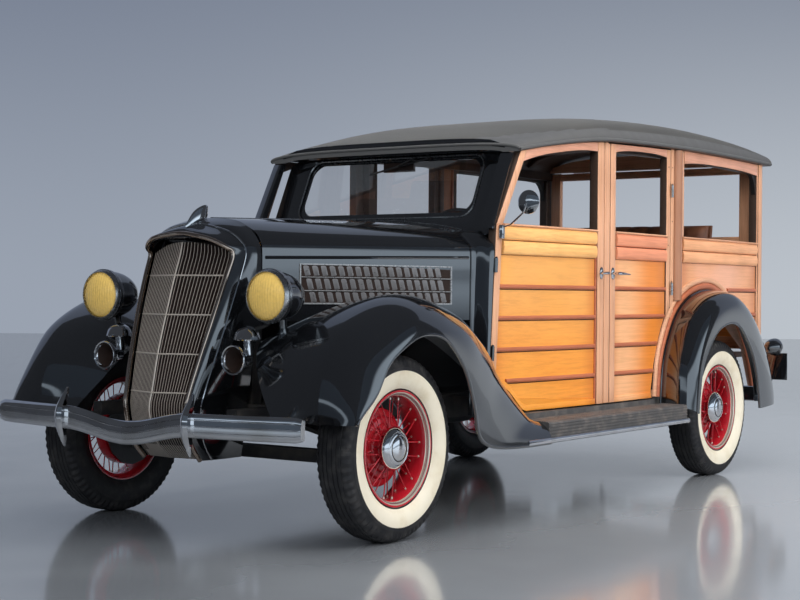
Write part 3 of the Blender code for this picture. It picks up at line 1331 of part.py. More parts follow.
def add_grille_shell():
    """Surround of the grille: up one side, over the top and down the other."""
    half_rows = []
    for shares in GRILLE_SHARES:
        z, opening, _, edge, outer, rear = grille_level(shares)
        half_rows.append([(opening, edge, z), (opening + SHELL_LIP / 2, edge - SHELL_LIP / 3, z), ((opening + outer) / 2 + SHELL_LIP / 4, edge + SHELL_LIP, z),
                          (outer, (edge + rear) / 2, z), (max(outer, HOOD_FRONT_HALF) if z > HOOD_SIDE_Z else outer, rear, z)])
    top = half_rows[-1]
    arc = []
    for degrees in (30, 60):
        turn = math.radians(degrees)
        row = []
        for index, (x, y, z) in enumerate(top):
            lift = (GRILLE_TOP_Z - z) + (HOOD_RIDGE_Z - NOSE_DROP - GRILLE_TOP_Z) * index / 4
            shrink = 0.30 + 0.70 * math.cos(turn)
            crease_y = GRILLE_FRONT_Y + GRILLE_DEPTH * GRILLE_SHARES[-1][2]
            forward = (y - crease_y) * (1 - math.sin(turn)) + crease_y if index < 2 else y - (y - crease_y) * (1 - math.cos(turn)) * (4 - index) / 5
            row.append((x * shrink, forward, z + lift * math.sin(turn)))
        arc.append(row)
    crown = []
    crease_y = GRILLE_FRONT_Y + GRILLE_DEPTH * (GRILLE_SHARES[-1][2] + 0.02)
    for index, (x, y, z) in enumerate(top):
        crown.append((0, crease_y + (HOOD_FRONT_Y - DOOR_GAP - crease_y) * (index / 4) ** 1.3,
                      GRILLE_TOP_Z + (HOOD_RIDGE_Z - NOSE_DROP - GRILLE_TOP_Z) * (index / 4) ** 0.6))
    rows = half_rows + arc + [crown]
    rows += [[(-x, y, z) for x, y, z in row] for row in reversed(half_rows + arc)]
    rows = [[(x, axle_y(y), z) for x, y, z in row] for row in rows]
    shell = sheet("grille_shell", rows, SHELL_THICKNESS, BLACK_PAINT, flip=True)
    spear = loft("hood_spear", [[(x, axle_y(y), z) for x, y, z in (
        (-w, y, HOOD_RIDGE_Z - NOSE_DROP + low), (w, y, HOOD_RIDGE_Z - NOSE_DROP + low),
        (w / 2, y, HOOD_RIDGE_Z - NOSE_DROP + high), (-w / 2, y, HOOD_RIDGE_Z - NOSE_DROP + high))]
        for y, w, low, high in spear_rings()], CHROME)
    rail_face = rail_x(HOOD_FRONT_Y) - RAIL_WIDTH / 2
    pieces = [spear]
    for side in (-1, 1):
        low_x = GRILLE_HALF_WIDTH * GRILLE_SHARES[2][4] - SHELL_THICKNESS * 0.9
        ends = sorted((side * low_x, side * (rail_face - GAP)))
        rear = HOOD_FRONT_Y - DOOR_GAP * 2
        pieces.append(box("shell_bracket_%d" % side, (ends[0], axle_y(rear - RAIL_WIDTH), FLOOR_Z - RAIL_WIDTH),
                          (ends[1], axle_y(rear), FLOOR_Z - RAIL_WIDTH / 4), BLACK_PAINT))
    join_pieces(shell, pieces)
    return shell


SPEAR_LENGTH = 0.130
SPEAR_HEIGHT = 0.055
SPEAR_HALF_WIDTH = 0.011


def spear_rings():
    """(y, half width, foot, top) of the spear on the hood's nose."""
    start = GRILLE_FRONT_Y + GRILLE_DEPTH * 0.58
    return tuple((start + SPEAR_LENGTH * along, SPEAR_HALF_WIDTH * wide, SPEAR_HEIGHT * low, SPEAR_HEIGHT * high)
                 for along, wide, low, high in SPEAR_SHARES)


# (share of the length, share of the half width, foot and top as shares of the height)
SPEAR_SHARES = ((0, 0.4, -0.95, -0.25), (0.35, 1.0, -0.60, 0.45), (0.7, 0.9, -0.42, 0.85), (1, 0.3, -0.22, 0.9))
BAR_THICKNESS = 0.006
BAR_SHARE = 0.42


def add_grille_bars(shell):
    """Upright bars either side of the crease, tied by cross bars, seated behind the shell's lip."""
    bars = GRILLE_BARS_A_SIDE
    columns = 4 * bars + 1
    centre = 2 * bars + 0.5
    pitch = 1 / (bars + BAR_SHARE / 2)
    levels = [grille_level(shares) for shares in GRILLE_SHARES] + [
        (GRILLE_TOP_Z * 0.985, GRILLE_HALF_WIDTH * 0.93, GRILLE_FRONT_Y + GRILLE_DEPTH * 0.50, GRILLE_FRONT_Y + GRILLE_DEPTH * 0.70, 0, 0)]
    cross_heights = [0.46, 0.62, 0.78, 0.915]

    def at_height(share):
        z = GRILLE_TOP_Z * share
        for low, high in zip(levels, levels[1:]):
            if z <= high[0]:
                t = (z - low[0]) / (high[0] - low[0])
                return [a + (b - a) * t for a, b in zip(low, high)]
        return list(levels[-1])

    row_shares = [0.262, 0.275]
    for cross in (0.33, 0.40) + tuple(cross_heights):
        if cross in cross_heights:
            row_shares += [cross - 0.004, cross + 0.004]
        else:
            row_shares.append(cross)
    row_shares += [0.972, 0.985]
    rows = len(row_shares) - 1

    def across(column):
        """Share of the half width for a column line, from -1 to 1."""
        place = column - centre
        sign = -1 if place < 0 else 1
        step = abs(place) - 0.5
        whole, odd = divmod(step, 2)
        value = (BAR_SHARE / 2 + whole + (odd and 1 - BAR_SHARE)) * pitch
        return sign * value

    def place(column, row, depth):
        z, opening, crease, edge, _, _ = at_height(row_shares[row])
        t = across(column)
        y = crease + (edge - crease) * abs(t)
        return (t * (opening + SHELL_THICKNESS / 2), axle_y(y + BAR_THICKNESS * 6 + depth), z)

    def level(column, row):
        is_bar = column % 2 == 0
        low, high = row_shares[row], row_shares[row + 1]
        is_cross = high - low < 0.014
        return FRAME if is_bar or is_cross else HOLE

    grille = framed_panel("grille_bars", columns, rows, level, place, BAR_THICKNESS, 0, STEEL)
    tree = solid_tree(shell)
    reaches = []
    for edge in grille.data.edges:
        first, second = (grille.data.vertices[number].co for number in edge.vertices)
        for step in range(5):
            reaches.append(tree.ray_cast(first.lerp(second, step / 4), Vector((0, -1, 0)))[3])
    forward = min(reach for reach in reaches if reach is not None) - GAP * 3
    for point in grille.data.vertices:
        point.co.y -= forward
    return grille


# Lamps, bumpers and small pieces

# (share of the length, share of the rim's radius)
LAMP_SHARES = ((-0.06, 0), (-0.04, 0.50), (0.0, 0.90), (0.02, 1.0), (0.13, 1.0), (0.18, 0.95), (0.45, 0.88),
               (0.75, 0.58), (0.94, 0.22), (1.0, 0))
HORN_SHARES = ((0.10, 0), (0.0, 0.86), (-0.02, 1.0), (0.12, 0.86), (0.5, 0.36), (1.0, 0.28), (1.0, 0))
HORN_LENGTH = 0.080
STALK_RADIUS = 0.016
DOME_RADIUS = 0.052


def solid_tree(thing):
    """The faces of a finished solid, its modifiers included, for finding where a foot rests."""
    bpy.context.view_layer.update()
    shape = bmesh.new()
    shape.from_mesh(thing.evaluated_get(bpy.context.evaluated_depsgraph_get()).to_mesh())
    bmesh.ops.transform(shape, matrix=Matrix.Translation(parent_place(thing)), verts=shape.verts)
    tree = BVHTree.FromBMesh(shape)
    shape.free()
    return tree


def seat_reach(tree, middle, outward, radius):
    """How far out from a point the solid reaches under a round foot."""
    first = outward.orthogonal().normalized()
    second = outward.cross(first)
    best = None
    for turn in range(24):
        for share in (0, 0.5, 0.8, 1.0):
            angle = math.pi * turn / 12
            start = middle + (first * math.cos(angle) + second * math.sin(angle)) * radius * share + outward * BODY_HALF_WIDTH
            hit = tree.ray_cast(start, -outward)[0]
            if hit is not None:
                reach = (hit - middle).dot(outward)
                best = reach if best is None else max(best, reach)
    return best


def add_lamp(side, word, fender):
    """Head lamp on its stalk, with the horn and its round motor cover on the same bracket."""
    tree = solid_tree(fender)
    place = Vector((side * LAMP_X, axle_y(LAMP_Y), LAMP_Z))
    lamp = turned("lamp_and_horn_" + word, [(LAMP_LENGTH * reach, LAMP_RADIUS * share) for reach, share in LAMP_SHARES],
                  place, (0, 1, 0), 16, BLACK_PAINT)
    foot = Vector((place.x, place.y + LAMP_LENGTH * 0.45, LAMP_Z))
    foot_z = LAMP_Z + seat_reach(tree, foot, Vector((0, 0, 1)), STALK_RADIUS * 1.5) + GAP
    stalk = rod("stalk_" + word, (foot.x, foot.y, foot_z), (foot.x, foot.y, LAMP_Z - LAMP_RADIUS / 2), STALK_RADIUS * 1.5,
                10, BLACK_PAINT, end_radius=STALK_RADIUS)
    horn = turned("horn_" + word, [(HORN_LENGTH * reach, HORN_RADIUS * share) for reach, share in HORN_SHARES],
                  (side * HORN_X, axle_y(HORN_Y), HORN_Z), (0, 1, 0), 10, CHROME)
    dome_place = Vector((side * HORN_X, axle_y(HORN_Y + HORN_LENGTH), HORN_Z + HORN_RADIUS * 1.25))
    dome = turned("dome_" + word, [(0, 0), (0, DOME_RADIUS), (DOME_RADIUS * 0.55, DOME_RADIUS * 0.85), (DOME_RADIUS, DOME_RADIUS * 0.35),
                                   (DOME_RADIUS * 1.1, 0)], dome_place, (0, 0, 1), 8, CHROME)
    neck = rod("horn_neck_" + word, (side * HORN_X, axle_y(HORN_Y + HORN_LENGTH * 0.8), HORN_Z),
               dome_place + Vector((0, 0, DOME_RADIUS / 4)), STALK_RADIUS * 0.7, 8, CHROME)
    arm = rod("horn_arm_" + word, dome_place + Vector((0, 0, DOME_RADIUS / 2)), (foot.x, foot.y, LAMP_Z - LAMP_RADIUS * 0.6),
              STALK_RADIUS * 0.7, 8, BLACK_PAINT)
    join_pieces(lamp, [stalk, horn, dome, neck, arm])
    return lamp


# (share of the height, share of the thickness) round the bar's section, outer face first
BAR_SECTION_SHARES = ((-0.5, 0.35), (-0.36, 0.0), (0.36, 0.0), (0.5, 0.35), (0.5, 1.0), (-0.5, 1.0))
# (share of the height, share of the depth) round a guard's crescent
GUARD_SHARES = ((-0.5, 0.75), (-0.25, 0.25), (0, 0.02), (0.22, 0.25), (0.5, 1.0), (0.2, 0.9), (-0.15, 0.8))
GUARD_DEPTH = 0.055
BAR_SETBACK_SHARE = 0.55
GUARD_HALF_THICKNESS = 0.014


def add_bumper(name, half_width, face_y, bow, middle_z, dip, guard_x, arm_start, toward):
    """Curved bar with two guards, on arms that meet the frame's ends. toward is +1 for the front."""
    rings = []
    count = 12
    guard_share = guard_x / half_width
    for step in range(count + 1):
        x = half_width * (-1 + 2 * step / count)
        share = abs(x) / half_width
        y = face_y + toward * (GUARD_DEPTH * BAR_SETBACK_SHARE + bow * max(0, share ** 2 - guard_share ** 2))
        z = middle_z + dip * (1 - math.cos(math.pi * min(share * 2.4, 1))) / 2
        rings.append([(x, axle_y(y + toward * BUMPER_THICKNESS * deep), z + BUMPER_HEIGHT * high) for high, deep in BAR_SECTION_SHARES])
    bar = loft(name, rings, CHROME)
    pieces = []
    for side in (-1, 1):
        guard_z = middle_z + dip
        outline = [(face_y + toward * GUARD_DEPTH * deep, guard_z + GUARD_HEIGHT * high) for high, deep in GUARD_SHARES]
        pieces.append(loft("%s_guard_%d" % (name, side), [[(side * guard_x + x, axle_y(y), z) for y, z in outline]
                                                         for x in (-GUARD_HALF_THICKNESS, GUARD_HALF_THICKNESS)], CHROME))
        x0, y0, z0 = arm_start
        share = x0 / half_width
        bar_y = face_y + toward * (GUARD_DEPTH * BAR_SETBACK_SHARE + BUMPER_THICKNESS * 0.6
                                   + bow * max(0, share ** 2 - guard_share ** 2))
        half = RAIL_WIDTH / 3
        arm = [[(side * x0 + a * half, axle_y(y), z + b * half) for a, b in ((-1, -1), (1, -1), (1, 1), (-1, 1))]
               for y, z in ((y0, z0), (bar_y, guard_z))]
        pieces.append(loft("%s_arm_%d" % (name, side), arm, CHROME))
    join_pieces(bar, pieces)
    return bar


def add_steering_wheel():
    centre = STEERING_HUB
    axis = STEERING_AXIS
    steps, sides = 24, 6
    side = Vector((1, 0, 0))
    other = axis.cross(side)
    points = []
    faces = []
    for step in range(steps):
        angle = 2 * math.pi * step / steps
        out = side * math.cos(angle) + other * math.sin(angle)
        for turn in range(sides):
            small = 2 * math.pi * turn / sides
            points.append(centre + out * (STEERING_RADIUS + STEERING_RIM * math.cos(small)) + axis * STEERING_RIM * math.sin(small))
            here, across = (turn + 1) % sides, (step + 1) % steps
            faces.append((step * sides + turn, step * sides + here, across * sides + here, across * sides + turn))
    rim = add_solid("steering_wheel", points, faces, BLACK_PAINT, centre)
    hub_foot = centre - axis * (STEERING_DEPTH - GAP)
    pieces = [rod("steering_hub", hub_foot, centre + axis * STEERING_RIM, COLUMN_RADIUS * 1.5, 12, BLACK_PAINT)]
    for number in range(3):
        angle = math.radians(90 + 120 * number)
        out = side * math.cos(angle) + other * math.sin(angle)
        pieces.append(rod("steering_spoke_%d" % number, centre, centre + out * STEERING_RADIUS, STEERING_RIM * 0.6, 6, BLACK_PAINT))
    join_pieces(rim, pieces)
    smooth(rim)
    return rim


CUSHION_THICKNESS = 0.130
BACK_THICKNESS = 0.110
SEAT_DEPTH = 0.480
SEAT_HEIGHT = 0.270
BACK_HEIGHT = 0.450
# (name, front of the cushion, foot, half width)
SEATS = (("front_seat", 1.330, FLOOR_Z + FLOOR_THICKNESS + GAP, BODY_HALF_WIDTH - 0.156),
         ("middle_seat", 2.060, FLOOR_Z + FLOOR_THICKNESS + GAP, BODY_HALF_WIDTH - 0.156),
         ("rear_seat", WHEELBASE - 0.045, LOAD_FLOOR_Z + FLOOR_THICKNESS + GAP, BODY_HALF_WIDTH - 0.186))


def add_seats():
    """Each bench is one solid: box, cushion with a rounded front and a leaning back."""
    for name, front, foot, half in SEATS:
        top = foot + SEAT_HEIGHT
        rear = front + SEAT_DEPTH
        lean = BACK_HEIGHT * 0.22
        inset = CUSHION_THICKNESS / 4
        profile = ((front + inset, foot), (rear, foot), (rear + lean, top + BACK_HEIGHT - inset), (rear + lean - inset, top + BACK_HEIGHT),
                   (rear + lean - BACK_THICKNESS + inset, top + BACK_HEIGHT), (rear + lean - BACK_THICKNESS, top + BACK_HEIGHT - inset),
                   (rear - BACK_THICKNESS, top), (front + inset, top), (front, top - inset), (front, top - CUSHION_THICKNESS))
        rings = [[(x, axle_y(y), z) for y, z in profile] for x in (-half, half)]
        loft(name, rings, LEATHER)


GATE_HALF_WIDTH = BODY_HALF_WIDTH - 0.076
GATE_THICKNESS = 0.036
GATE_FOOT_Z = 0.630
GATE_HINGE_Z = 0.625
CARRIER_RADIUS = 0.045
SPARE_STANDOFF = 0.048


def gate_barrels(name, hinge, radius):
    """Two hinge barrels across a gate's hinge line."""
    return [rod("%s_barrel_%d" % (name, side), (side * GATE_HINGE_X - HINGE_LENGTH, hinge[1], hinge[2]),
                (side * GATE_HINGE_X + HINGE_LENGTH, hinge[1], hinge[2]), radius, 12, MAPLE) for side in (-1, 1)]


def add_rear_gates():
    """Drop tailgate that carries the spare wheel, and the liftgate with its window above it."""
    outer = BODY_REAR_Y
    hinge = (0, axle_y(outer), GATE_HINGE_Z)
    gate_top = BELT_Z - DOOR_GAP
    heights = [GATE_FOOT_Z] + [z for z in rib_heights() if z > GATE_FOOT_Z + STILE_WIDTH][:-1] + [gate_top]
    half = GATE_HALF_WIDTH
    widths = [-half, -half + STILE_WIDTH, 0, half - STILE_WIDTH, half]

    def gate_place(column, row, depth):
        return (widths[column], axle_y(outer - depth), heights[row])

    def gate_level(column, row):
        if column in (0, 3) or row in (0, len(heights) - 2):
            return FRAME
        return PANEL if (len(heights) - 2 - row) % 2 else FRAME

    tailgate = framed_panel("tailgate", 4, len(heights) - 1, gate_level, gate_place, GATE_THICKNESS, PANEL_RECESS, MAPLE, hinge)
    spare_y = outer + SPARE_STANDOFF + TYRE_HALF_WIDTH
    spare_z = BELT_Z - TYRE_RADIUS
    hub_inner = spare_y - RIM_HALF_WIDTH * 0.5
    carrier = turned("carrier", [(0, 0), (0, CARRIER_RADIUS), (hub_inner - GAP - outer + PANEL_RECESS * 1.5, CARRIER_RADIUS),
                                 (hub_inner - GAP - outer + PANEL_RECESS * 1.5, SPINDLE_RADIUS),
                                 (spare_y + SPINDLE_REACH - outer + PANEL_RECESS * 1.5, SPINDLE_RADIUS),
                                 (spare_y + SPINDLE_REACH - outer + PANEL_RECESS * 1.5, 0)],
                     (0, axle_y(outer - PANEL_RECESS * 1.5), spare_z), (0, 1, 0), HUB_STEPS, MAPLE)
    barrel_radius = math.hypot(DOOR_GAP, GATE_HINGE_Z - LOAD_FLOOR_Z - FLOOR_THICKNESS) - GAP
    join_pieces(tailgate, [carrier] + gate_barrels("tailgate", hinge, barrel_radius))
    centre = Vector((0, axle_y(spare_y), spare_z))
    add_wheel("spare_wheel", centre, (0, 1, 0), RED_PAINT, with_drum=False)
    add_tyre("spare_tyre", centre, (0, 1, 0))

    lift_top = roof_edge_z(outer) - DOOR_GAP
    lift_low = BELT_Z + DOOR_GAP / 2
    lift_heights = [lift_low, lift_low + STILE_WIDTH * 0.6, lift_top - STILE_WIDTH * 0.6, lift_top]

    def lift_place(column, row, depth):
        return (widths[column], axle_y(outer - depth), lift_heights[row])

    def lift_level(column, row):
        return HOLE if row == 1 and column in (1, 2) else FRAME

    lift_hinge = (0, axle_y(outer), lift_top)
    liftgate = framed_panel("liftgate", 4, 3, lift_level, lift_place, GATE_THICKNESS, 0, MAPLE, lift_hinge)
    join_pieces(liftgate, gate_barrels("liftgate", lift_hinge, DOOR_GAP))
    return tailgate


MIRROR_RADIUS = 0.050
MIRROR_X = BODY_HALF_WIDTH + 0.110
MIRROR_Y = 0.840
MIRROR_Z = 1.311
MIRROR_THICKNESS = 0.014


def add_mirror(door):
    """Round mirror on a thin arm from the left front door's upper hinge."""
    base_place = door_front_y(BELT_Z) + STILE_WIDTH * 0.3
    base = Vector((body_x(base_place), axle_y(base_place), BELT_Z - BELT_PLANK_HEIGHT / 2))
    base.x += seat_reach(solid_tree(door), base, Vector((1, 0, 0)), MIRROR_THICKNESS)
    centre = Vector((MIRROR_X, axle_y(MIRROR_Y), MIRROR_Z))
    mirror = turned("door_mirror", [(0, 0), (0, MIRROR_RADIUS), (MIRROR_THICKNESS / 2, MIRROR_RADIUS), (MIRROR_THICKNESS, 0)],
                    centre, (0, -1, 0), 20, CHROME)
    foot = rod("mirror_foot", base + Vector((GAP, 0, 0)), base + Vector((MIRROR_THICKNESS, 0, 0)), MIRROR_THICKNESS * 0.7, 8, CHROME)
    arm = rod("mirror_arm", base + Vector((MIRROR_THICKNESS * 0.7, 0, 0)), centre + Vector((0, -MIRROR_THICKNESS / 2, 0)), MIRROR_THICKNESS * 0.3, 6, CHROME)
    join_pieces(mirror, [foot, arm])
    return mirror


TAIL_LAMP_X = BODY_HALF_WIDTH + 0.064
TAIL_LAMP_Z = 0.645
TAIL_LAMP_RADIUS = 0.048
PLATE_HEIGHT = 0.136
PLATE_WIDTH = 0.150


def add_tail_lamp():
    """Left tail lamp on an arm from the tail post, with the blank plate bracket below it."""
    rear = BODY_REAR_Y
    arm_inner = body_x(rear - POST_THICKNESS) + GAP * 2
    lamp = turned("tail_lamp", [(-TAIL_LAMP_RADIUS * 2, 0), (-TAIL_LAMP_RADIUS * 1.4, TAIL_LAMP_RADIUS * 0.6), (-TAIL_LAMP_RADIUS * 0.4, TAIL_LAMP_RADIUS * 0.95),
                                (0, TAIL_LAMP_RADIUS), (TAIL_LAMP_RADIUS * 0.3, TAIL_LAMP_RADIUS * 0.6), (TAIL_LAMP_RADIUS * 0.4, 0)],
                  (TAIL_LAMP_X, axle_y(rear), TAIL_LAMP_Z), (0, 1, 0), 16, BLACK_PAINT)
    arm = box("tail_arm", (arm_inner, axle_y(rear - TAIL_LAMP_RADIUS), TAIL_LAMP_Z - STALK_RADIUS),
              (TAIL_LAMP_X, axle_y(rear - STALK_RADIUS), TAIL_LAMP_Z + STALK_RADIUS / 2), BLACK_PAINT)
    plate = box("plate", (TAIL_LAMP_X - PLATE_WIDTH / 2, axle_y(rear + TAIL_LAMP_RADIUS * 0.1), TAIL_LAMP_Z - TAIL_LAMP_RADIUS - PLATE_HEIGHT),
                (TAIL_LAMP_X + PLATE_WIDTH / 2, axle_y(rear + TAIL_LAMP_RADIUS * 0.2), TAIL_LAMP_Z - TAIL_LAMP_RADIUS * 0.7), BLACK_PAINT)
    join_pieces(lamp, [arm, plate])
    return lamp


def main():
    clear_scene()
    add_frame()
    add_engine()
    add_tank()
    add_exhaust()
    add_front_axle()
    add_rear_axle()
    doors = {}
    for side, word in ((1, "left"), (-1, "right")):
        knuckle, centre, out = add_knuckle(side, word)
        add_wheel("wheel_front_" + word, centre, out, RED_PAINT, knuckle)
        add_tyre("tyre_front_" + word, centre, out, knuckle)
        rear_centre = wheel_centre(side, False)
        add_wheel("wheel_rear_" + word, rear_centre, out, RED_PAINT)
        add_tyre("tyre_rear_" + word, rear_centre, out)
        fender, _ = add_fenders(side, word)
        add_side(side, word)
        doors[side], _ = add_doors(side, word)
        add_hood(side, word)
        add_lamp(side, word, fender)
    add_floor()
    add_roof()
    add_cowl()
    add_glass()
    add_grille_bars(add_grille_shell())
    add_steering_wheel()
    add_seats()
    add_rear_gates()
    add_mirror(doors[1])
    add_tail_lamp()
    add_bumper("front_bumper", BUMPER_HALF_WIDTH, -FRONT_OVERHANG, 0.105, FRONT_BUMPER_Z, 0.043, GUARD_X,
               (rail_x(FRAME_FRONT_Y), FRAME_FRONT_Y - GAP, FLOOR_Z - RAIL_DEPTH / 2), 1)
    add_bumper("rear_bumper", REAR_BUMPER_HALF_WIDTH, WHEELBASE + REAR_OVERHANG, 0.075, REAR_BUMPER_Z, 0, REAR_GUARD_X,
               (rail_x(FRAME_REAR_Y), FRAME_REAR_Y + GAP, LOAD_FLOOR_Z - RAIL_DEPTH / 2), -1)


main()
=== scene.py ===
"""Wood-bodied station wagon of the mid nineteen-thirties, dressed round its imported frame.

Metres, +Z up. The car faces -Y and +X is its left side. Places along the car are told from the front axle.
"""

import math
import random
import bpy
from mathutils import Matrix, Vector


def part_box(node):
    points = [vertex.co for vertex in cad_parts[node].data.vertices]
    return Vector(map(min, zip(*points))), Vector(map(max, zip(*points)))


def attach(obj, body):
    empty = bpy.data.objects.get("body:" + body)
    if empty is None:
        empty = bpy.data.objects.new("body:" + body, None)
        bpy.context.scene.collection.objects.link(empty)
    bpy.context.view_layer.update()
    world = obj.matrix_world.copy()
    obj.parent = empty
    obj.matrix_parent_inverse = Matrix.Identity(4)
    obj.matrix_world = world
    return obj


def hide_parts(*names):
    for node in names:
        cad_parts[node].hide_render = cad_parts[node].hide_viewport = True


bl_info = {
    "name": "Wooden Wagon Builder",
    "version": (1, 0, 0),
    "blender": (4, 5, 0),
    "location": "3D View > Sidebar > Wagon",
    "description": "Builds the looks of a wood-bodied station wagon round its packed frame",
    "category": "Add Mesh",
}

import bpy
from mathutils import Matrix, Vector

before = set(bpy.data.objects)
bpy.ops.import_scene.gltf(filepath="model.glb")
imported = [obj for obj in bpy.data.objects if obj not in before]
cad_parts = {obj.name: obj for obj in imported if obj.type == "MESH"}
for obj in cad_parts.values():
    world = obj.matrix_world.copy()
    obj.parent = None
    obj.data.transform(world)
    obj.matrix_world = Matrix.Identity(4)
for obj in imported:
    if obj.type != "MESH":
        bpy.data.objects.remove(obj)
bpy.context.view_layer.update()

# The photograph's camera, turns in degrees
CAMERA_PLACE = (4.1236, -6.440, 0.9266)
CAMERA_AZIMUTH = 34.87
CAMERA_DIP = 0.22
CAMERA_ROLL = 0.44
CAMERA_LENS = 71.0

# Body lines, the same as the solids have
FRONT_AXLE_Y = -1.621
WHEELBASE = 2.845
REAR_AXLE_Y = FRONT_AXLE_Y + WHEELBASE
TYRE_RADIUS = 0.350
TYRE_SEAT_RADIUS = 0.2056
TYRE_HALF_WIDTH = 0.080
FRONT_TRACK = 0.705
REAR_TRACK = 0.740
BODY_HALF_WIDTH = 0.716
DOOR_THICKNESS = 0.040
SILL_Z = 0.426
BELT_Z = 1.221
PANEL_RECESS = 0.010
HANDLE_Z = 1.030
HINGE_LEAN = 0.063
DOOR_FRONT_Y = 0.800
DOOR_SPLIT_Y = 1.763
REAR_DOOR_END_Y = 2.433
BODY_REAR_Y = 3.662
ROOF_FRONT_Y = 1.000
ROOF_REAR_Y = 3.740
ROOF_HALF_WIDTH = 0.738
PLANK_LOW_Z = 1.095
BELT_PLANK_HEIGHTS = (1.1265, 1.1890)
SILL_LIP_Z = 1.2235
RIB_HEIGHTS = (0.5598, 0.6936, 0.8274, 0.9612)
BODY_PLAN = ((0, 0.925), (0.08, 0.952), (0.18, 0.980), (0.33, 0.998), (0.60, 1.0), (0.82, 0.996),
             (1, 0.978))
ROOF_EDGE = ((0, 1.262), (0.10, 1.300), (0.24, 1.338), (0.39, 1.353), (0.60, 1.365), (0.78, 1.367),
             (1, 1.366))
ROOF_CROWN = ((0, 0.036), (0.09, 0.057), (0.18, 0.078), (0.36, 0.107), (0.55, 0.119), (0.73, 0.119),
              (0.88, 0.107), (0.97, 0.090), (1, 0.080))
ROOF_PLAN = ((0, 0.925), (0.08, 0.952), (0.20, 0.985), (0.35, 1.0), (0.80, 1.0), (1, 0.975))
HOOD_FRONT_Y = -0.195
HOOD_REAR_Y = 0.760
HOOD_SIDE_Z = 0.820
HOOD_RIDGE_Z = 1.245
NOSE_DROP = 0.028
NOSE_HALF_WIDTH = 0.262
COWL_HALF_WIDTH = 0.590
HOOD_SECTION = ((1, 0), (1, 0.34), (1, 0.66), (0.965, 0.76), (0.86, 0.855), (0.62, 0.935), (0.32, 0.982),
                (0.10, 0.998))
WINDSHIELD_FOOT_Y = 0.930
WINDSHIELD_FOOT_Z = 1.262
WINDSHIELD_TOP_Z = 1.545
WINDSHIELD_RAKE = 0.47
STEERING_X = 0.330
STEERING_Y = 1.200
STEERING_Z = 1.130
STEERING_TILT = 38
GRILLE_TOP_Z = 1.135
GRILLE_HALF_WIDTH = 0.210
GRILLE_FRONT_Y = -0.545
GRILLE_DEPTH = 0.350
# Height, opening half width, crease, opening edge and shell half width, as shares
GRILLE_LEVELS = ((0.262, 0.66, 0.36, 0.42, 0.80), (0.330, 0.69, 0.10, 0.24, 0.86),
                 (0.430, 0.71, 0, 0.16, 0.92), (0.491, 0.74, 0.04, 0.19, 0.98),
                 (0.620, 0.83, 0.13, 0.32, 1.10), (0.745, 0.91, 0.25, 0.46, 1.19),
                 (0.870, 0.97, 0.38, 0.61, 1.24), (0.945, 0.99, 0.47, 0.70, 1.24))
SHEET_THICKNESS = 0.005
FENDER_HALF_WIDTH = 0.8825
LIP_RADIUS = 0.0085
WELT_RADIUS = 0.005
FRONT_FENDER_LENGTH = 1.250
FRONT_FENDER_TAIL = 0.950
FRONT_CROWN_Z = 0.925
# Lip y and z, crown y and z, inner x, y and z, as shares of the tail, the crown and the half width
FRONT_FENDER = (
    (-0.334, 0.507, -0.352, 0.503, 0.568, -0.340, 0.508),
    (-0.308, 0.541, -0.346, 0.616, 0.489, -0.312, 0.595),
    (-0.240, 0.616, -0.316, 0.735, 0.420, -0.280, 0.681),
    (-0.182, 0.724, -0.252, 0.849, 0.369, -0.240, 0.757),
    (-0.112, 0.785, -0.160, 0.932, 0.341, -0.176, 0.816),
    (-0.016, 0.835, -0.048, 0.988, 0.381, -0.048, 0.854),
    (0.088, 0.830, 0.072, 1.000, 0.438, 0.072, 0.865),
    (0.160, 0.778, 0.211, 0.968, 0.500, 0.200, 0.865),
    (0.236, 0.670, 0.360, 0.899, 0.574, 0.360, 0.843),
    (0.286, 0.519, 0.478, 0.784, 0.640, 0.478, 0.757),
    (0.314, 0.400, 0.545, 0.608, 0.795, 0.545, 0.595),
    (0.400, 0.352, 0.675, 0.472, 0.815, 0.675, 0.464),
    (0.560, 0.336, 0.720, 0.440, 0.815, 0.720, 0.436),
    (0.760, 0.334, 0.760, 0.427, 0.815, 0.760, 0.427),
)
REAR_FENDER_LENGTH = 0.700
REAR_CROWN_Z = 0.958
# Lip y and z, crown y and z from the rear axle
REAR_FENDER = (
    (-0.593, 0.360, -0.736, 0.397), (-0.571, 0.470, -0.724, 0.511),
    (-0.529, 0.585, -0.693, 0.637), (-0.429, 0.684, -0.593, 0.778),
    (-0.264, 0.781, -0.450, 0.892), (-0.064, 0.822, -0.221, 0.971),
    (0.121, 0.809, 0.064, 1.000), (0.279, 0.730, 0.307, 0.966),
    (0.393, 0.647, 0.536, 0.872), (0.471, 0.543, 0.736, 0.736),
    (0.514, 0.438, 0.886, 0.595), (0.536, 0.376, 0.979, 0.444),
    (0.543, 0.344, 0.993, 0.360),
)
BOARD_TOP_Z = 0.395
BOARD_REAR_Y = WHEELBASE - 0.530
# Lower edge of the front door, high over the fender and level behind it
DOOR_FOOT = ((0.800, 0.567), (0.820, 0.553), (0.840, 0.547), (0.900, 0.541), (0.935, 0.530), (0.965, 0.506),
             (1.005, 0.466), (1.050, 0.435), (1.090, 0.426))


def colour_setting(name, words, value):
    return bpy.props.FloatVectorProperty(name=name, description=words, subtype="COLOR", default=value,
                                         min=0, max=1)


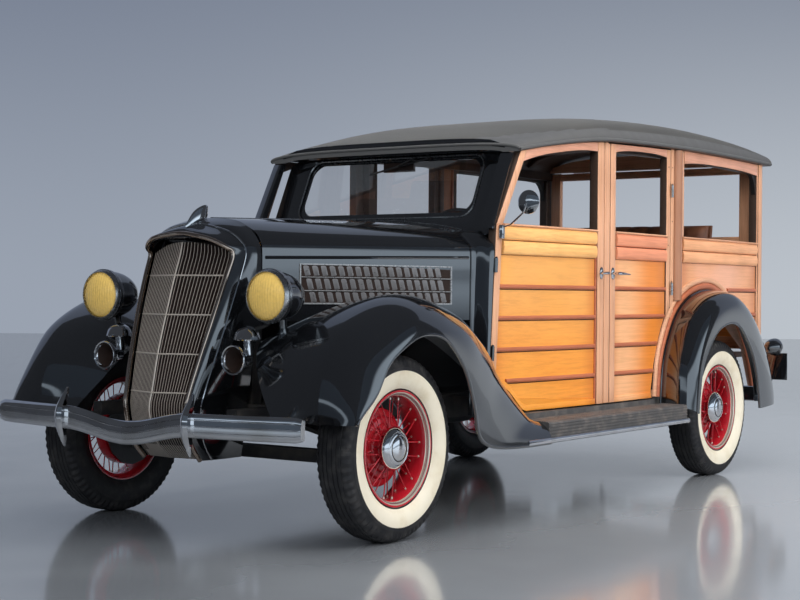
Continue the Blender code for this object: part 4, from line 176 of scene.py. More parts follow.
class WagonColours(bpy.types.PropertyGroup):
    """Colours of the wagon's finishes"""

    enamel: colour_setting("Enamel", "Black enamel of hood, cowl and fenders", (0.0045, 0.0050, 0.0062))
    maple: colour_setting("Maple", "Varnished maple of the frame", (0.66, 0.345, 0.20))
    amber: colour_setting("Amber panels", "Varnished panels between the ribs", (0.83, 0.335, 0.075))
    rib: colour_setting("Ribs", "Half-round ribs across the panels", (0.42, 0.120, 0.050))
    wheel: colour_setting("Wheels", "Red enamel of the wheels", (0.46, 0.012, 0.022))
    whitewall: colour_setting("Whitewall", "Cream sidewall of the tyres", (0.80, 0.74, 0.60))
    leather: colour_setting("Leather", "Seat leather", (0.105, 0.040, 0.020))
    roof_cloth: colour_setting("Roof cloth", "Coated cloth of the roof", (0.027, 0.025, 0.020))
    lens: colour_setting("Lamp lens", "Amber head lamp glass", (0.90, 0.60, 0.16))


class WagonDetails(bpy.types.PropertyGroup):
    """Counts and sizes of the wagon's fine parts"""

    grille_bars: bpy.props.IntProperty(name="Grille bars",
                                       description="Upright bars on each side of the crease", default=15,
                                       min=4, max=30)
    louvre_columns: bpy.props.IntProperty(name="Louvres", description="Louvres along each hood side",
                                          default=17, min=4, max=40)
    spokes: bpy.props.IntProperty(name="Spokes", description="Wire spokes in each wheel", default=32,
                                  min=8, max=60)
    whitewall_radius: bpy.props.FloatProperty(name="Whitewall radius",
                                              description="Outer radius of the cream sidewall",
                                              default=0.2976, min=0.23, max=0.34, subtype="DISTANCE")
    bar_width: bpy.props.FloatProperty(name="Bar width", description="Width of one grille bar",
                                       default=0.0058, min=0.002, max=0.012, subtype="DISTANCE")


SIDES = ((1, "left"), (-1, "right"))
ORIGIN = (0, 0, 0)
ACROSS = (1, 0, 0)
REARWARD = (0, 1, 0)


# Tools for shaping

def axle_y(place):
    return FRONT_AXLE_Y + place


def spaced(first, last, count):
    """Evenly spaced values from first to last."""
    return [first + (last - first) * step / count for step in range(count + 1)]


def follow(table, place):
    """Value of a table of (place, value) at a place, by straight steps."""
    if place <= table[0][0]:
        return table[0][1]
    for (before, low), (after, high) in zip(table, table[1:]):
        if place <= after:
            return low + (high - low) * (place - before) / (after - before)
    return table[-1][1]


def curved(rows, steps):
    """Rows of numbers with more rows between them, on a smooth curve through the given ones."""
    made = []
    for index in range(len(rows) - 1):
        before = rows[max(index - 1, 0)]
        first = rows[index]
        second = rows[index + 1]
        after = rows[min(index + 2, len(rows) - 1)]
        for step in range(steps):
            t = step / steps
            made.append(tuple(
                b + (c - a) * t / 2 + (2 * a - 5 * b + 4 * c - d) * t * t / 2
                + (3 * b - a - 3 * c + d) * t * t * t / 2
                for a, b, c, d in zip(before, first, second, after)))
    made.append(tuple(rows[-1]))
    return made


BODY_CURVE = curved(BODY_PLAN, 6)
ROOF_EDGE_CURVE = curved(ROOF_EDGE, 6)
ROOF_CROWN_CURVE = curved(ROOF_CROWN, 6)
ROOF_PLAN_CURVE = curved(ROOF_PLAN, 6)


def body_x(place):
    share = (place - DOOR_FRONT_Y) / (BODY_REAR_Y - DOOR_FRONT_Y)
    return BODY_HALF_WIDTH * follow(BODY_CURVE, share)


def roof_share(place):
    return (place - ROOF_FRONT_Y) / (ROOF_REAR_Y - ROOF_FRONT_Y)


def roof_edge_z(place):
    return BELT_Z * follow(ROOF_EDGE_CURVE, roof_share(place))


def windshield_y(height):
    return WINDSHIELD_FOOT_Y + (height - WINDSHIELD_FOOT_Z) * WINDSHIELD_RAKE


def door_front_y(height):
    lean = DOOR_FRONT_Y + (min(height, BELT_Z) - SILL_Z) * HINGE_LEAN
    return lean + max(0, height - BELT_Z) * (WINDSHIELD_RAKE + HINGE_LEAN)


def hood_half(place):
    share = max(0, (place - HOOD_FRONT_Y) / (HOOD_REAR_Y - HOOD_FRONT_Y))
    return NOSE_HALF_WIDTH + (COWL_HALF_WIDTH - NOSE_HALF_WIDTH) * share ** 0.92


def hood_ridge(place):
    return HOOD_RIDGE_Z - NOSE_DROP * (1 - (place - HOOD_FRONT_Y) / (HOOD_REAR_Y - HOOD_FRONT_Y))


def steering_line():
    """Centre of the steering wheel and the way its column runs."""
    tilt = math.radians(STEERING_TILT)
    return Vector((STEERING_X, axle_y(STEERING_Y), STEERING_Z)), Vector((0, math.cos(tilt), math.sin(tilt)))


def rest():
    """Object mode with nothing selected."""
    if bpy.context.object and bpy.context.object.mode != "OBJECT":
        bpy.ops.object.mode_set(mode="OBJECT")
    bpy.ops.object.select_all(action="DESELECT")


def take(*things):
    rest()
    for thing in things:
        thing.select_set(True)
    bpy.context.view_layer.objects.active = things[0]


def mended(thing, distance=0.00004, close=False):
    """Doubles merged, holes closed where asked, and the faces turned outwards."""
    take(thing)
    bpy.ops.object.mode_set(mode="EDIT")
    bpy.ops.mesh.select_all(action="SELECT")
    bpy.ops.mesh.remove_doubles(threshold=distance)
    bpy.ops.mesh.delete_loose()
    bpy.ops.mesh.select_all(action="SELECT")
    if close:
        bpy.ops.mesh.fill_holes(sides=0)
        bpy.ops.mesh.select_all(action="SELECT")
    bpy.ops.mesh.normals_make_consistent(inside=False)
    bpy.ops.object.mode_set(mode="OBJECT")
    return thing


def modified(thing, kind, **settings):
    """One modifier with its settings, applied."""
    take(thing)
    made = thing.modifiers.new(kind.title(), kind)
    for key, value in settings.items():
        setattr(made, key, value)
    bpy.ops.object.modifier_apply(modifier=made.name)
    return thing


def skin(name, rows):
    """A grid whose rows of points are the given ones."""
    rest()
    bpy.ops.mesh.primitive_grid_add(x_subdivisions=len(rows[0]) - 1, y_subdivisions=len(rows) - 1, size=1)
    thing = bpy.context.object
    thing.name = name
    flat = [value for row in rows for point in row for value in point]
    thing.data.vertices.foreach_set("co", flat)
    thing.data.update()
    return thing


def lofted(name, rings):
    """A closed body through rings of equally many points."""
    return mended(skin(name, [list(ring) + [ring[0]] for ring in rings]), close=True)


def tore(name, rings):
    """A body through rings that come round to the first one again."""
    rows = [list(ring) + [ring[0]] for ring in rings]
    return mended(skin(name, rows + [rows[0]]))


def turned(name, profile, centre, axis, steps=48):
    """A profile of (reach along the axis, radius) spun about it; radius 0 is a pole."""
    along = Vector(axis).normalized()
    side = along.orthogonal().normalized()
    middle = Vector(centre)
    rest()
    bpy.ops.mesh.primitive_circle_add(vertices=len(profile), radius=0.1, fill_type="NOTHING")
    thing = bpy.context.object
    thing.name = name
    for point, (reach, radius) in zip(thing.data.vertices, profile):
        point.co = middle + along * reach + side * radius
    bpy.ops.object.mode_set(mode="EDIT")
    bpy.ops.mesh.select_all(action="SELECT")
    bpy.ops.mesh.spin(steps=steps, angle=2 * math.pi, center=middle, axis=along)
    bpy.ops.object.mode_set(mode="OBJECT")
    return mended(thing)


def tube(name, route, radius, sides=10, taper=None):
    """A round tube along a route; taper gives the radius's share at each point."""
    points = [Vector(point) for point in route]
    rings = []
    side = None
    for index, point in enumerate(points):
        ahead = points[min(index + 1, len(points) - 1)] - points[max(index - 1, 0)]
        ahead.normalize()
        if side is None:
            side = ahead.orthogonal().normalized()
        side = (side - ahead * side.dot(ahead)).normalized()
        up = ahead.cross(side)
        size = radius * (taper[index] if taper else 1)
        rings.append([point + (side * math.cos(2 * math.pi * step / sides)
                               + up * math.sin(2 * math.pi * step / sides)) * size
                      for step in range(sides)])
    return lofted(name, rings)


def copied(thing, name, matrix):
    """A copy with its own mesh, moved by the matrix."""
    twin = bpy.data.objects.new(name, thing.data.copy())
    bpy.context.scene.collection.objects.link(twin)
    twin.data.transform(matrix)
    if matrix.determinant() < 0:
        twin.data.flip_normals()
    return twin


def mirrored(thing, name):
    return copied(thing, name, Matrix.Diagonal((-1, 1, 1, 1)))


def joined(name, things):
    take(*things)
    if len(things) > 1:
        bpy.ops.object.join()
    things[0].name = name
    return things[0]


def settle(thing, name, body, paint, angle=35, replaces=()):
    """The finished piece: named, smoothed, given its finish, riding on its body."""
    thing.name = thing.data.name = name
    if paint:
        thing.data.materials.clear()
        painted(thing, paint)
    take(thing)
    if angle:
        bpy.ops.object.shade_smooth_by_angle(angle=math.radians(angle))
    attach(thing, body)
    if replaces:
        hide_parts(*replaces)
    return thing


def settle_pair(thing, name, body, paint, angle=35, replaces=""):
    """Settles a left piece and its mirror; a body or node name ending in _ gets the side's word."""
    twin = mirrored(thing, name + "_twin")
    for made, word in ((twin, "right"), (thing, "left")):
        ridden = body + word if body.endswith("_") else body
        settle(made, name + "_" + word, ridden, paint, angle, (replaces + word,) if replaces else ())


def soften(thing, width, segments=3, angle=35):
    return modified(thing, "BEVEL", width=width, segments=segments, limit_method="ANGLE",
                    angle_limit=math.radians(angle), use_clamp_overlap=True)


# Shader maths

class Wire:
    """A shader socket on which Python's operators add Math nodes."""

    def __init__(self, paint, socket):
        self.paint = paint
        self.socket = socket

    def math(self, operation, other=None, third=None, clamp=False):
        inputs = {0: self}
        if other is not None:
            inputs[1] = other
        if third is not None:
            inputs[2] = third
        return self.paint.node("ShaderNodeMath", {"operation": operation, "use_clamp": clamp}, inputs)

    def __add__(self, other):
        return self.math("ADD", other)

    __radd__ = __add__

    def __mul__(self, other):
        return self.math("MULTIPLY", other)

    __rmul__ = __mul__

    def __sub__(self, other):
        return self.math("SUBTRACT", other)

    def __rsub__(self, other):
        return self.paint.node("ShaderNodeMath", {"operation": "SUBTRACT"}, {0: other, 1: self})

    def __truediv__(self, other):
        return self.math("DIVIDE", other)

    def __pow__(self, other):
        return self.math("POWER", other)

    def clamped(self):
        return self.math("ADD", 0.0, clamp=True)

    def above(self, low, high):
        """0 below low, 1 above high, smooth between."""
        return self.paint.node("ShaderNodeMapRange", {"interpolation_type": "SMOOTHSTEP"},
                               {"Value": self, "From Min": low, "From Max": high, "To Min": 0.0,
                                "To Max": 1.0})


class Paint:
    """A material with one Principled shader and helpers that add nodes to it."""

    def __init__(self, name, colour, roughness, metallic=0.0, **fixed):
        self.made = bpy.data.materials.new(name)
        self.made.use_nodes = True
        self.tree = self.made.node_tree
        self.shader = self.tree.nodes["Principled BSDF"]
        self.shader.inputs["Base Color"].default_value = (*colour, 1.0)
        self.shader.inputs["Roughness"].default_value = roughness
        self.shader.inputs["Metallic"].default_value = metallic
        for key, value in fixed.items():
            self.shader.inputs[key.replace("_", " ")].default_value = value
        self.made.diffuse_color = (*colour, 1.0)
        self.coords = self.node("ShaderNodeTexCoord", output="Object")

    def node(self, kind, settings=None, inputs=None, output=0):
        made = self.tree.nodes.new(kind)
        for key, value in (settings or {}).items():
            if key == "stops":
                ramp = made.color_ramp
                while len(ramp.elements) < len(value):
                    ramp.elements.new(0.5)
                for element, (place, colour) in zip(ramp.elements, value):
                    element.position = place
                    element.color = (*colour, 1.0) if len(colour) == 3 else colour
            else:
                setattr(made, key, value)
        for key, value in (inputs or {}).items():
            if isinstance(value, Wire):
                self.tree.links.new(value.socket, made.inputs[key])
            else:
                made.inputs[key].default_value = value
        return Wire(self, made.outputs[output])

    def axis(self, name):
        return self.node("ShaderNodeSeparateXYZ", {}, {0: self.coords}, output=name)

    def scaled(self, size, turn=(0, 0, 0)):
        return self.node("ShaderNodeMapping", {}, {"Vector": self.coords, "Scale": size, "Rotation": turn})

    def noise(self, scale, detail=3.0, roughness=0.55, vector=None, distortion=0.0):
        return self.node("ShaderNodeTexNoise", {}, {"Vector": vector or self.coords, "Scale": scale,
                                                    "Detail": detail, "Roughness": roughness,
                                                    "Distortion": distortion})

    def mix(self, share, first, second, blend="MIX"):
        made = self.tree.nodes.new("ShaderNodeMix")
        made.data_type = "RGBA"
        made.blend_type = blend
        for index, value in ((0, share), (6, first), (7, second)):
            if isinstance(value, Wire):
                self.tree.links.new(value.socket, made.inputs[index])
            else:
                made.inputs[index].default_value = (*value, 1.0) if index and len(value) == 3 else value
        return Wire(self, made.outputs[2])

    def to(self, socket, wire):
        self.tree.links.new(wire.socket, self.shader.inputs[socket])
        return self

    def rough(self, wire, spread, least):
        """Roughness from least upwards, spread by a pattern."""
        return self.to("Roughness", (wire * spread + least).clamped())

    def kept(self, name):
        FINISHES[name] = self.made

    def bump(self, height, strength=0.2, distance=0.001):
        made = self.node("ShaderNodeBump", {}, {"Height": height, "Strength": strength,
                                                "Distance": distance})
        return self.to("Normal", made)


FINISHES = {}


def finish(name):
    return FINISHES[name]


def painted(thing, *names):
    for name in names:
        thing.data.materials.append(finish(name))
    return thing


def shifted(colour, *weights, plus=0.0):
    """A colour with its channels scaled by one weight or by three."""
    if len(weights) == 1:
        weights *= 3
    return tuple(min(1.0, channel * weight + plus) for channel, weight in zip(colour, weights))


def wood(name, colour, along, darker=0.45, edges=None, gloss=0.30, drift=None):
    """Varnished wood with its grain along one axis.

    edges are the first and last y, where a panel darkens.
    drift is the axis, low end, high end and colour of a slow change.
    """
    paint = Paint(name, colour, gloss, Coat_Weight=0.22, Coat_Roughness=0.12)
    squeeze = {"x": (0.03, 1, 1), "y": (1, 0.03, 1), "z": (1, 1, 0.03)}[along]
    streaks = paint.noise(95.0, 4.0, 0.6, paint.scaled(squeeze), 0.5)
    fine = paint.noise(420.0, 2.0, 0.5, paint.scaled(squeeze))
    cloud = paint.noise(3.6, 2.0, 0.5)
    shade = (streaks.above(0.35, 0.72) * 0.30 + fine.above(0.40, 0.70) * 0.10 + cloud.above(0.35, 0.75)
             * 0.22).clamped()
    dark = shifted(colour, darker, darker * 0.82, darker * 0.62)
    light = shifted(colour, 1.14, plus=0.015)
    tone = paint.mix(shade, light, dark)
    if drift:
        axis, low, high, other = drift
        tone = paint.mix(paint.axis(axis).above(low, high) * 0.85, tone,
                         paint.mix(shade, other, shifted(other, 0.7)))
    if edges:
        place = paint.axis("Y")
        near = (1 - place.above(edges[0], edges[0] + 0.10)) + place.above(edges[1] - 0.13, edges[1])
        ruddy = shifted(colour, 0.66, 0.42, 0.30)
        patch = paint.noise(2.1, 1.0, 0.4).above(0.45, 0.62)
        glow = shifted(colour, 1.16, 1.45, 2.4)
        tone = paint.mix((patch * 0.35).clamped(), tone, glow)
        tone = paint.mix((near * 0.55).clamped(), tone, ruddy)
    paint.to("Base Color", tone)
    paint.to("Roughness", (streaks * 0.12 + (gloss - 0.04)).clamped())
    paint.bump(streaks + fine * 0.5, 0.05, 0.0006)
    FINISHES[name] = paint.made


# Finish, material name, colour, roughness, metallic, noise scale, spread, least roughness and other constants
PLAIN_FINISHES = (
    # Near-black for screws, mirror back, hub-cap ring and horn throats; also painted shade under ribs,
    # louvres and grille
    ("seam", "dark_and_shade_black", (0.020, 0.011, 0.008), 0.7, 0.0, 90.0, 0.2, 0.6, {}),
    ("rim_ring", "rim_ring", (0.78, 0.72, 0.60), 0.22, 0.6, 40.0, 0.15, 0.15, {}),
    ("rim_channel", "rim_channel", (0.16, 0.07, 0.075), 0.35, 0.3, 40.0, 0.2, 0.25, {}),
    ("grille_steel", "grille_steel", (0.56, 0.50, 0.44), 0.30, 0.45, 50.0, 0.10, 0.26, {}),
    ("warm_chrome", "warm_chrome", (0.66, 0.52, 0.42), 0.10, 1.0, 40.0, 0.10, 0.06, {}),
    ("louvre_edging", "louvre_edging", (0.30, 0.31, 0.32), 0.28, 0.5, 60.0, 0.12, 0.22, {}),
    ("louvre", "louvre_grey", (0.25, 0.25, 0.26), 0.30, 0.3, 70.0, 0.15, 0.22,
     {"Coat_Weight": 0.3, "Coat_Roughness": 0.1}),
    ("glass", "clear_glass", (0.92, 0.95, 0.95), 0.02, 0.0, 20.0, 0.02, 0.01,
     {"Transmission_Weight": 1.0, "IOR": 1.45, "Alpha": 0.13}),
    ("mirror", "mirror_glass", (0.62, 0.64, 0.66), 0.03, 1.0, 30.0, 0.05, 0.01, {}),
)


def make_finishes(colours):
    """Every finish of the wagon, kept by name."""
    for key, name, colour, roughness, metallic, scale, spread, least, constants in PLAIN_FINISHES:
        plain = Paint(name, colour, roughness, metallic, **constants)
        plain.rough(plain.noise(scale), spread, least)
        plain.kept(key)
    enamel = Paint("black_enamel", tuple(colours.enamel), 0.12, 0.0, IOR=1.9, Coat_Weight=1.0,
                   Coat_Roughness=0.02, Coat_IOR=1.9)
    ripple = enamel.noise(5.0, 2.0, 0.5)
    dust = enamel.noise(160.0, 4.0, 0.6)
    enamel.rough(dust, 0.05, 0.07)
    enamel.bump(ripple, 0.010, 0.02)
    enamel.kept("enamel")

    wood("maple_upright", tuple(colours.maple), "z")
    wood("maple_level", tuple(colours.maple), "y")
    wood("maple_across", tuple(colours.maple), "x")
    wood("header_wood", shifted(colours.maple, 0.98, 0.92, 1.05), "y")
    amber = tuple(colours.amber)
    rib = tuple(colours.rib)

    wood("plank_front", shifted(amber, 1.12, 1.40, 2.1), "y", 0.5)
    wood("plank_rear", shifted(amber, 0.86, 0.80, 1.9), "y", 0.5)
    wood("plank_quarter", shifted(amber, 0.97, 1.18, 2.6), "y", 0.5)
    wood("rib_wood", rib, "y", 0.5)
    wood("rib_across", rib, "x", 0.5)
    wood("post_wood", shifted(colours.maple, 0.50, 0.42, 0.36), "z", 0.6, None, 0.2)
    # Painted shade: near-black wood for inside faces, ceiling, bows and inner posts, which lie in shade.
    wood("inner_wood", (0.050, 0.028, 0.018), "y", 0.6, None, 0.5)
    wood("panel_front", shifted(amber, 0.98, 0.86, 0.35), "y", 0.62, (axle_y(0.83), axle_y(1.665)), 0.3,
         ("Z", 0.50, 1.08, shifted(amber, 1.05, 1.28, 1.7)))
    wood("panel_rear", shifted(amber, 0.98, 1.25, 2.6), "y", 0.62, (axle_y(1.82), axle_y(2.40)), 0.3,
         ("Y", axle_y(1.95), axle_y(2.25), shifted(amber, 0.96, 0.66, 0.10)))
    wood("panel_quarter", shifted(amber, 0.90, 1.05, 2.3), "y", 0.62, (axle_y(2.60), axle_y(3.58)))
    wood("panel_gate", tuple(colours.amber), "x", 0.60)
    wood("floor_wood", (0.30, 0.15, 0.07), "y", 0.5, None, 0.5)

    cloth = Paint("roof_cloth", tuple(colours.roof_cloth), 0.62, 0.0, Sheen_Weight=0.15)
    weave = cloth.node("ShaderNodeTexVoronoi", {}, {"Vector": cloth.coords, "Scale": 650.0})
    worn = cloth.noise(2.2, 3.0, 0.6)
    base = tuple(colours.roof_cloth)
    cloth.to("Base Color", cloth.mix(worn.above(0.35, 0.75), shifted(base, 0.75),
                                     shifted(base, 1.4, plus=0.006)))
    cloth.rough(worn, 0.2, 0.45)
    cloth.bump(weave, 0.25, 0.0006)
    cloth.kept("roof_cloth")
    drip = Paint("drip_cloth", (0.095, 0.095, 0.095), 0.45)
    drip.bump(drip.noise(300.0), 0.15, 0.0005)
    drip.rough(drip.noise(14.0), 0.2, 0.35)
    drip.kept("drip")

    rubber = Paint("tyre_rubber", (0.018, 0.018, 0.020), 0.62)
    grime = rubber.noise(24.0, 4.0, 0.6)
    rubber.to("Base Color", rubber.mix(grime.above(0.4, 0.8), (0.013, 0.013, 0.015), (0.045, 0.043, 0.042)))
    rubber.rough(grime, 0.25, 0.45)
    rubber.bump(rubber.noise(500.0, 2.0), 0.1, 0.0004)
    rubber.kept("rubber")
    wall = Paint("whitewall", tuple(colours.whitewall), 0.50)
    smudge = wall.noise(9.0, 4.0, 0.6)
    cream = tuple(colours.whitewall)
    wall.to("Base Color", wall.mix(smudge.above(0.42, 0.8), cream, shifted(cream, 0.86, 0.82, 0.74)))
    wall.rough(smudge, 0.2, 0.40)
    wall.bump(wall.noise(260.0, 2.0), 0.06, 0.0004)
    wall.kept("whitewall")

    red = Paint("red_enamel", tuple(colours.wheel), 0.20, 0.0, Coat_Weight=0.6, Coat_Roughness=0.05)
    tint = red.noise(11.0, 3.0, 0.5)
    tone = tuple(colours.wheel)
    red.to("Base Color", red.mix(tint.above(0.35, 0.75), tone, shifted(tone, 0.72)))
    red.rough(tint, 0.14, 0.14)
    red.kept("red")

    chrome = Paint("chrome", (0.80, 0.80, 0.81), 0.07, 1.0)
    haze = chrome.noise(30.0, 3.0, 0.6)
    chrome.to("Roughness", (haze.above(0.45, 0.8) * 0.09 + 0.04).clamped())
    chrome.to("Base Color", chrome.mix(chrome.noise(7.0).above(0.4, 0.7), (0.82, 0.82, 0.83),
                                       (0.70, 0.69, 0.68)))
    chrome.kept("chrome")
    satin = Paint("satin_steel", (0.60, 0.59, 0.58), 0.30, 1.0)
    brushed = satin.noise(90.0, 3.0, 0.6)
    satin.rough(brushed, 0.2, 0.18)
    satin.to("Base Color", satin.mix(brushed.above(0.4, 0.7), (0.66, 0.65, 0.64), (0.48, 0.47, 0.46)))
    satin.kept("satin")

    lens = Paint("amber_lens", tuple(colours.lens), 0.12, 0.0, Coat_Weight=0.5, Coat_Roughness=0.03)
    across = lens.axis("X")
    flute = (across * 520.0).math("SINE")
    pattern = lens.node("ShaderNodeTexVoronoi", {}, {"Vector": lens.coords, "Scale": 90.0})
    gold = tuple(colours.lens)
    lens.to("Base Color", lens.mix((pattern * 0.5).clamped(), shifted(gold, 1.1), shifted(gold, 0.75)))
    lens.bump(flute + pattern * 1.2, 0.35, 0.0016)
    lens.kept("lens")
    ruby = Paint("ruby_lens", (0.30, 0.006, 0.008), 0.12, 0.0, Coat_Weight=0.6)
    ruby.bump(ruby.node("ShaderNodeTexVoronoi", {}, {"Vector": ruby.coords, "Scale": 160.0}), 0.3, 0.001)
    ruby.kept("ruby")

    hide = Paint("seat_leather", tuple(colours.leather), 0.42, 0.0, Coat_Weight=0.1)
    pores = hide.node("ShaderNodeTexVoronoi", {}, {"Vector": hide.coords, "Scale": 340.0})
    wear = hide.noise(5.0, 4.0, 0.6)
    brown = tuple(colours.leather)
    hide.to("Base Color", hide.mix(wear.above(0.4, 0.75), brown, shifted(brown, 1.9, plus=0.01)))
    hide.rough(wear, 0.2, 0.32)
    hide.bump(pores + wear, 0.22, 0.0008)
    hide.kept("leather")

    board = Paint("ribbed_rubber", (0.085, 0.080, 0.078), 0.55)
    scuff = board.noise(18.0, 4.0, 0.6)
    board.to("Base Color", board.mix(scuff.above(0.4, 0.75), (0.070, 0.068, 0.068), (0.15, 0.135, 0.125)))
    board.rough(scuff, 0.25, 0.35)
    board.kept("board")
    chassis = Paint("chassis_black", (0.016, 0.016, 0.017), 0.50)
    dirt = chassis.noise(14.0, 4.0, 0.6)
    chassis.to("Base Color", chassis.mix(dirt.above(0.4, 0.8), (0.012, 0.012, 0.013),
                                         (0.050, 0.044, 0.038)))
    chassis.rough(dirt, 0.3, 0.35)
    chassis.bump(dirt, 0.1, 0.001)
    chassis.kept("chassis")
    iron = Paint("cast_iron", (0.10, 0.10, 0.105), 0.55, 0.7)
    cast = iron.noise(120.0, 4.0, 0.6)
    iron.rough(cast, 0.3, 0.40)
    iron.bump(cast, 0.3, 0.0008)
    iron.kept("iron")


def carry_over():
    """Gives every solid that stays in view its finish."""
    kept = {"chassis_frame": "chassis", "engine_block": "iron", "radiator": "chassis",
            "fuel_tank": "chassis", "exhaust": "iron", "front_axle": "chassis", "rear_axle": "chassis",
            "knuckle_left": "iron", "knuckle_right": "iron", "floor": "floor_wood",
            "windshield_glass": "glass"}
    for node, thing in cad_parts.items():
        for slot in thing.material_slots:
            slot.material = finish(kept.get(node, "chassis"))


# Wheels and tyres

def wheel_frame(out):
    """Turns wheel shapes made about X to the given axle direction."""
    return Vector((1, 0, 0)).rotation_difference(Vector(out)).to_matrix().to_4x4()


def make_tyre(name, details):
    """Tyre about the X axis, outer face towards +X, with ribbed shoulders and a cream sidewall."""
    seat, half = TYRE_SEAT_RADIUS, TYRE_HALF_WIDTH
    side = [(0.640, 0.000), (0.665, 0.060), (0.700, 0.088), (0.760, 0.130), (0.850, 0.200),
            (0.930, 0.290), (0.980, 0.400), (1.0, 0.500), (0.995, 0.600), (0.972, 0.690), (0.962, 0.694),
            (0.950, 0.740), (0.905, 0.830), (0.850, 0.893), (0.760, 0.940)]
    tread = [(0.700, 0.965), (0.640, 0.975), (0.620, 0.955), (0.590, 0.955), (0.570, 0.985),
             (0.420, 0.993), (0.400, 0.970), (0.370, 0.970), (0.350, 0.996), (0.180, 1.0), (0.160, 0.975),
             (0.130, 0.975), (0.110, 1.0), (0.0, 1.0)]
    profile = [(half * a, seat + (TYRE_RADIUS - seat) * b) for a, b in side + tread]
    profile += [(-a, b) for a, b in reversed(profile[:-1])]
    steps = 144
    thing = turned(name, profile, ORIGIN, ACROSS, steps)
    for point in thing.data.vertices:
        radius = math.hypot(point.co.y, point.co.z)
        turn = round(math.atan2(point.co.z, point.co.y) / (2 * math.pi) * steps)
        reach = abs(point.co.x) / half
        if turn % 2 and radius > 0.307 and reach > 0.6:
            scale = 1 - 0.0030 / radius
            point.co.y *= scale
            point.co.z *= scale
            point.co.x -= math.copysign(0.0028, point.co.x)
        if turn % 4 == 1 and radius > 0.345 and reach < 0.6:
            scale = 1 - 0.0022 / radius
            point.co.y *= scale
            point.co.z *= scale
    painted(thing, "rubber", "whitewall")
    for face in thing.data.polygons:
        radius = math.hypot(face.center.y, face.center.z)
        if face.center.x > 0 and 0.2225 < radius < details.whitewall_radius:
            face.material_index = 1
    return thing


def make_wheel(name, details, drum=True):
    """Wire wheel about the X axis: stepped rim, crossed spokes, drum and hub cap."""
    inner = [(-0.060, 0.2183), (-0.0585, 0.2183), (-0.054, 0.2090), (-0.036, 0.2060), (-0.030, 0.1990),
             (-0.012, 0.1960), (0.012, 0.1960), (0.030, 0.1990), (0.036, 0.2040), (0.050, 0.2060),
             (0.054, 0.2110), (0.0565, 0.2183), (0.0600, 0.2183)]
    outer = [(0.0615, 0.2160), (0.0610, 0.2105), (0.0585, 0.2075), (0.0560, 0.2060), (0.0545, 0.2015),
             (0.0515, 0.2005), (0.0480, 0.2015), (0.0460, 0.1985), (0.0425, 0.1950), (0.0340, 0.1930),
             (0.0270, 0.1905), (0.0120, 0.1885), (-0.0120, 0.1885), (-0.0340, 0.1910), (-0.0540, 0.1990),
             (-0.0600, 0.2080)]
    rim = turned(name + "_rim", inner + outer, ORIGIN, ACROSS, 96)
    painted(rim, "red", "rim_ring", "rim_channel")
    for face in rim.data.polygons:
        radius = math.hypot(face.center.y, face.center.z)
        if face.center.x > 0.045 and radius < 0.2165:
            if 0.2052 < radius < 0.2095 or 0.1990 < radius < 0.2022:
                face.material_index = 1
            elif 0.2022 <= radius <= 0.2052:
                face.material_index = 2
    cap = [(0.0700, 0.0), (0.0695, 0.020), (0.0675, 0.034), (0.0640, 0.046), (0.0625, 0.0475),
           (0.0632, 0.0500), (0.0600, 0.0600), (0.0585, 0.0615), (0.0592, 0.0640), (0.0530, 0.0740),
           (0.0450, 0.0805), (0.0400, 0.0820), (0.0360, 0.0800), (0.0360, 0.0560), (0.0, 0.0)]
    cap = turned(name + "_cap", cap, ORIGIN, ACROSS, 64)
    painted(cap, "chrome")
    barrel = [(0.0400, 0.0), (0.0400, 0.062), (0.0360, 0.0720), (0.0310, 0.0740), (0.0270, 0.0680),
              (0.0200, 0.0600), (0.0140, 0.0585)]
    if drum:
        barrel += [(0.0090, 0.0620), (0.0060, 0.0860), (0.0020, 0.0910), (-0.0060, 0.0940),
                   (-0.0090, 0.1130), (-0.0140, 0.1180), (-0.0220, 0.1200), (-0.0260, 0.1380),
                   (-0.0320, 0.1480), (-0.0400, 0.1500), (-0.0890, 0.1500), (-0.0890, 0.0)]
    else:
        barrel += [(-0.0200, 0.0585), (-0.0290, 0.0500), (-0.0290, 0.0)]
    hub = turned(name + "_hub", barrel, ORIGIN, ACROSS, 64)
    painted(hub, "red")
    things = [rim, cap, hub]
    wire = tube(name + "_wire", [(0, 0, 0), (0, 0, 0.45), (0, 0, 1)], 0.0024, 6)
    count = details.spokes
    for number in range(count):
        group = number % 4
        angle = 2 * math.pi * (number + (0.22 if number % 2 else -0.22)) / count
        lean = math.radians(17 if number % 2 else -17)
        hub_reach = 0.0290 if group < 2 else 0.0150
        start = Vector((hub_reach, math.sin(angle + lean) * 0.060, math.cos(angle + lean) * 0.060))
        end = Vector((0.0240 if group < 2 else -0.0120, math.sin(angle) * 0.1925, math.cos(angle) * 0.1925))
        along = end - start
        turn = along.to_track_quat("Z", "Y").to_matrix().to_4x4()
        matrix = Matrix.Translation(start) @ turn @ Matrix.Diagonal((1, 1, along.length, 1))
        things.append(copied(wire, "%s_wire_%d" % (name, number), matrix))
        painted(things[-1], "red")
        nipple = end - along.normalized() * 0.010
        matrix = Matrix.Translation(nipple) @ turn @ Matrix.Diagonal((1.7, 1.7, 0.012, 1))
        things.append(copied(wire, "%s_nipple_%d" % (name, number), matrix))
        painted(things[-1], "rim_ring")
    bpy.data.objects.remove(wire)
    for number in range(5):
        angle = 2 * math.pi * (number + 0.5) / 5
        spot = Vector((0.0075, math.sin(angle) * 0.0745, math.cos(angle) * 0.0745))
        if drum:
            bolt = turned("%s_bolt_%d" % (name, number), [(0, 0), (0, 0.0075), (0.007, 0.0075),
                                                          (0.009, 0.005), (0.009, 0)],
                          spot - Vector((0.004, 0, 0)), (1, 0, 0), 6)
            painted(bolt, "red")
            things.append(bolt)
    ring = turned(name + "_ring", [(0.0645, 0.046), (0.0650, 0.0478), (0.0632, 0.0478), (0.0625, 0.046)],
                  ORIGIN, ACROSS, 48)
    painted(ring, "seam")
    things.append(ring)
    return joined(name, things)


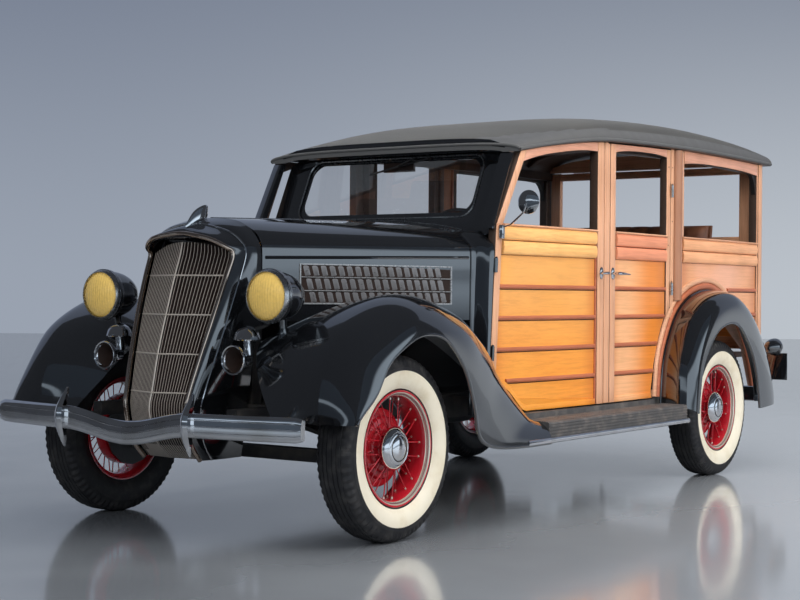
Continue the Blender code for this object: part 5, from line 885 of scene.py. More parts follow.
def add_wheels(context):
    """Four road wheels and the spare, each a copy of one made about X."""
    details = context.scene.wagon_details
    tyre = make_tyre("tyre_model", details)
    wheel = make_wheel("wheel_model", details)
    plain = make_wheel("plain_model", details, drum=False)
    spots = []
    for side, word in SIDES:
        spots.append(("front_" + word, Vector((side * FRONT_TRACK, FRONT_AXLE_Y, TYRE_RADIUS)),
                      (side, 0, 0), wheel, "wheel_front_" + word, "tyre_front_" + word,
                      "wheel_front_" + word))
        spots.append(("rear_" + word, Vector((side * REAR_TRACK, REAR_AXLE_Y, TYRE_RADIUS)), (side, 0, 0),
                      wheel, "wheel_rear_" + word, "tyre_rear_" + word, "wheel_rear_" + word))
    low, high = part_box("spare_tyre")
    spots.append(("spare", (low + high) / 2, REARWARD, plain, "spare_wheel", "spare_tyre", "tailgate"))
    for word, centre, out, model, wheel_node, tyre_node, body in spots:
        if out[0] < 0:
            turn = Matrix.Rotation(math.pi, 4, "Z")
        elif out[0] > 0:
            turn = Matrix.Identity(4)
        else:
            turn = wheel_frame(out)
        matrix = Matrix.Translation(centre) @ turn
        settle(copied(tyre, "made_tyre_" + word, matrix), "tread_" + word, body, None, 25,
               (tyre_node,))
        settle(copied(model, "made_wheel_" + word, matrix), "wires_" + word, body, None,
               35, (wheel_node,))
    for model in (tyre, wheel, plain):
        bpy.data.objects.remove(model)


# Fenders and running boards

def front_fender_row(shares):
    lip_y, lip_z, crown_y, crown_z, inner_x, inner_y, inner_z = shares
    lip = (FENDER_HALF_WIDTH, lip_y * FRONT_FENDER_LENGTH, lip_z * FRONT_CROWN_Z)
    crown = (FENDER_HALF_WIDTH * max(0.80, (1 + inner_x) / 2), crown_y * FRONT_FENDER_LENGTH,
             crown_z * FRONT_CROWN_Z)
    inner = (FENDER_HALF_WIDTH * inner_x, inner_y * FRONT_FENDER_LENGTH, inner_z * FRONT_CROWN_Z)
    row = []
    for step in range(15):
        angle = math.pi / 2 * step / 14
        row.append((crown[0] + (lip[0] - crown[0]) * math.cos(angle), lip[1] + (crown[1] - lip[1])
                    * math.sin(angle), lip[2] + (crown[2] - lip[2]) * math.sin(angle)))
    for step in range(1, 11):
        share = step / 10
        row.append(tuple(c + (i - c) * weight
                         for c, i, weight in zip(crown, inner, (share, share, share ** 1.84))))
    return row


def lip_roll(name, edge, radius, inward):
    """Rolled bead along a fender's lip."""
    return tube(name, [Vector(point) + Vector(inward) for point in edge], radius, 10)


def add_fenders(context):
    """Front and rear fenders with rolled lips."""
    rows = [front_fender_row(shares) for shares in curved(FRONT_FENDER, 6)]
    rows = [[(x, axle_y(y), z) for x, y, z in row] for row in rows]
    sheet = mended(skin("fender_skin", rows[::-1]))
    modified(sheet, "SOLIDIFY", thickness=SHEET_THICKNESS, offset=-1)
    roll = lip_roll("fender_roll", [row[0] for row in rows], LIP_RADIUS, (-0.0075, 0, 0.002))
    front = mended(joined("fender", [sheet, roll]))
    settle_pair(front, "front_fender_shell", "root", "enamel", 40, "front_fender_")

    inner_x = BODY_HALF_WIDTH + 0.0006
    rows = []
    for lip_y, lip_z, crown_y, crown_z in curved(REAR_FENDER, 6):
        row = []
        for step in range(19):
            angle = math.pi / 2 * step / 18
            bulge = max(0, math.cos(angle)) ** 0.5 if step < 18 else 0
            rise = math.sin(angle) ** 0.65
            row.append((inner_x + (FENDER_HALF_WIDTH - inner_x) * bulge,
                        REAR_AXLE_Y + (lip_y + (crown_y - lip_y) * rise) * REAR_FENDER_LENGTH,
                        (lip_z + (crown_z - lip_z) * rise) * REAR_CROWN_Z))
        rows.append(row)
    sheet = mended(skin("fender_skin", rows[::-1]))
    modified(sheet, "SOLIDIFY", thickness=SHEET_THICKNESS, offset=-1)
    roll = lip_roll("fender_roll", [row[0] for row in rows], LIP_RADIUS, (-0.0075, 0, 0.002))
    welt = lip_roll("fender_welt", [row[-1] for row in rows], WELT_RADIUS, (0.001, 0, 0))
    rear = mended(joined("fender", [sheet, roll, welt]))
    settle_pair(rear, "rear_fender_shell", "root", "enamel", 40, "rear_fender_")


def add_boards(context):
    """Running boards with a ribbed top and skirt, over a bright strip that runs on under the fender."""
    first, last = axle_y(FRONT_FENDER_TAIL + 0.001), axle_y(BOARD_REAR_Y)
    top = BOARD_TOP_Z
    low = top - 0.080
    inner, outer = 0.7192, 0.8700
    section = [(inner, low), (outer - 0.012, low), (outer - 0.002, low + 0.004)]
    for number in range(4):
        middle = low + 0.020 + 0.0135 * number
        section += [(outer - 0.0030, middle - 0.0048), (outer, middle - 0.0030),
                    (outer, middle + 0.0030), (outer - 0.0030, middle + 0.0048)]
    section += [(outer - 0.001, top - 0.009), (outer - 0.004, top - 0.003), (outer - 0.010, top)]
    count = 11
    for number in range(count):
        middle = outer - 0.022 - (outer - inner - 0.034) * number / (count - 1)
        section += [(middle + 0.0050, top - 0.0005), (middle + 0.0034, top + 0.0020),
                    (middle - 0.0034, top + 0.0020), (middle - 0.0050, top - 0.0005)]
    section += [(inner, top)]
    rings = [[(x, y, z) for x, z in section] for y in spaced(first, last, 24)]
    board = lofted("board", rings)
    trim = [(0.864, 0.332), (0.864, 0.308), (0.8790, 0.308), (0.8835, 0.311), (0.8855, 0.316),
            (0.8855, 0.324), (0.8835, 0.329), (0.8790, 0.332)]
    start = axle_y(0.761)
    strip = lofted("board_strip", [[(x, y, z) for x, z in trim] for y in spaced(start, last, 24)])
    settle_pair(board, "board", "root", "board", 30, "running_board_")
    settle_pair(strip, "board_strip", "root", "chrome")


# Hood and cowl

HOOD_PROFILE = curved(HOOD_SECTION, 5)


def hood_point(place, wide, high, out=0.0):
    half, ridge = hood_half(place), hood_ridge(place)
    return Vector((half * wide + out, axle_y(place), HOOD_SIDE_Z + (ridge - HOOD_SIDE_Z) * high))


# Share of the pitch, height over the panel and least height there
LOUVRE_SECTION = ((0, 0, 0), (0.20, 0.0050, 0.0002), (0.42, 0.0100, 0.0004), (0.47, 0.0090, 0.0003),
                  (0.45, 0, 0))


def add_hood(context):
    """Hood halves with moulding, louvres, latches and centre line."""
    details = context.scene.wagon_details
    rows = []
    for place in spaced(HOOD_FRONT_Y, HOOD_REAR_Y, 32):
        row = [hood_point(place, wide, high) for wide, high in HOOD_PROFILE]
        row.append(Vector((0.003, axle_y(place), hood_ridge(place))))
        rows.append(row)
    sheet = mended(skin("hood_skin", rows))
    modified(sheet, "SOLIDIFY", thickness=SHEET_THICKNESS, offset=-1)

    def on_side(place, z, out=0.0):
        return Vector((hood_half(place) + out, axle_y(place), z))

    first, last, low, high = -0.045, 0.665, 0.884, 1.042
    moulding = tube("hood_moulding",
                    [on_side(HOOD_FRONT_Y + 0.012 + 0.935 * step / 24, 1.062 + 0.018 * step / 24, 0.0005)
                     for step in range(25)], 0.0065, 8)
    corners = []
    count = 10
    ends = ((first, low), (last, low), (last, high), (first, high))
    for a, b in zip(ends, ends[1:] + ends[:1]):
        corners += [(a[0] + (b[0] - a[0]) * step / count, a[1] + (b[1] - a[1]) * step / count)
                    for step in range(count)]
    rings = []
    for place, z in corners:
        push_y = 0.005 * (1 if place <= first + 1e-6 else -1 if place >= last - 1e-6 else 0)
        push_z = 0.005 * (1 if z <= low + 1e-6 else -1 if z >= high - 1e-6 else 0)
        rings.append([on_side(place + push_y * inward, z + push_z * inward, out)
                      for inward, out in ((0, 0), (0, 0.0045), (1, 0.0045), (1.3, 0))])
    edging = tore("louvre_frame", rings)
    lips = []
    columns = details.louvre_columns
    slant = 0.042
    third = (high - low) / 3
    thirds = ((low + 0.007, low + third - 0.004), (low + third + 0.004, low + third * 2 - 0.004),
              (low + third * 2 + 0.004, high - 0.007))
    pitch = (last - first - slant - 0.02) / columns
    for number in range(columns):
        for foot, head in thirds:
            rings = []
            for z in (foot, foot + 0.004, head - 0.004, head):
                lean = slant * (z - low) / (high - low)
                start = last - 0.012 - lean - pitch * (number + 0.92)
                lift = 0.0 if z in (foot, head) else 1.0
                rings.append([on_side(start + pitch * share, z, out * lift + least)
                              for share, out, least in LOUVRE_SECTION])
            lips.append(lofted("louvre", rings))
    bars = []
    for level in (low + third, low + third * 2):
        line = [on_side(place, level, 0.0060) for place in spaced(first + 0.004, last - 0.004, 16)]
        bars.append(tube("louvre_bar", line, 0.0022, 8))
    # Painted shade: a dark sheet behind the louvres stands for the shaded openings under them.
    recess = []
    for z in (low, high):
        recess.append([on_side(place, z, 0.0006) for place in spaced(first, last, 20)])
    back = mended(skin("louvre_shade_sheet", recess))
    modified(back, "SOLIDIFY", thickness=0.0004, offset=1)
    for thing in [edging] + bars:
        painted(thing, "louvre_edging")
    for thing in lips:
        painted(thing, "louvre")
    painted(back, "seam")
    vents = joined("vents", [edging] + bars + lips + [back])
    latch = []
    for place in (0.12, 0.52):
        latch.append(turned("latch", [(0, 0), (0, 0.012), (0.010, 0.011), (0.016, 0.006), (0.018, 0)],
                            on_side(place, 0.848, -0.001), (1, 0, 0), 16))
    latches = joined("latches", latch)
    hinge = tube("hood_line",
                 [(0.0045, axle_y(HOOD_FRONT_Y + 0.005 + 0.945 * step / 8),
                   hood_ridge(HOOD_FRONT_Y + 0.955 * step / 8) + 0.0008) for step in range(9)], 0.0030, 8)
    body = joined("hood", [sheet, moulding])
    settle_pair(body, "hood_shell", "hood_", "enamel", 30, "hood_")
    settle_pair(vents, "hood_vents", "hood_", None, 30)
    settle_pair(latches, "hood_latches", "hood_", "chrome", 30)
    settle_pair(hinge, "hood_line", "hood_", "satin", 30)


def cowl_row(along, lift=0.0):
    side = [(1, SILL_Z - 0.006, True)] + [(wide, high, False) for wide, high in HOOD_PROFILE]
    flare = follow(((0, 0), (0.15, 0), (0.35, 0.12), (0.6, 0.62), (0.8, 0.9), (1, 1)), along)
    start = HOOD_REAR_Y + 0.006
    row = []
    half, ridge = hood_half(HOOD_REAR_Y), hood_ridge(HOOD_REAR_Y)
    for wide, high, absolute in side:
        z = high if absolute else HOOD_SIDE_Z + (ridge - HOOD_SIDE_Z) * high
        height_share = max(0, min(1, (z - HOOD_SIDE_Z) / (HOOD_RIDGE_Z - HOOD_SIDE_Z)))
        x = half * wide
        end = WINDSHIELD_FOOT_Y + 0.009
        if x > 0.486:
            end = min(door_front_y(z) - 0.006, end)
        row.append((x + (body_x(DOOR_FRONT_Y) / half - 1) * x * flare,
                    axle_y(start + (end - start) * along), z + 0.014 * along * height_share + lift))
    row.append((0, row[-1][1], ridge + 0.014 * along + lift))
    return row


def add_cowl(context):
    """Cowl, fire wall, dash and steering column."""
    rows = []
    for step in range(17):
        half_row = cowl_row(step / 16)
        rows.append(half_row + [(-x, y, z) for x, y, z in reversed(half_row[:-1])])
    cowl = mended(skin("cowl_skin", rows))
    modified(cowl, "SOLIDIFY", thickness=SHEET_THICKNESS, offset=-1)
    wall = lofted("fire_wall", [[(x * 0.985, axle_y(place), max(z - 0.006, 0.50)) for x, _, z in rows[0]]
                                for place in (0.769, 0.774)])
    dash = lofted("dash",
                  [[(x, axle_y(y), z) for y, z in ((0.932, 1.060), (0.975, 1.085), (0.982, 1.200),
                                                   (0.965, 1.246), (0.935, 1.252))]
                   for x in (-0.612, -0.5, -0.25, 0, 0.25, 0.5, 0.612)])
    soften(dash, 0.008)
    hub, axis = steering_line()
    column = tube("column", [hub - axis * 0.545, hub - axis * 0.3, hub - axis * 0.031], 0.020, 16)
    body = joined("cowl_body", [cowl, wall, dash, column])
    settle(body, "cowl_shell", "root", "enamel", 35, ("cowl",))
    add_windshield()
    add_wiper()


def on_glass(x, z, deep):
    return (x, axle_y(windshield_y(z) + deep), z)


def add_windshield():
    """Frame round the glass, its bead, the inner frame, posts and the inside mirror."""
    def contour(half, low, high, radius, count=8):
        points = []
        for cx, cz, start in ((half - radius, low + radius, -90), (half - radius, high - radius, 0),
                              (-half + radius, high - radius, 90), (-half + radius, low + radius, 180)):
            for step in range(count + 1):
                turn = math.radians(start + 90 * step / count)
                points.append((cx + math.cos(turn) * radius, cz + math.sin(turn) * radius))
        return points

    head = roof_edge_z(windshield_y(WINDSHIELD_TOP_Z)) - 0.001
    outer = contour(0.608, BELT_Z - 0.045, head, 0.045)
    inner = contour(0.486, WINDSHIELD_FOOT_Z, WINDSHIELD_TOP_Z, 0.062)
    rings = []
    for (ox, oz), (ix, iz) in zip(outer, inner):
        ring = [on_glass(ox, oz, 0.004)]
        for share, deep in ((0.10, 0.0), (0.80, -0.001)):
            ring.append(on_glass(ox + (ix - ox) * share, oz + (iz - oz) * share, deep))
        rings.append(ring + [on_glass(ix, iz, 0.006), on_glass(ix, iz, 0.033), on_glass(ox, oz, 0.035)])
    surround = tore("windshield_frame", rings)
    settle(surround, "windshield_surround", "root", "enamel", 40)
    bead = tube("windshield_bead",
                [on_glass(x * 0.99, WINDSHIELD_FOOT_Z + (z - WINDSHIELD_FOOT_Z) * 0.99 + 0.001, 0.004)
                 for x, z in inner + inner[:1]], 0.0035, 8)
    settle(bead, "windshield_bead", "root", "satin")
    rings = []
    for ix, iz in contour(0.484, WINDSHIELD_FOOT_Z + 0.002, WINDSHIELD_TOP_Z - 0.002, 0.060):
        near_x = ix - math.copysign(0.020, ix)
        near_z = iz - (0.020 if iz > 1.4 else -0.020)
        rings.append([on_glass(ix, iz, 0.015), on_glass(near_x, near_z, 0.013),
                      on_glass(near_x, near_z, 0.018), on_glass(ix, iz, 0.021)])
    inside = tore("windshield_inner", rings)
    settle(inside, "windshield_inner_frame", "root", "enamel", 40)
    for side, word in SIDES:
        rings = []
        for z in spaced(1.205, 1.533, 8):
            last = axle_y(door_front_y(z) - 0.006)
            section = ((0.604, -0.034), (0.650, -0.030), (0.660, -0.020), (0.660, 0), (0.604, 0))
            rings.append([(side * x, last + back, z) for x, back in section])
        settle(lofted("post", rings), "windshield_post_" + word, "root", "enamel", 40)
    rings = []
    for half, deep in ((0.070, -0.012), (0.085, -0.004), (0.085, 0.006), (0.080, 0.010)):
        corners = ((-half, 1.482), (half, 1.482), (half, 1.532), (-half, 1.532))
        rings.append([(x, axle_y(1.085 + deep), z) for x, z in corners])
    settle(lofted("back_mirror", rings), "inside_mirror", "root", "seam", 40)


def add_wiper():
    """Wiper hung from above the glass."""
    wiper_start = Vector(on_glass(0.17, 1.560, -0.012))
    wiper_end = Vector(on_glass(0.03, 1.505, -0.014))
    arm = tube("wiper_arm", [wiper_start, (wiper_start + wiper_end) / 2 + Vector((0, -0.008, 0)),
                             wiper_end], 0.0035, 8)
    section = ((-0.004, -0.006), (0.004, -0.006), (0.004, 0.002), (-0.004, 0.002))
    blade = lofted("wiper_blade", [[Vector(on_glass(x, z + up, deep)) for up, deep in section]
                                   for x, z in ((-0.12, 1.470), (0.03, 1.505), (0.18, 1.535))])
    knob = turned("wiper_knob", [(0, 0), (0, 0.016), (0.014, 0.013), (0.018, 0)],
                  wiper_start + Vector((0, 0.012, 0)), (0, -1, 0.2), 16)
    settle(joined("wiper", [arm, blade, knob]), "wiper", "root", "rubber")


# Grille, lamps and bumpers

def grille_at(z):
    """Opening half width, crease y, edge y and shell half width at a height."""
    share = z / GRILLE_TOP_Z
    return [follow([(row[0], row[index]) for row in GRILLE_CURVE], share) for index in (1, 2, 3, 4)]


GRILLE_CURVE = curved(GRILLE_LEVELS, 6) + [(0.985, 0.93, 0.50, 0.70, 1.2)]


def nose_rows():
    """Rows of points from one foot of the grille shell over its crown to the other."""
    half_rows = []
    for height, opening, crease, edge, outer in GRILLE_LEVELS:
        z = GRILLE_TOP_Z * height
        x, side = GRILLE_HALF_WIDTH * opening, GRILLE_HALF_WIDTH * outer
        y = GRILLE_FRONT_Y + GRILLE_DEPTH * edge
        rear = HOOD_FRONT_Y - 0.006
        last = max(side, NOSE_HALF_WIDTH) if z > HOOD_SIDE_Z else side
        half_rows.append([(x, y, z), (x + 0.011, y - 0.0073, z), ((x + side) / 2 + 0.0055, y + 0.022, z),
                          (side, (y + rear) / 2, z), (last, rear, z)])
    top = half_rows[-1]
    nose = HOOD_RIDGE_Z - NOSE_DROP
    arc = []
    for degrees in (22, 45, 68):
        turn = math.radians(degrees)
        row = []
        for index, (x, y, z) in enumerate(top):
            lift = (GRILLE_TOP_Z - z) + (nose - GRILLE_TOP_Z) * index / 4
            crease_y = GRILLE_FRONT_Y + GRILLE_DEPTH * 0.47
            forward = (y - crease_y) * (1 - math.sin(turn)) + crease_y if index < 2 else y - (y
                    - crease_y) * (1 - math.cos(turn)) * (4 - index) / 5
            row.append((x * (0.20 + 0.80 * math.cos(turn)), forward, z + lift * math.sin(turn)))
        arc.append(row)
    crown = []
    crease_y = GRILLE_FRONT_Y + GRILLE_DEPTH * 0.49
    for index in range(5):
        crown.append((0, crease_y + (HOOD_FRONT_Y - 0.006 - crease_y) * (index / 4) ** 1.3,
                      GRILLE_TOP_Z + (nose - GRILLE_TOP_Z) * (index / 4) ** 0.6))
    rows = half_rows + arc + [crown]
    rows += [[(-x, y, z) for x, y, z in row] for row in reversed(half_rows + arc)]
    rows = curved([tuple(value for point in row for value in point) for row in rows], 4)
    rows = [[(row[i], axle_y(row[i + 1]), row[i + 2]) for i in range(0, 15, 3)] for row in rows]
    return [[Vector(point) for point in curved(row, 4)] for row in rows]


def add_nose_shell():
    fine = nose_rows()
    shell = mended(skin("grille_skin", fine))
    modified(shell, "SOLIDIFY", thickness=SHEET_THICKNESS, offset=-1)
    settle(shell, "nose_shell", "root", "enamel", 40, ("grille_shell",))
    settle(tube("grille_bead", [point[2] + Vector((0, -0.003, 0)) for point in fine], 0.0090, 12),
           "grille_bead", "root", "warm_chrome")
    settle(tube("grille_edge", [point[9] + Vector((0, -0.001, 0.0005)) for point in fine], 0.0038, 8),
           "grille_outer_bead", "root", "chrome")


def add_bars(details, bottom, head, shift):
    """Upright bars, each leaning and bending with the shell, and the ties across them."""
    count = details.grille_bars
    bars = []
    for number in range(-count, count + 1):
        t = number / (count + 0.6)
        top_z = head - (0.040 * abs(t) ** 2.2)
        rings = []
        width = details.bar_width * (1.5 if number == 0 else 1.0)
        for z in spaced(bottom, top_z, 30):
            opening, crease, edge, _ = grille_at(z)
            x = t * GRILLE_HALF_WIDTH * opening
            y = axle_y(GRILLE_FRONT_Y + GRILLE_DEPTH * (crease + (edge - crease) * abs(t))) + shift
            deep = 0.006
            rings.append([(x - width / 2, y + deep, z), (x - width / 2, y + 0.003, z),
                          (x - width / 4, y, z), (x + width / 4, y, z), (x + width / 2, y + 0.003, z),
                          (x + width / 2, y + deep, z)])
        bar = lofted("grille_bar", rings)
        painted(bar, "grille_steel", "seam")
        # Painted shade: the sides and backs of each bar get the near-black finish.
        for face in bar.data.polygons:
            if abs(face.normal.x) > 0.85 or face.normal.y > 0.3:
                face.material_index = 1
        bars.append(bar)
    crosses = []
    for height in (0.36, 0.486, 0.6125, 0.742, 0.873):
        z = GRILLE_TOP_Z * height
        opening, crease, edge, _ = grille_at(z)
        route = []
        for step in range(-10, 11):
            t = step / 10
            y = axle_y(GRILLE_FRONT_Y + GRILLE_DEPTH * (crease + (edge - crease) * abs(t))) + shift + 0.008
            route.append((t * GRILLE_HALF_WIDTH * (opening - 0.01), y - 0.007, z))
        crosses.append(tube("grille_cross", route, 0.0030, 8))
    settle(joined("grille", bars), "grille_uprights", "root", None, 40, ("grille_bars",))
    settle(joined("grille_ties", crosses), "grille_ties", "root", "grille_steel")


def add_screen(bottom, head, shift):
    """Dark screen behind the bars: painted shade for the space behind the grille."""
    rows = []
    for z in spaced(bottom, head, 15):
        opening, crease, edge, _ = grille_at(z)
        rows.append([(t / 6 * GRILLE_HALF_WIDTH * opening,
                      axle_y(GRILLE_FRONT_Y + GRILLE_DEPTH * (crease + (edge - crease) * abs(t / 6)))
                      + shift + 0.055, z) for t in range(-6, 7)])
    screen = mended(skin("grille_screen", rows))
    modified(screen, "SOLIDIFY", thickness=0.002, offset=0)
    settle(screen, "grille_screen", "root", "seam")


def add_spear():
    """Plain fin on the nose."""
    nose = HOOD_RIDGE_Z - NOSE_DROP
    spear = []
    start = GRILLE_FRONT_Y + GRILLE_DEPTH * 0.58
    for along, wide, foot, high in ((0, 0.10, -0.80, -0.62), (0.12, 0.5, -0.85, -0.30),
                                    (0.35, 1.0, -0.60, 0.45), (0.7, 0.9, -0.42, 0.85),
                                    (0.92, 0.5, -0.28, 0.96), (1, 0.12, 0.30, 0.88)):
        y, w = axle_y(start + 0.130 * along), 0.011 * wide
        base, tip = nose + 0.055 * foot, nose + 0.055 * high
        spear.append([(-w, y, base), (w, y, base), (w * 0.9, y, (base + tip) / 2), (w * 0.4, y, tip),
                      (-w * 0.4, y, tip), (-w * 0.9, y, (base + tip) / 2)])
    spear = lofted("spear", spear)
    modified(spear, "SUBSURF", levels=2, render_levels=2)
    settle(spear, "nose_spear", "root", "chrome", 60)


def add_grille(context):
    low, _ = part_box("grille_bars")
    shift = low.y - axle_y(GRILLE_FRONT_Y)
    bottom, head = GRILLE_TOP_Z * 0.264, GRILLE_TOP_Z * 0.985
    add_nose_shell()
    add_bars(context.scene.wagon_details, bottom, head, shift)
    add_screen(bottom, head, shift)
    add_spear()


def add_lamps(context):
    """Head lamps on their stalks, horns and the arms between them."""
    for side, word in SIDES:
        centre = Vector((side * 0.426, axle_y(-0.362), 0.915))
        radius, length = 0.1015, 0.195
        bowl = [(0.018, 0.96), (0.030, 1.0), (0.10, 0.975), (0.18, 0.945), (0.30, 0.915), (0.45, 0.865),
                (0.60, 0.765), (0.75, 0.60), (0.88, 0.38), (0.96, 0.20), (1.0, 0.0), (0.30, 0.0)]
        bowl = turned("bowl", [(length * a, radius * b) for a, b in bowl], centre, REARWARD, 56)
        foot = centre + Vector((0, length * 0.45, -radius * 0.75))
        base = Vector((foot.x, foot.y + 0.012, 0.745))
        stalk = tube("stalk", [foot, foot + (base - foot) * 0.4, base + Vector((0, 0, 0.02)), base],
                     0.016, 16, [1.15, 0.95, 1.35, 1.9])
        black = joined("lamp_body", [bowl, stalk])
        settle(black, "lamp_bowl_" + word, "root", "enamel", 40, ("lamp_and_horn_" + word,))
        rim = [(0.020, 0.875), (-0.006, 0.875), (-0.011, 0.885), (-0.012, 0.91), (-0.006, 0.95),
               (0.004, 0.98), (0.018, 1.0), (0.026, 0.985), (0.028, 0.93)]
        rim = turned("rim", [(reach, radius * b) for reach, b in rim], centre, REARWARD, 64)
        settle(rim, "lamp_rim_" + word, "root", "satin", 40)
        lens = [(-0.0250, 0), (-0.0245, 0.16), (-0.0225, 0.36), (-0.0185, 0.56), (-0.0120, 0.76),
                (-0.0030, 0.885), (0.004, 0.90), (0.004, 0)]
        lens = turned("lens", [(reach, radius * b) for reach, b in lens], centre, REARWARD, 64)
        settle(lens, "lamp_lens_" + word, "root", "lens", 50)

        horn = Vector((side * 0.329, axle_y(-0.438), 0.680))
        cup = [(0.062, 0.0), (0.060, 0.22), (0.035, 0.42), (0.018, 0.66), (0.008, 0.80), (-0.002, 0.87),
               (-0.004, 0.95), (0.001, 1.0), (0.008, 0.98), (0.020, 0.84), (0.040, 0.60), (0.060, 0.46),
               (0.085, 0.36), (0.085, 0.0)]
        cup = turned("cup", [(reach, 0.0565 * b) for reach, b in cup], horn, REARWARD, 48)
        painted(cup, "chrome", "seam")
        throat = ((0.006, 0.0485), (0.018, 0.0420), (0.035, 0.0290), (0.061, 0.0180))
        for face in cup.data.polygons:
            spot = face.center - horn
            if spot.y > 0.006 and math.hypot(spot.x, spot.z) < follow(throat, spot.y):
                face.material_index = 1
        dome_place = Vector((side * 0.329, axle_y(-0.358), 0.680 + 0.0565 * 1.25))
        dome = turned("dome", [(0.0, 0), (0.0, 0.050), (0.004, 0.052), (0.010, 0.050), (0.026, 0.045),
                               (0.040, 0.034), (0.050, 0.018), (0.054, 0)], dome_place, (0, 0, 1), 40)
        neck = tube("neck", [horn + Vector((0, 0.078, 0)), horn + Vector((0, 0.088, 0.02)),
                             dome_place + Vector((0, 0, 0.012))], 0.017, 14)
        for thing in (dome, neck):
            painted(thing, "chrome")
        settle(joined("horn", [cup, dome, neck]), "horn_" + word, "root", None, 40)
        arm = tube("arm", [dome_place + Vector((0, 0.01, 0.03)), (dome_place + foot) / 2
                           + Vector((0, 0, 0.01)), foot + Vector((0, 0, 0.01))], 0.009, 10)
        settle(arm, "horn_arm_" + word, "root", "chassis")


def add_bumpers(context):
    """Grooved bumpers with their guards and arms."""
    section = [(-0.50, 0.62), (-0.46, 0.30), (-0.40, 0.12), (-0.33, 0.04), (-0.27, 0.02), (-0.245, 0.16),
               (-0.225, 0.0), (-0.10, -0.05), (-0.02, -0.06), (0.0, 0.09), (0.02, -0.06), (0.10, -0.05),
               (0.225, 0.0), (0.245, 0.16), (0.27, 0.02), (0.33, 0.04), (0.40, 0.12), (0.46, 0.30),
               (0.50, 0.62), (0.44, 1.0), (-0.44, 1.0)]
    for name, face_y, bow, middle_z, dip, guard_x, toward in (
            ("front_bumper", -0.700, 0.105, 0.411, 0.043, 0.318, 1),
            ("rear_bumper", 3.942, 0.075, 0.365, 0.0, 0.420, -1)):
        half = 0.763 if toward == 1 else 0.600
        height, thick, setback = 0.088, 0.022, 0.055 * 0.55
        share_guard = guard_x / half
        rings = []
        for x in spaced(-half, half, 64):
            share = abs(x) / half
            y = face_y + toward * (setback + bow * max(0, share ** 2 - share_guard ** 2))
            z = middle_z + dip * (1 - math.cos(math.pi * min(share * 2.4, 1))) / 2
            pinch = 1.0 if share < 0.985 else 0.86
            rings.append([(x, axle_y(y + toward * thick * deep), z + height * high * pinch)
                          for high, deep in section])
        bar = lofted("bar", rings)
        settle(bar, name + "_bar", "root", "chrome", 50, (name,))
        guards = []
        for side in (-1, 1):
            outline = ((-0.5, 0.78, 0.1), (-0.40, 0.52, 0.5), (-0.25, 0.25, 0.85), (-0.10, 0.08, 1.0),
                       (0.03, 0.02, 1.0), (0.16, 0.12, 0.95), (0.28, 0.36, 0.8), (0.40, 0.70, 0.5),
                       (0.5, 1.0, 0.1))
            rings = []
            for high, deep, wide in curved(outline, 3):
                z = middle_z + dip + 0.225 * high
                y = face_y + toward * 0.055 * deep
                w = 0.018 * wide
                back = toward * (0.006 + 0.030 * wide)
                x = side * guard_x
                rings.append([(x - w, axle_y(y + toward * 0.010), z),
                              (x - w * 0.35, axle_y(y + toward * 0.002), z), (x, axle_y(y), z),
                              (x + w * 0.35, axle_y(y + toward * 0.002), z),
                              (x + w, axle_y(y + toward * 0.010), z), (x + w * 0.8, axle_y(y + back), z),
                              (x - w * 0.8, axle_y(y + back), z)])
            guards.append(lofted("guard", rings))
        settle(joined("guards", guards), name + "_guards", "root", "chrome", 50)
        arms = []
        inner_y, inner_z = (-0.4603, 0.45) if toward == 1 else (3.6003, 0.535)
        for side in (-1, 1):
            x = side * (0.342 if toward == 1 else 0.441)
            share = abs(x) / half
            outer_y = face_y + toward * (setback + thick * 0.6
                                         + bow * max(0, share ** 2 - share_guard ** 2))
            route = [(x, axle_y(inner_y), inner_z), (x, axle_y(inner_y + (outer_y - inner_y) * 0.5),
                                                     (inner_z + middle_z + dip) / 2),
                     (x, axle_y(outer_y), middle_z + dip)]
            arms.append(tube("arm", route, 0.015, 10))
        settle(joined("arms", arms), name + "_arms", "root", "chassis")


# Wooden body

def between(first, last, low, high):
    """Point of a patch with side edges first and last of height, and ends low and high of place.

    Each edge is a function or one number.
    """
    first, last, low, high = (edge if callable(edge) else fixed(edge) for edge in (first, last, low, high))

    def point(s, t):
        z = 0.9
        place = 2.0
        for _ in range(5):
            place = first(z) + (last(z) - first(z)) * s
            z = low(place) + (high(place) - low(place)) * t
        return place, z
    return point


def fixed(value):
    def same(_other):
        return value
    return same


def plank(side, point, across, along, out, deep, ease=0.003, segments=2):
    """A board on the body's side: outer face out proud of the body line, deep below it."""
    rings = []
    for row in range(along + 1):
        spots = [point(column / across, row / along) for column in range(across + 1)]
        ring = [(side * (body_x(place) + out), axle_y(place), z) for place, z in spots]
        ring += [(side * (body_x(place) - deep), axle_y(place), z) for place, z in reversed(spots)]
        rings.append(ring)
    thing = lofted("plank", rings)
    return soften(thing, ease, segments) if ease else thing


def boards(side, rows):
    """Planks from rows of finish, four edges, counts across and along, proud, depth and edge."""
    return [(row[0], plank(side, between(*row[1:5]), *row[5:])) for row in rows]


def bead(side, path, half, proud, sink=0.004, fullness=1.0, arcs=8):
    """A rounded strip along a path of (place, z) on the body's side."""
    points = [Vector((0, place, z)) for place, z in path]
    rings = []
    for index, point in enumerate(points):
        ahead = (points[min(index + 1, len(points) - 1)] - points[max(index - 1, 0)]).normalized()
        normal = Vector((0, -ahead.z, ahead.y))
        ring = []
        for step in range(arcs + 1):
            turn = math.pi * step / arcs
            spot = point + normal * half * math.cos(turn)
            lift = proud * math.sin(turn) ** fullness if 0 < step < arcs else 0
            ring.append((side * (body_x(spot.y) - PANEL_RECESS + lift), axle_y(spot.y), spot.z))
        for end in (-1, 1):
            spot = point + normal * half * end
            ring.append((side * (body_x(spot.y) - PANEL_RECESS - sink), axle_y(spot.y), spot.z))
        rings.append(ring)
    return lofted("bead", rings)


def straight_path(first, last, z, count=16):
    return [(place, z) for place in spaced(first, last, count)]


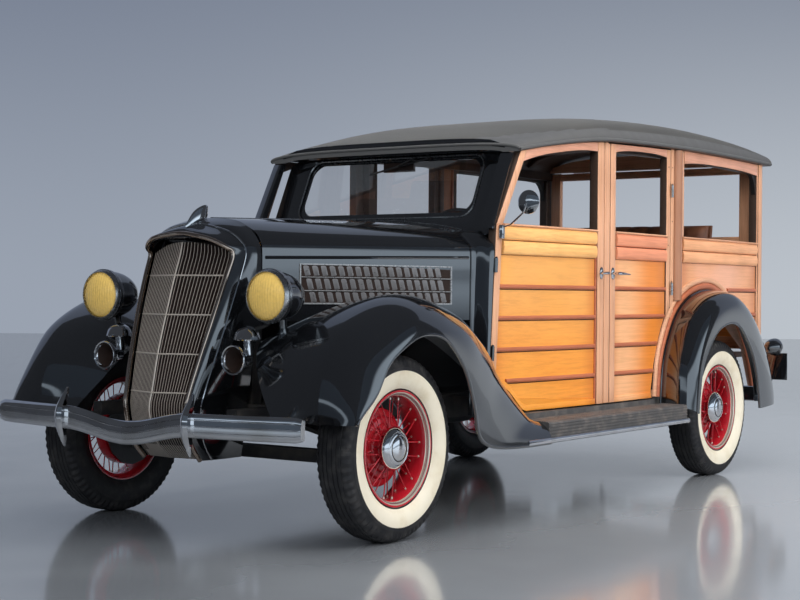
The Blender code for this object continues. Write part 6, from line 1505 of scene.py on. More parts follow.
def add_rib(parts, side, first, last, height):
    """A half-round rib with a thin dark strip under it: a painted shadow of the rib."""
    parts.append(("rib_wood", bead(side, straight_path(first, last, height), 0.0100, 0.0095)))
    parts.append(("seam", bead(side, straight_path(first, last, height - 0.0118), 0.0016, 0.0012)))


def add_belt(parts, side, paint, first, last, count):
    """Two rounded belt planks; first gives the front end at a height."""
    for middle in BELT_PLANK_HEIGHTS:
        path = straight_path(first(middle), last, middle, count)
        parts.append((paint, bead(side, path, 0.0300, 0.0185, 0.018, 0.45, 12)))


def add_sill_lip(parts, side, first, last, count):
    """Rounded lip under the window."""
    path = straight_path(first, last, SILL_LIP_Z, count)
    parts.append(("maple_level", bead(side, path, 0.0060, 0.0200, 0.024, 0.6)))


def header_low(first, last, drop, sag=0.014):
    """Lower edge of a window header: a shallow arch that drops towards the window's corners."""
    def low(place):
        share = (2 * place - first - last) / (last - first)
        return roof_edge_z(place) - drop - sag * min(1, abs(share)) ** 3
    return low


def rear_arch(clearance):
    """Path of (place, z) round the rear fender, grown by a clearance."""
    points = [Vector((WHEELBASE + row[2] * REAR_FENDER_LENGTH, row[3] * REAR_CROWN_Z))
              for row in curved(REAR_FENDER, 4)]
    middle = Vector((WHEELBASE, 0.40))
    grown = []
    for index, point in enumerate(points):
        ahead = (points[min(index + 1, len(points) - 1)] - points[max(index - 1, 0)]).normalized()
        normal = Vector((-ahead.y, ahead.x))
        if normal.dot(point - middle) < 0:
            normal.negate()
        grown.append(point + normal * clearance)
    return [(point.x, point.y) for point in grown]


def arch_height(clearance):
    path = rear_arch(clearance)

    def height(place):
        best = SILL_Z
        for (a, za), (b, zb) in zip(path, path[1:]):
            if min(a, b) <= place <= max(a, b) and abs(b - a) > 1e-9:
                best = max(best, za + (zb - za) * (place - a) / (b - a))
        return best
    return height


def wooden_wall(side, word, body, parts):
    """Joins boards by finish and settles each group on its body."""
    groups = {}
    for paint, thing in parts:
        groups.setdefault(paint, []).append(thing)
    made = []
    for paint, things in groups.items():
        name = "%s_%s_%s" % (body if body != "root" else "quarter", paint, word)
        wall = settle(joined(name, things), name, body, paint, 40)
        # Painted shade: faces more than 8 mm inside the body line, above the sill, get the near-black inner
        # wood.
        if paint in ("maple_upright", "header_wood", "maple_level"):
            painted(wall, "inner_wood")
            for face in wall.data.polygons:
                place = face.center.y - FRONT_AXLE_Y
                if body_x(place) - side * face.center.x > 0.008 and face.center.z > SILL_Z + 0.03:
                    face.material_index = 1
        made.append(wall)
    return made


def screws(side, spots):
    """Small dark screw heads at places of (place, z)."""
    things = []
    for place, z in spots:
        things.append(turned("screw", [(0, 0), (0, 0.0035), (0.0012, 0.0030), (0.0014, 0)],
                             (side * (body_x(place) - 0.0004), axle_y(place), z), (side, 0, 0), 8))
    return ("seam", joined("screws", things))


def add_front_door(side, word):
    """Front door: stiles, header, panel, ribs and belt planks."""
    body = "front_door_" + word
    parts = []
    top = lambda place: roof_edge_z(place) - 0.0005
    foot = lambda place: follow(DOOR_FOOT, place)
    front_last = lambda z: door_front_y(z) + 0.042
    rear_last = DOOR_SPLIT_Y - 0.003
    header_z = header_low(door_front_y(1.5) + 0.04, 1.690, 0.034)
    parts += boards(side, (
        ("maple_upright", door_front_y, front_last, foot, BELT_Z, 2, 16, 0, DOOR_THICKNESS),
        ("maple_upright", door_front_y, front_last, BELT_Z, top, 2, 8, 0, DOOR_THICKNESS),
        ("maple_upright", 1.664, 1.724, SILL_Z, top, 2, 16, 0.001, DOOR_THICKNESS),
        ("maple_upright", 1.7265, rear_last, SILL_Z, top, 2, 16, 0.004, DOOR_THICKNESS, 0.005, 3),
        ("rib_wood", 1.652, 1.6635, SILL_Z, BELT_Z, 1, 12, -0.003, 0.030),
        ("header_wood", front_last, 1.664, header_z, top, 20, 2, -0.001, 0.032),
        ("panel_front", lambda z: front_last(z) - 0.004, 1.656, foot, PLANK_LOW_Z, 12, 8, -PANEL_RECESS,
         0.030, 0),
        ("panel_front", front_last, 1.656, foot, lambda p: foot(p) + 0.026, 24, 1, -0.002, 0.032),
    ))
    for height in RIB_HEIGHTS:
        start = max(front_last(height), 0.842)
        while foot(start) > height - 0.028 and start < 1.2:
            start += 0.004
        add_rib(parts, side, start, 1.656, height)
    add_belt(parts, side, "plank_front", lambda z: front_last(z) + 0.006, 1.648, 20)
    add_sill_lip(parts, side, front_last(BELT_Z) + 0.002, 1.656, 20)
    spots = [(1.694, SILL_Z + 0.03), (1.694, 0.62), (1.694, 0.90), (1.694, 1.18), (1.694, 1.56),
             (1.744, SILL_Z + 0.03), (1.744, 1.56)]
    parts.append(screws(side, spots))
    made = wooden_wall(side, word, body, parts)
    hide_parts(body)


def add_rear_door(side, word):
    """Rear door, whose foot follows the rear fender's arch."""
    body = "rear_door_" + word
    parts = []
    top = lambda place: roof_edge_z(place) - 0.0060
    foot = arch_height(0.078)
    first = DOOR_SPLIT_Y + 0.003
    parts += boards(side, (
        ("maple_upright", first, 1.785, SILL_Z, top, 1, 16, -0.001, DOOR_THICKNESS),
        ("maple_upright", 1.788, 1.838, SILL_Z, top, 2, 16, 0.001, DOOR_THICKNESS),
        ("maple_upright", 2.391, REAR_DOOR_END_Y, foot, top, 2, 16, 0, DOOR_THICKNESS),
        ("header_wood", 1.836, 2.393, header_low(1.838, 2.391, 0.032), top, 16, 2, -0.001, 0.032),
        ("panel_rear", 1.834, 2.395, foot, PLANK_LOW_Z, 14, 8, -PANEL_RECESS, 0.030, 0),
        ("panel_rear", 1.836, 2.235, SILL_Z, SILL_Z + 0.026, 8, 1, -0.002, 0.032),
    ))
    outer = arch_height(0.086)
    for height in RIB_HEIGHTS:
        end = 2.393
        while outer(end) > height and end > 1.9:
            end -= 0.004
        add_rib(parts, side, 1.836, end, height)
    add_belt(parts, side, "plank_rear", fixed(1.846), 2.384, 14)
    add_sill_lip(parts, side, 1.838, 2.391, 14)
    parts.append(screws(side, [(1.812, SILL_Z + 0.03), (1.812, 0.62), (1.812, 0.90), (1.812, 1.18),
                               (1.812, 1.57), (2.41, 1.57), (2.41, 1.18)]))
    made = wooden_wall(side, word, body, parts)
    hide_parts(body)


def add_quarter(side, word):
    """Side behind the doors, with the arch beads round the fender."""
    parts = []
    top = lambda place: roof_edge_z(place) - 0.0005
    foot = arch_height(0.0175)
    first = REAR_DOOR_END_Y + 0.006
    thick = 0.050
    parts += boards(side, [("maple_upright", first, 2.474, foot, top, 2, 16, 0, thick)])
    crest = arch_height(0.050)
    path = [(2.516, crest(2.516) + (roof_edge_z(2.516) - 0.004 - crest(2.516)) * step / 20)
            for step in range(21)]
    parts.append(("post_wood", bead(side, path, 0.0400, 0.0300, 0.030, 0.8, 12)))
    parts += boards(side, (
        ("rib_wood", 2.5575, 2.572, foot, top, 1, 16, -0.002, thick),
        ("maple_upright", 2.572, 2.602, BELT_Z, top, 1, 10, -0.004, thick),
        ("maple_upright", 3.590, 3.606, foot, top, 1, 16, -0.002, thick),
        ("maple_upright", 3.608, BODY_REAR_Y, SILL_Z, top, 2, 16, 0.002, thick),
    ))
    low = header_low(2.602, 3.590, 0.052)
    parts += boards(side, (
        ("header_wood", 2.600, 3.592, low, top, 24, 2, -0.001, 0.032),
        ("panel_quarter", 2.470, 3.594, foot, PLANK_LOW_Z, 28, 8, -PANEL_RECESS, 0.034, 0),
    ))
    near = [point for point in rear_arch(0.004) if point[1] > SILL_Z - 0.03 and point[0] < 2.50]
    far = [point for point in rear_arch(0.072) if point[1] > SILL_Z - 0.03 and point[0] < 2.50]
    outline = [(place, max(z, SILL_Z)) for place, z in near + far[::-1]]
    rings = [[(side * (body_x(place) - deep), axle_y(place), z) for place, z in outline]
             for deep in (0.048, 0.011)]
    parts.append(("maple_level", lofted("arch_back", rings)))
    for clearance, paint, half, proud in ((0.0215, "rib_wood", 0.0165, 0.0150),
                                          (0.0545, "maple_level", 0.0155, 0.0125)):
        path = [(place, z) for place, z in rear_arch(clearance) if place < 3.600 and z > SILL_Z - 0.012]
        path = [(place, max(z, SILL_Z)) for place, z in path]
        parts.append((paint, bead(side, path, half, proud, 0.006, 0.7)))
    outer = arch_height(0.078)
    for height in RIB_HEIGHTS:
        spans = []
        place = 2.574
        begin = None
        while place < 3.5905:
            clear = outer(place) <= height
            if clear and begin is None:
                begin = place
            if begin is not None and (not clear or place > 3.586):
                if place - begin > 0.02:
                    spans.append((begin, place))
                begin = None
            place += 0.004
        for a, b in spans:
            add_rib(parts, side, a, b, height)
    add_belt(parts, side, "plank_quarter", fixed(2.580), 3.582, 24)
    add_sill_lip(parts, side, 2.574, 3.590, 24)
    parts.append(screws(side, [(3.634, z) for z in (0.50, 0.72, 0.94, 1.16, 1.38, 1.60)]
                        + [(2.455, 1.57), (2.455, 1.30), (2.455, 1.0)]))
    corner = [(0.862, 0.524), (0.905, 0.495), (0.960, 0.458), (1.000, 0.432), (1.040, 0.423),
              (1.048, 0.4285), (1.003, 0.459), (0.963, 0.499), (0.934, 0.522), (0.898, 0.533),
              (0.862, 0.537)]
    rings = [[(side * (body_x(place) - deep), axle_y(place), z) for place, z in corner]
             for deep in (0.048, 0.003)]
    parts.append(("maple_level", lofted("door_corner", rings)))
    add_sill(side, word)
    # Painted shade: the inner rail and the centre post get the near-black inner wood.
    parts.append(("inner_wood", make_inner_rail(side)))
    parts.append(("inner_wood", make_centre_post(side)))
    add_bracket(side, word)
    made = wooden_wall(side, word, "root", parts)
    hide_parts("body_side_" + word)


def add_sill(side, word):
    sill = []
    for place, out in ((0.850, 0.7189), (1.30, 0.7189), (1.763, 0.7189), (2.265, 0.7189), (2.290, 0.670),
                       (2.483, 0.670)):
        inner = 0.6003
        outer_x = body_x(place) - 0.0463
        sill.append([(side * x, axle_y(place), z) for x, z in ((inner, 0.366), (out, 0.366),
                                                               (out, 0.4195), (outer_x, 0.4200),
                                                               (outer_x, 0.530), (inner, 0.530))])
    sill = lofted("sill", sill)
    settle(sill, "sill_" + word, "root", "board")


def make_inner_rail(side):
    """Wooden rail under the roof's edge, along the inside."""
    rings = []
    for place in spaced(1.15, BODY_REAR_Y - 0.001, 24):
        outer_x = min(body_x(place) - 0.046, 0.670) - 0.001
        z = roof_edge_z(place) - 0.001
        rings.append([(side * (outer_x - a), axle_y(place), z - b) for a, b in ((0.022, 0.044),
                (0, 0.044), (0, 0), (0.022, 0))])
    return lofted("inner_rail", rings)


def make_centre_post(side):
    return lofted("centre_post",
                  [[(side * x, axle_y(place), z) for x, place in ((0.636, 1.728), (0.669, 1.728),
                                                                  (0.669, 1.798), (0.636, 1.798))]
                   for z in (SILL_Z, 0.8, 1.2, roof_edge_z(1.763) - 0.028)])


def add_bracket(side, word):
    """Curved bracket in the quarter window's upper rear corner."""
    bracket = [(3.588, 1.500), (3.588, roof_edge_z(3.588) - 0.045), (3.470, roof_edge_z(3.470) - 0.047)]
    for step in range(7):
        turn = math.pi / 2 * step / 6
        bracket.append((3.470 + 0.112 * math.sin(turn), roof_edge_z(3.5) - 0.050
                        - 0.112 * (1 - math.cos(turn))))
    rings = [[(side * (body_x(place) - deep), axle_y(place), z) for place, z in bracket]
             for deep in (0.034, 0.012)]
    settle(lofted("window_bracket", rings), "window_bracket_" + word, "root", "chassis")


def add_body(context):
    for side, word in SIDES:
        add_front_door(side, word)
        add_rear_door(side, word)
        add_quarter(side, word)


def add_roof(context):
    """Cloth roof with its drip moulding, bows, rear rail and front brow."""
    rows = []
    stations = 60
    for step in range(stations + 1):
        share = step / stations
        place = ROOF_FRONT_Y + (ROOF_REAR_Y - ROOF_FRONT_Y) * share
        edge = roof_edge_z(place)
        rise = BELT_Z * follow(ROOF_CROWN_CURVE, share)
        narrow = ROOF_HALF_WIDTH * follow(ROOF_PLAN_CURVE, share)
        if share < 0.02:
            rise *= 0.75 + 0.25 * share / 0.02
        outer = [(narrow, axle_y(place), edge), (narrow + 0.0005, axle_y(place), edge + 0.008)]
        for span in range(49):
            t = math.cos(math.pi * span / 48)
            outer.append((narrow * t, axle_y(place), edge + 0.015 + rise * max(0, 1 - t ** 4) ** 0.5))
        outer += [(-narrow - 0.0005, axle_y(place), edge + 0.008), (-narrow, axle_y(place), edge)]
        inside = 0.650 * follow(ROOF_PLAN_CURVE, share)
        for span in range(25):
            t = -math.cos(math.pi * span / 24)
            outer.append((inside * t, axle_y(place), edge + (rise - 0.015) * max(0, 1 - t ** 4) ** 0.5))
        rows.append(outer)
    roof = lofted("roof_shell", rows)
    # Painted shade: faces on the roof's underside get the near-black inner wood.
    painted(roof, "roof_cloth", "inner_wood", "drip")
    for face in roof.data.polygons:
        share = (face.center.y - axle_y(ROOF_FRONT_Y)) / (ROOF_REAR_Y - ROOF_FRONT_Y)
        edge = roof_edge_z(ROOF_FRONT_Y + (ROOF_REAR_Y - ROOF_FRONT_Y) * share)
        if 0.001 < share < 0.999 and face.normal.z < -0.05:
            face.material_index = 1
        elif face.normal.z >= -0.05 and face.center.z < edge + 0.062:
            face.material_index = 2
    settle(roof, "roof_shell", "root", None, 40, ("roof",))
    beads = []
    for side in (-1, 1):
        path = []
        for place in spaced(ROOF_FRONT_Y + 0.004, ROOF_REAR_Y - 0.004, 60):
            narrow = ROOF_HALF_WIDTH * follow(ROOF_PLAN_CURVE, roof_share(place))
            path.append((side * (narrow + 0.001), axle_y(place), roof_edge_z(place) + 0.010))
        beads.append(tube("drip", path, 0.0085, 10))
    for place in (ROOF_REAR_Y - 0.004, ROOF_FRONT_Y + 0.004):
        share = roof_share(place)
        narrow = ROOF_HALF_WIDTH * follow(ROOF_PLAN_CURVE, share)
        rise = BELT_Z * follow(ROOF_CROWN_CURVE, share) * (0.78 if place < 2 else 1)
        path = [(narrow * math.cos(math.pi * span / 32), axle_y(place), roof_edge_z(place) + 0.010
                 + rise * max(0, 1 - math.cos(math.pi * span / 32) ** 4) ** 0.5 * 0.93)
                for span in range(33)]
        beads.append(tube("drip", path, 0.0080, 10))
    settle(joined("drip", beads), "drip_moulding", "root", "drip", 40)
    bows = []
    for number in range(5):
        place = 1.35 + 0.5 * number
        edge, rise = roof_edge_z(place), BELT_Z * follow(ROOF_CROWN_CURVE, roof_share(place))
        rings = []
        for span in range(21):
            t = -0.98 + 1.96 * span / 20
            x = 0.650 * follow(ROOF_PLAN_CURVE, roof_share(place)) * t
            z = edge + (rise - 0.015) * max(0, 1 - t ** 4) ** 0.5
            rings.append([(x, axle_y(place - 0.02), z - 0.022), (x, axle_y(place + 0.02), z - 0.022),
                          (x, axle_y(place + 0.02), z + 0.004), (x, axle_y(place - 0.02), z + 0.004)])
        bows.append(soften(lofted("bow", rings), 0.003))
    # Painted shade: the bows get the near-black inner wood.
    settle(joined("bows", bows), "roof_bows", "root", "inner_wood")
    low, high = roof_edge_z(BODY_REAR_Y) + 0.0005, roof_edge_z(BODY_REAR_Y) + 0.085
    rail = lofted("rear_rail", [[(x, axle_y(BODY_REAR_Y - 0.05), low), (x, axle_y(BODY_REAR_Y), low),
                                 (x, axle_y(BODY_REAR_Y), high - 0.06 * (abs(x) / 0.65) ** 4),
                                 (x, axle_y(BODY_REAR_Y - 0.05), high - 0.06 * (abs(x) / 0.65) ** 4)]
                                for x in (-0.64, -0.5, -0.3, 0, 0.3, 0.5, 0.64)])
    settle(rail, "rear_roof_rail", "root", "maple_across")
    head = roof_edge_z(windshield_y(WINDSHIELD_TOP_Z))
    rows = []
    for x_share in range(-8, 9):
        x = 0.612 * x_share / 8
        crown = 0.040 * (1 - abs(x_share / 8) ** 4) ** 0.5
        rows.append([(x, axle_y(1.020), head - 0.002), (x, axle_y(0.998), head + 0.008 + crown * 0.5),
                     (x, axle_y(1.004), head + 0.020 + crown), (x, axle_y(1.090), head + 0.024 + crown),
                     (x, axle_y(1.110), head - 0.002)])
    settle(lofted("brow", rows), "roof_brow", "root", "enamel", 40)


def add_gates(context):
    """Drop tailgate and liftgate with their frames, ribs, hinges and handles."""
    outer = axle_y(BODY_REAR_Y)
    half = 0.640

    def board(x0, x1, z0, z1, out, deep, ease=0.003):
        rings = [[(x, outer + out, z0), (x, outer + out, z1), (x, outer - deep, z1), (x, outer - deep, z0)]
                 for x in spaced(x0, x1, 6)]
        return soften(lofted("board", rings), ease, 2)

    def round_bar(x0, x1, z, radius, proud):
        rings = []
        for x in spaced(x0, x1, 12):
            ring = [(x, outer - 0.010 + proud * math.sin(math.pi * turn / 8),
                     z + radius * math.cos(math.pi * turn / 8)) for turn in range(9)]
            rings.append(ring + [(x, outer - 0.016, z - radius), (x, outer - 0.016, z + radius)])
        return lofted("round_bar", rings)

    parts = []
    low, high = 0.630, BELT_Z - 0.006
    for side in (-1, 1):
        parts.append(("maple_upright", board(side * half, side * (half - 0.070), low, high, 0, 0.036)))
    parts.append(("maple_across", board(-half + 0.070, half - 0.070, low, low + 0.070, -0.001, 0.036)))
    parts.append(("maple_across", board(-half + 0.070, half - 0.070, high - 0.050, high, -0.001, 0.036)))
    parts.append(("panel_gate", board(-half + 0.068, half - 0.068, low + 0.066, high - 0.046, -0.010,
                                      0.034, 0.001)))
    for z in RIB_HEIGHTS[1:]:
        if z > low + 0.09:
            parts.append(("rib_across", round_bar(-half + 0.072, half - 0.072, z, 0.0125, 0.0095)))
    centre = Vector((0, outer, BELT_Z - TYRE_RADIUS))
    carrier = turned("carrier", [(-0.014, 0), (-0.014, 0.075), (-0.004, 0.078), (0.004, 0.060),
                                 (0.020, 0.046), (0.080, 0.044), (0.096, 0.044), (0.096, 0)], centre,
                     REARWARD, 32)
    groups = {}
    for paint, thing in parts:
        groups.setdefault(paint, []).append(thing)
    first = None
    for paint, things in groups.items():
        made = settle(joined("tailgate_" + paint, things), "tailgate_" + paint, "tailgate", paint,
                      40)
        first = first or made
    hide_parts("tailgate")
    settle(carrier, "spare_carrier", "tailgate", "chassis", 40)
    straps = []
    for side in (-1, 1):
        straps.append(tube("barrel", [(side * 0.450 - 0.055, outer, 0.625),
                                      (side * 0.450 + 0.055, outer, 0.625)], 0.0085, 12))
        straps.append(board(side * 0.450 - 0.022, side * 0.450 + 0.022, 0.632, 0.760, 0.003, 0.001, 0.001))
    for side in (-1, 1):
        straps.append(board(side * 0.560 - 0.016, side * 0.560 + 0.016, high - 0.085, high - 0.012, 0.006,
                            0.001, 0.002))
    settle(joined("gate_hardware", straps), "tailgate_hardware", "tailgate", "satin", 40)

    lift_low, lift_top = BELT_Z + 0.003, roof_edge_z(BODY_REAR_Y) - 0.006
    parts = []
    for side in (-1, 1):
        parts.append(board(side * half, side * (half - 0.062), lift_low, lift_top, 0, 0.036))
    made = settle(joined("lift_stiles", parts), "liftgate_stiles", "liftgate", "maple_upright",
                  40, ("liftgate",))
    parts = [board(-half + 0.062, half - 0.062, lift_low, lift_low + 0.042, -0.001, 0.036),
             board(-half + 0.062, half - 0.062, lift_top - 0.042, lift_top, -0.001, 0.036)]
    settle(joined("lift_rails", parts), "liftgate_rails", "liftgate", "maple_across", 40)
    hardware = []
    for side in (-1, 1):
        hardware.append(tube("barrel", [(side * 0.450 - 0.055, outer, lift_top),
                                        (side * 0.450 + 0.055, outer, lift_top)], 0.0058, 12))
        hardware.append(board(side * 0.450 - 0.020, side * 0.450 + 0.020, lift_top - 0.040,
                              lift_top - 0.006, 0.003, 0.001, 0.001))
    hardware.append(tube("pull", [(-0.05, outer + 0.001, lift_low + 0.02),
                                  (-0.045, outer + 0.018, lift_low + 0.02),
                                  (0.045, outer + 0.018, lift_low + 0.02),
                                  (0.05, outer + 0.001, lift_low + 0.02)], 0.005, 10))
    settle(joined("lift_hardware", hardware), "liftgate_hardware", "liftgate", "satin", 40)


def add_trim(context):
    """Door handles, hinges, mirror and tail lamp."""
    for side, word in SIDES:
        for body, place, reach, way in (("front_door_" + word, 1.700, 0.052, -1),
                                        ("rear_door_" + word, 1.812, 0.118, 1)):
            z = HANDLE_Z
            base = Vector((side * (body_x(place) + 0.001), axle_y(place), z))
            plate = turned("plate", [(0, 0), (0, 0.017), (0.003, 0.016), (0.006, 0.011), (0.006, 0)],
                           base, (side, 0, 0), 24)
            for point in plate.data.vertices:
                point.co.z = z + (point.co.z - z) * 1.7
            knob = tube("knob", [base, base + Vector((side * 0.034, 0, 0))], 0.0085, 16)
            route = [base + Vector((side * 0.034, -way * 0.014, 0)), base + Vector((side * 0.037, 0, 0)),
                     base + Vector((side * 0.036, way * reach * 0.5, -0.001)),
                     base + Vector((side * 0.031, way * reach, -0.003))]
            lever = tube("lever", route, 0.0075, 14, [0.7, 1.15, 0.85, 0.45])
            settle(joined("handle", [plate, knob, lever]), "handle_" + body, body, "chrome", 40)
        for body, place, heights, lean in (
                ("front_door_" + word, DOOR_FRONT_Y, (0.680, 1.050), HINGE_LEAN),
                ("rear_door_" + word, REAR_DOOR_END_Y, (0.960, 1.450), 0.0)):
            barrels = []
            for height in heights:
                x, y = side * (body_x(place) + 0.008), axle_y(place + (height - SILL_Z) * lean)
                barrels.append(tube("barrel", [(x, y - 0.03 * lean, height - 0.03),
                                               (x, y + 0.03 * lean, height + 0.03)], 0.0085, 14))
                barrels.append(turned("pin", [(0, 0), (0, 0.0065), (0.006, 0.005), (0.008, 0)],
                                      (x, y + 0.03 * lean, height + 0.03), (0, 0, 1), 12))
            settle(joined("barrels", barrels), "hinges_" + body, body, "enamel" if "front" in body
                   else "satin", 40)
    centre = Vector((0.826, axle_y(0.840), 1.311))
    face = turned("mirror_face", [(-0.0020, 0), (-0.0020, 0.044), (-0.0035, 0.0445), (-0.0035, 0)],
                  centre, (0, -1, 0), 40)
    case = turned("mirror_case", [(-0.0005, 0.0445), (0.0, 0.050), (0.004, 0.050), (0.010, 0.040),
                                  (0.0135, 0.020), (0.0140, 0), (0.001, 0), (-0.0005, 0.030)], centre,
                  (0, -1, 0), 40)
    base_place = door_front_y(BELT_Z) + 0.021
    base = Vector((body_x(base_place) + 0.010, axle_y(base_place), BELT_Z - 0.030))
    foot = lofted("mirror_foot",
                  [[base + Vector((x, y, z)) for x, y in ((-0.010, -0.013), (0.010, -0.010),
                                                          (0.010, 0.010), (-0.010, 0.013))]
                   for z in (-0.030, 0.030)])
    soften(foot, 0.004)
    arm = tube("mirror_arm", [base + Vector((0.006, 0, 0.02)), base + Vector((0.040, 0.004, 0.030)),
                              centre + Vector((-0.02, -0.012, -0.045)), centre + Vector((0, -0.010, 0))],
               0.0042, 10)
    settle(joined("mirror_case", [case, foot, arm]), "mirror_case", "front_door_left", "chrome",
           40, ("door_mirror",))
    settle(face, "mirror_face", "front_door_left", "mirror", 40)

    lamp = Vector((0.780, axle_y(BODY_REAR_Y), 0.645))
    shell = turned("tail_shell", [(-0.096, 0), (-0.094, 0.010), (-0.080, 0.026), (-0.055, 0.039),
                                  (-0.025, 0.046), (-0.004, 0.048), (0.000, 0.048), (0.004, 0.045),
                                  (0.004, 0)], lamp, REARWARD, 40)
    arm = lofted("tail_arm", [[(x, axle_y(BODY_REAR_Y - 0.045), z) for z in (0.632, 0.652)]
                              + [(x, axle_y(BODY_REAR_Y - 0.020), z) for z in (0.652, 0.632)]
                              for x in (0.703, 0.72, 0.75, 0.78)])
    soften(arm, 0.004)
    plate = lofted("tail_plate",
                   [[(x, axle_y(BODY_REAR_Y) + y, z) for x, z in ((0.705, 0.461), (0.855, 0.461),
                                                                  (0.855, 0.611), (0.705, 0.611))]
                    for y in (0.0048, 0.0096)])
    soften(plate, 0.003)
    settle(joined("tail", [shell, arm, plate]), "tail_lamp_body", "root", "enamel", 40,
           ("tail_lamp",))
    ring = turned("tail_ring", [(0.002, 0.048), (0.006, 0.0485), (0.010, 0.045), (0.010, 0.040),
                                (0.004, 0.040)], lamp, REARWARD, 40)
    settle(ring, "tail_lamp_ring", "root", "chrome", 40)
    lens = turned("tail_lens", [(0.004, 0), (0.004, 0.041), (0.012, 0.036), (0.017, 0.022), (0.019, 0)],
                  lamp, REARWARD, 40)
    settle(lens, "tail_lamp_lens", "root", "ruby", 40)


# Inside

def cushion(half, front, rear, high, crown, panels):
    """A crowned pad with channels sewn front to back, on a flat underside."""
    columns, rows_count = panels * 8, 16
    top = []
    for row in range(rows_count + 1):
        v = row / rows_count
        line = []
        for column in range(columns + 1):
            u = column / columns
            x = -half + 2 * half * u
            edge = (1 - abs(2 * u - 1) ** 8) ** 0.5 * (1 - abs(2 * v - 1) ** 6) ** 0.5
            channel = abs(math.sin(math.pi * u * panels)) ** 0.45
            swell = high - crown * (1 - edge) - 0.012 * (1 - channel)
            line.append((x * (1 - 0.010 * (1 - edge)), front + (rear - front) * v, swell))
        top.append(line)
    return top


def pad(name, top, matrix, thickness):
    """Closes a cushion's crowned face with sides that pull in and a flat back."""
    count = len(top[0])
    rows = []
    border = ([(0, c) for c in range(count)] + [(r, count - 1) for r in range(1, len(top))]
              + [(len(top) - 1, c) for c in range(count - 2, -1, -1)]
              + [(r, 0) for r in range(len(top) - 2, 0, -1)])
    face = skin(name + "_face", top)
    rim = [Vector(top[r][c]) for r, c in border]
    middle = sum(rim, Vector()) / len(rim)
    low = min(point.z for point in rim) - thickness
    for drop, pull in ((0, 0), (0.25, -0.006), (0.5, -0.008), (0.75, -0.005), (1.0, 0.004)):
        ring = []
        for point in rim:
            away = Vector((point.x - middle.x, point.y - middle.y, 0)).normalized()
            spot = point - away * pull
            ring.append((spot.x, spot.y, point.z + (low - point.z) * drop))
        rows.append(ring + [ring[0]])
    sides = skin(name + "_sides", rows)
    thing = joined(name, [face, sides])
    mended(thing, 0.0002, close=True)
    thing.data.transform(matrix)
    if matrix.determinant() < 0:
        thing.data.flip_normals()
    return thing


def add_seats(context):
    """Three benches with padded cushions and backs."""
    floor_top = 0.530
    for name, front, foot, half in (("front_seat", 1.330, floor_top, 0.560),
                                    ("middle_seat", 2.060, floor_top, 0.560),
                                    ("rear_seat", 2.800, 0.615, 0.530)):
        top = foot + 0.270
        rear = front + 0.480
        face = cushion(half - 0.008, axle_y(front), axle_y(rear - 0.105), top, 0.045, 9)
        seat = pad(name + "_cushion", face, Matrix.Identity(4), 0.085)
        settle(seat, name + "_cushion", "root", "leather", 60, (name,))
        lean = math.atan2(0.099, 0.45)
        face = cushion(half - 0.008, 0.0, 0.44, 0.075, 0.040, 9)
        tip = Matrix.Translation((0, axle_y(rear - 0.035), top - 0.005))
        tip = tip @ Matrix.Rotation(math.pi / 2 - lean, 4, "X")
        back = pad(name + "_back", face, tip, 0.030)
        settle(back, name + "_back", "root", "leather", 60)
        base = lofted(name + "_base",
                      [[(x, axle_y(y), z) for y, z in ((front + 0.03, foot), (rear, foot),
                                                       (rear, top - 0.10), (front + 0.03, top - 0.10))]
                       for x in (-half, half)])
        edge = ((rear - 0.012, top - 0.14), (rear, top - 0.14), (rear + 0.098, top + 0.435),
                (rear + 0.075, top + 0.435))
        rear_board = lofted(name + "_board", [[(x, axle_y(y), z) for y, z in edge]
                                              for x in (-half, half)])
        settle(soften(joined(name + "_frame", [base, rear_board]), 0.004), name + "_frame", "root",
               "leather", 40)


def add_steering(context):
    """Steering wheel with three spokes."""
    hub, axis = steering_line()
    rest()
    bpy.ops.mesh.primitive_torus_add(major_radius=0.215, minor_radius=0.0105, major_segments=72,
                                     minor_segments=14)
    rim = bpy.context.object
    rim.data.transform(Matrix.Translation(hub)
                       @ Vector((0, 0, 1)).rotation_difference(axis).to_matrix().to_4x4())
    centre = turned("hub", [(-0.0295, 0), (-0.0295, 0.024), (-0.010, 0.032), (0.004, 0.034),
                            (0.009, 0.026), (0.012, 0.012), (0.0125, 0)], hub, axis, 36)
    things = [rim, centre]
    other = axis.cross(Vector((1, 0, 0)))
    for number in range(3):
        angle = math.radians(90 + 120 * number)
        out = Vector((1, 0, 0)) * math.cos(angle) + other * math.sin(angle)
        things.append(tube("spoke", [hub + out * 0.02, hub + out * 0.11 + axis * -0.004,
                                     hub + out * 0.212], 0.0065, 10))
    settle(joined("steering", things), "steering_rim", "steering_wheel", "enamel", 50,
           ("steering_wheel",))


# Stage

FLOOR_SIZE = 140
WALL_DISTANCE = 27
# Name, place, target, width, depth, power and colour
STUDIO_LIGHTS = (
    ("soft_top", (1.5, -1.0, 5.2), (0, 0, 0.6), 4.5, 7.0, 330, (1.0, 0.985, 0.96)),
    ("soft_side", (6.5, 1.5, 2.6), (0, 0.4, 0.9), 5.5, 2.4, 300, (1.0, 0.98, 0.95)),
    ("soft_front", (2.5, -8.0, 3.0), (0, -1.0, 0.8), 3.5, 2.2, 170, (0.96, 0.98, 1.0)),
    ("soft_back", (-5.0, 3.0, 3.6), (0, 0.0, 1.0), 4.0, 2.4, 160, (0.94, 0.97, 1.0)),
)


def camera_ways():
    """Level ways away from the camera and across its picture."""
    azimuth = math.radians(CAMERA_AZIMUTH)
    return Vector((-math.sin(azimuth), math.cos(azimuth), 0)), Vector((math.cos(azimuth),
            math.sin(azimuth), 0))


def make_plane(name, size):
    rest()
    bpy.ops.mesh.primitive_plane_add(size=size, location=(0, 0, 0))
    plane = bpy.context.object
    plane.name = name
    return plane


def across_picture(paint):
    across = camera_ways()[1]
    return paint.node("ShaderNodeVectorMath", {"operation": "DOT_PRODUCT"},
                      {0: paint.coords, 1: tuple(across)}, output="Value")


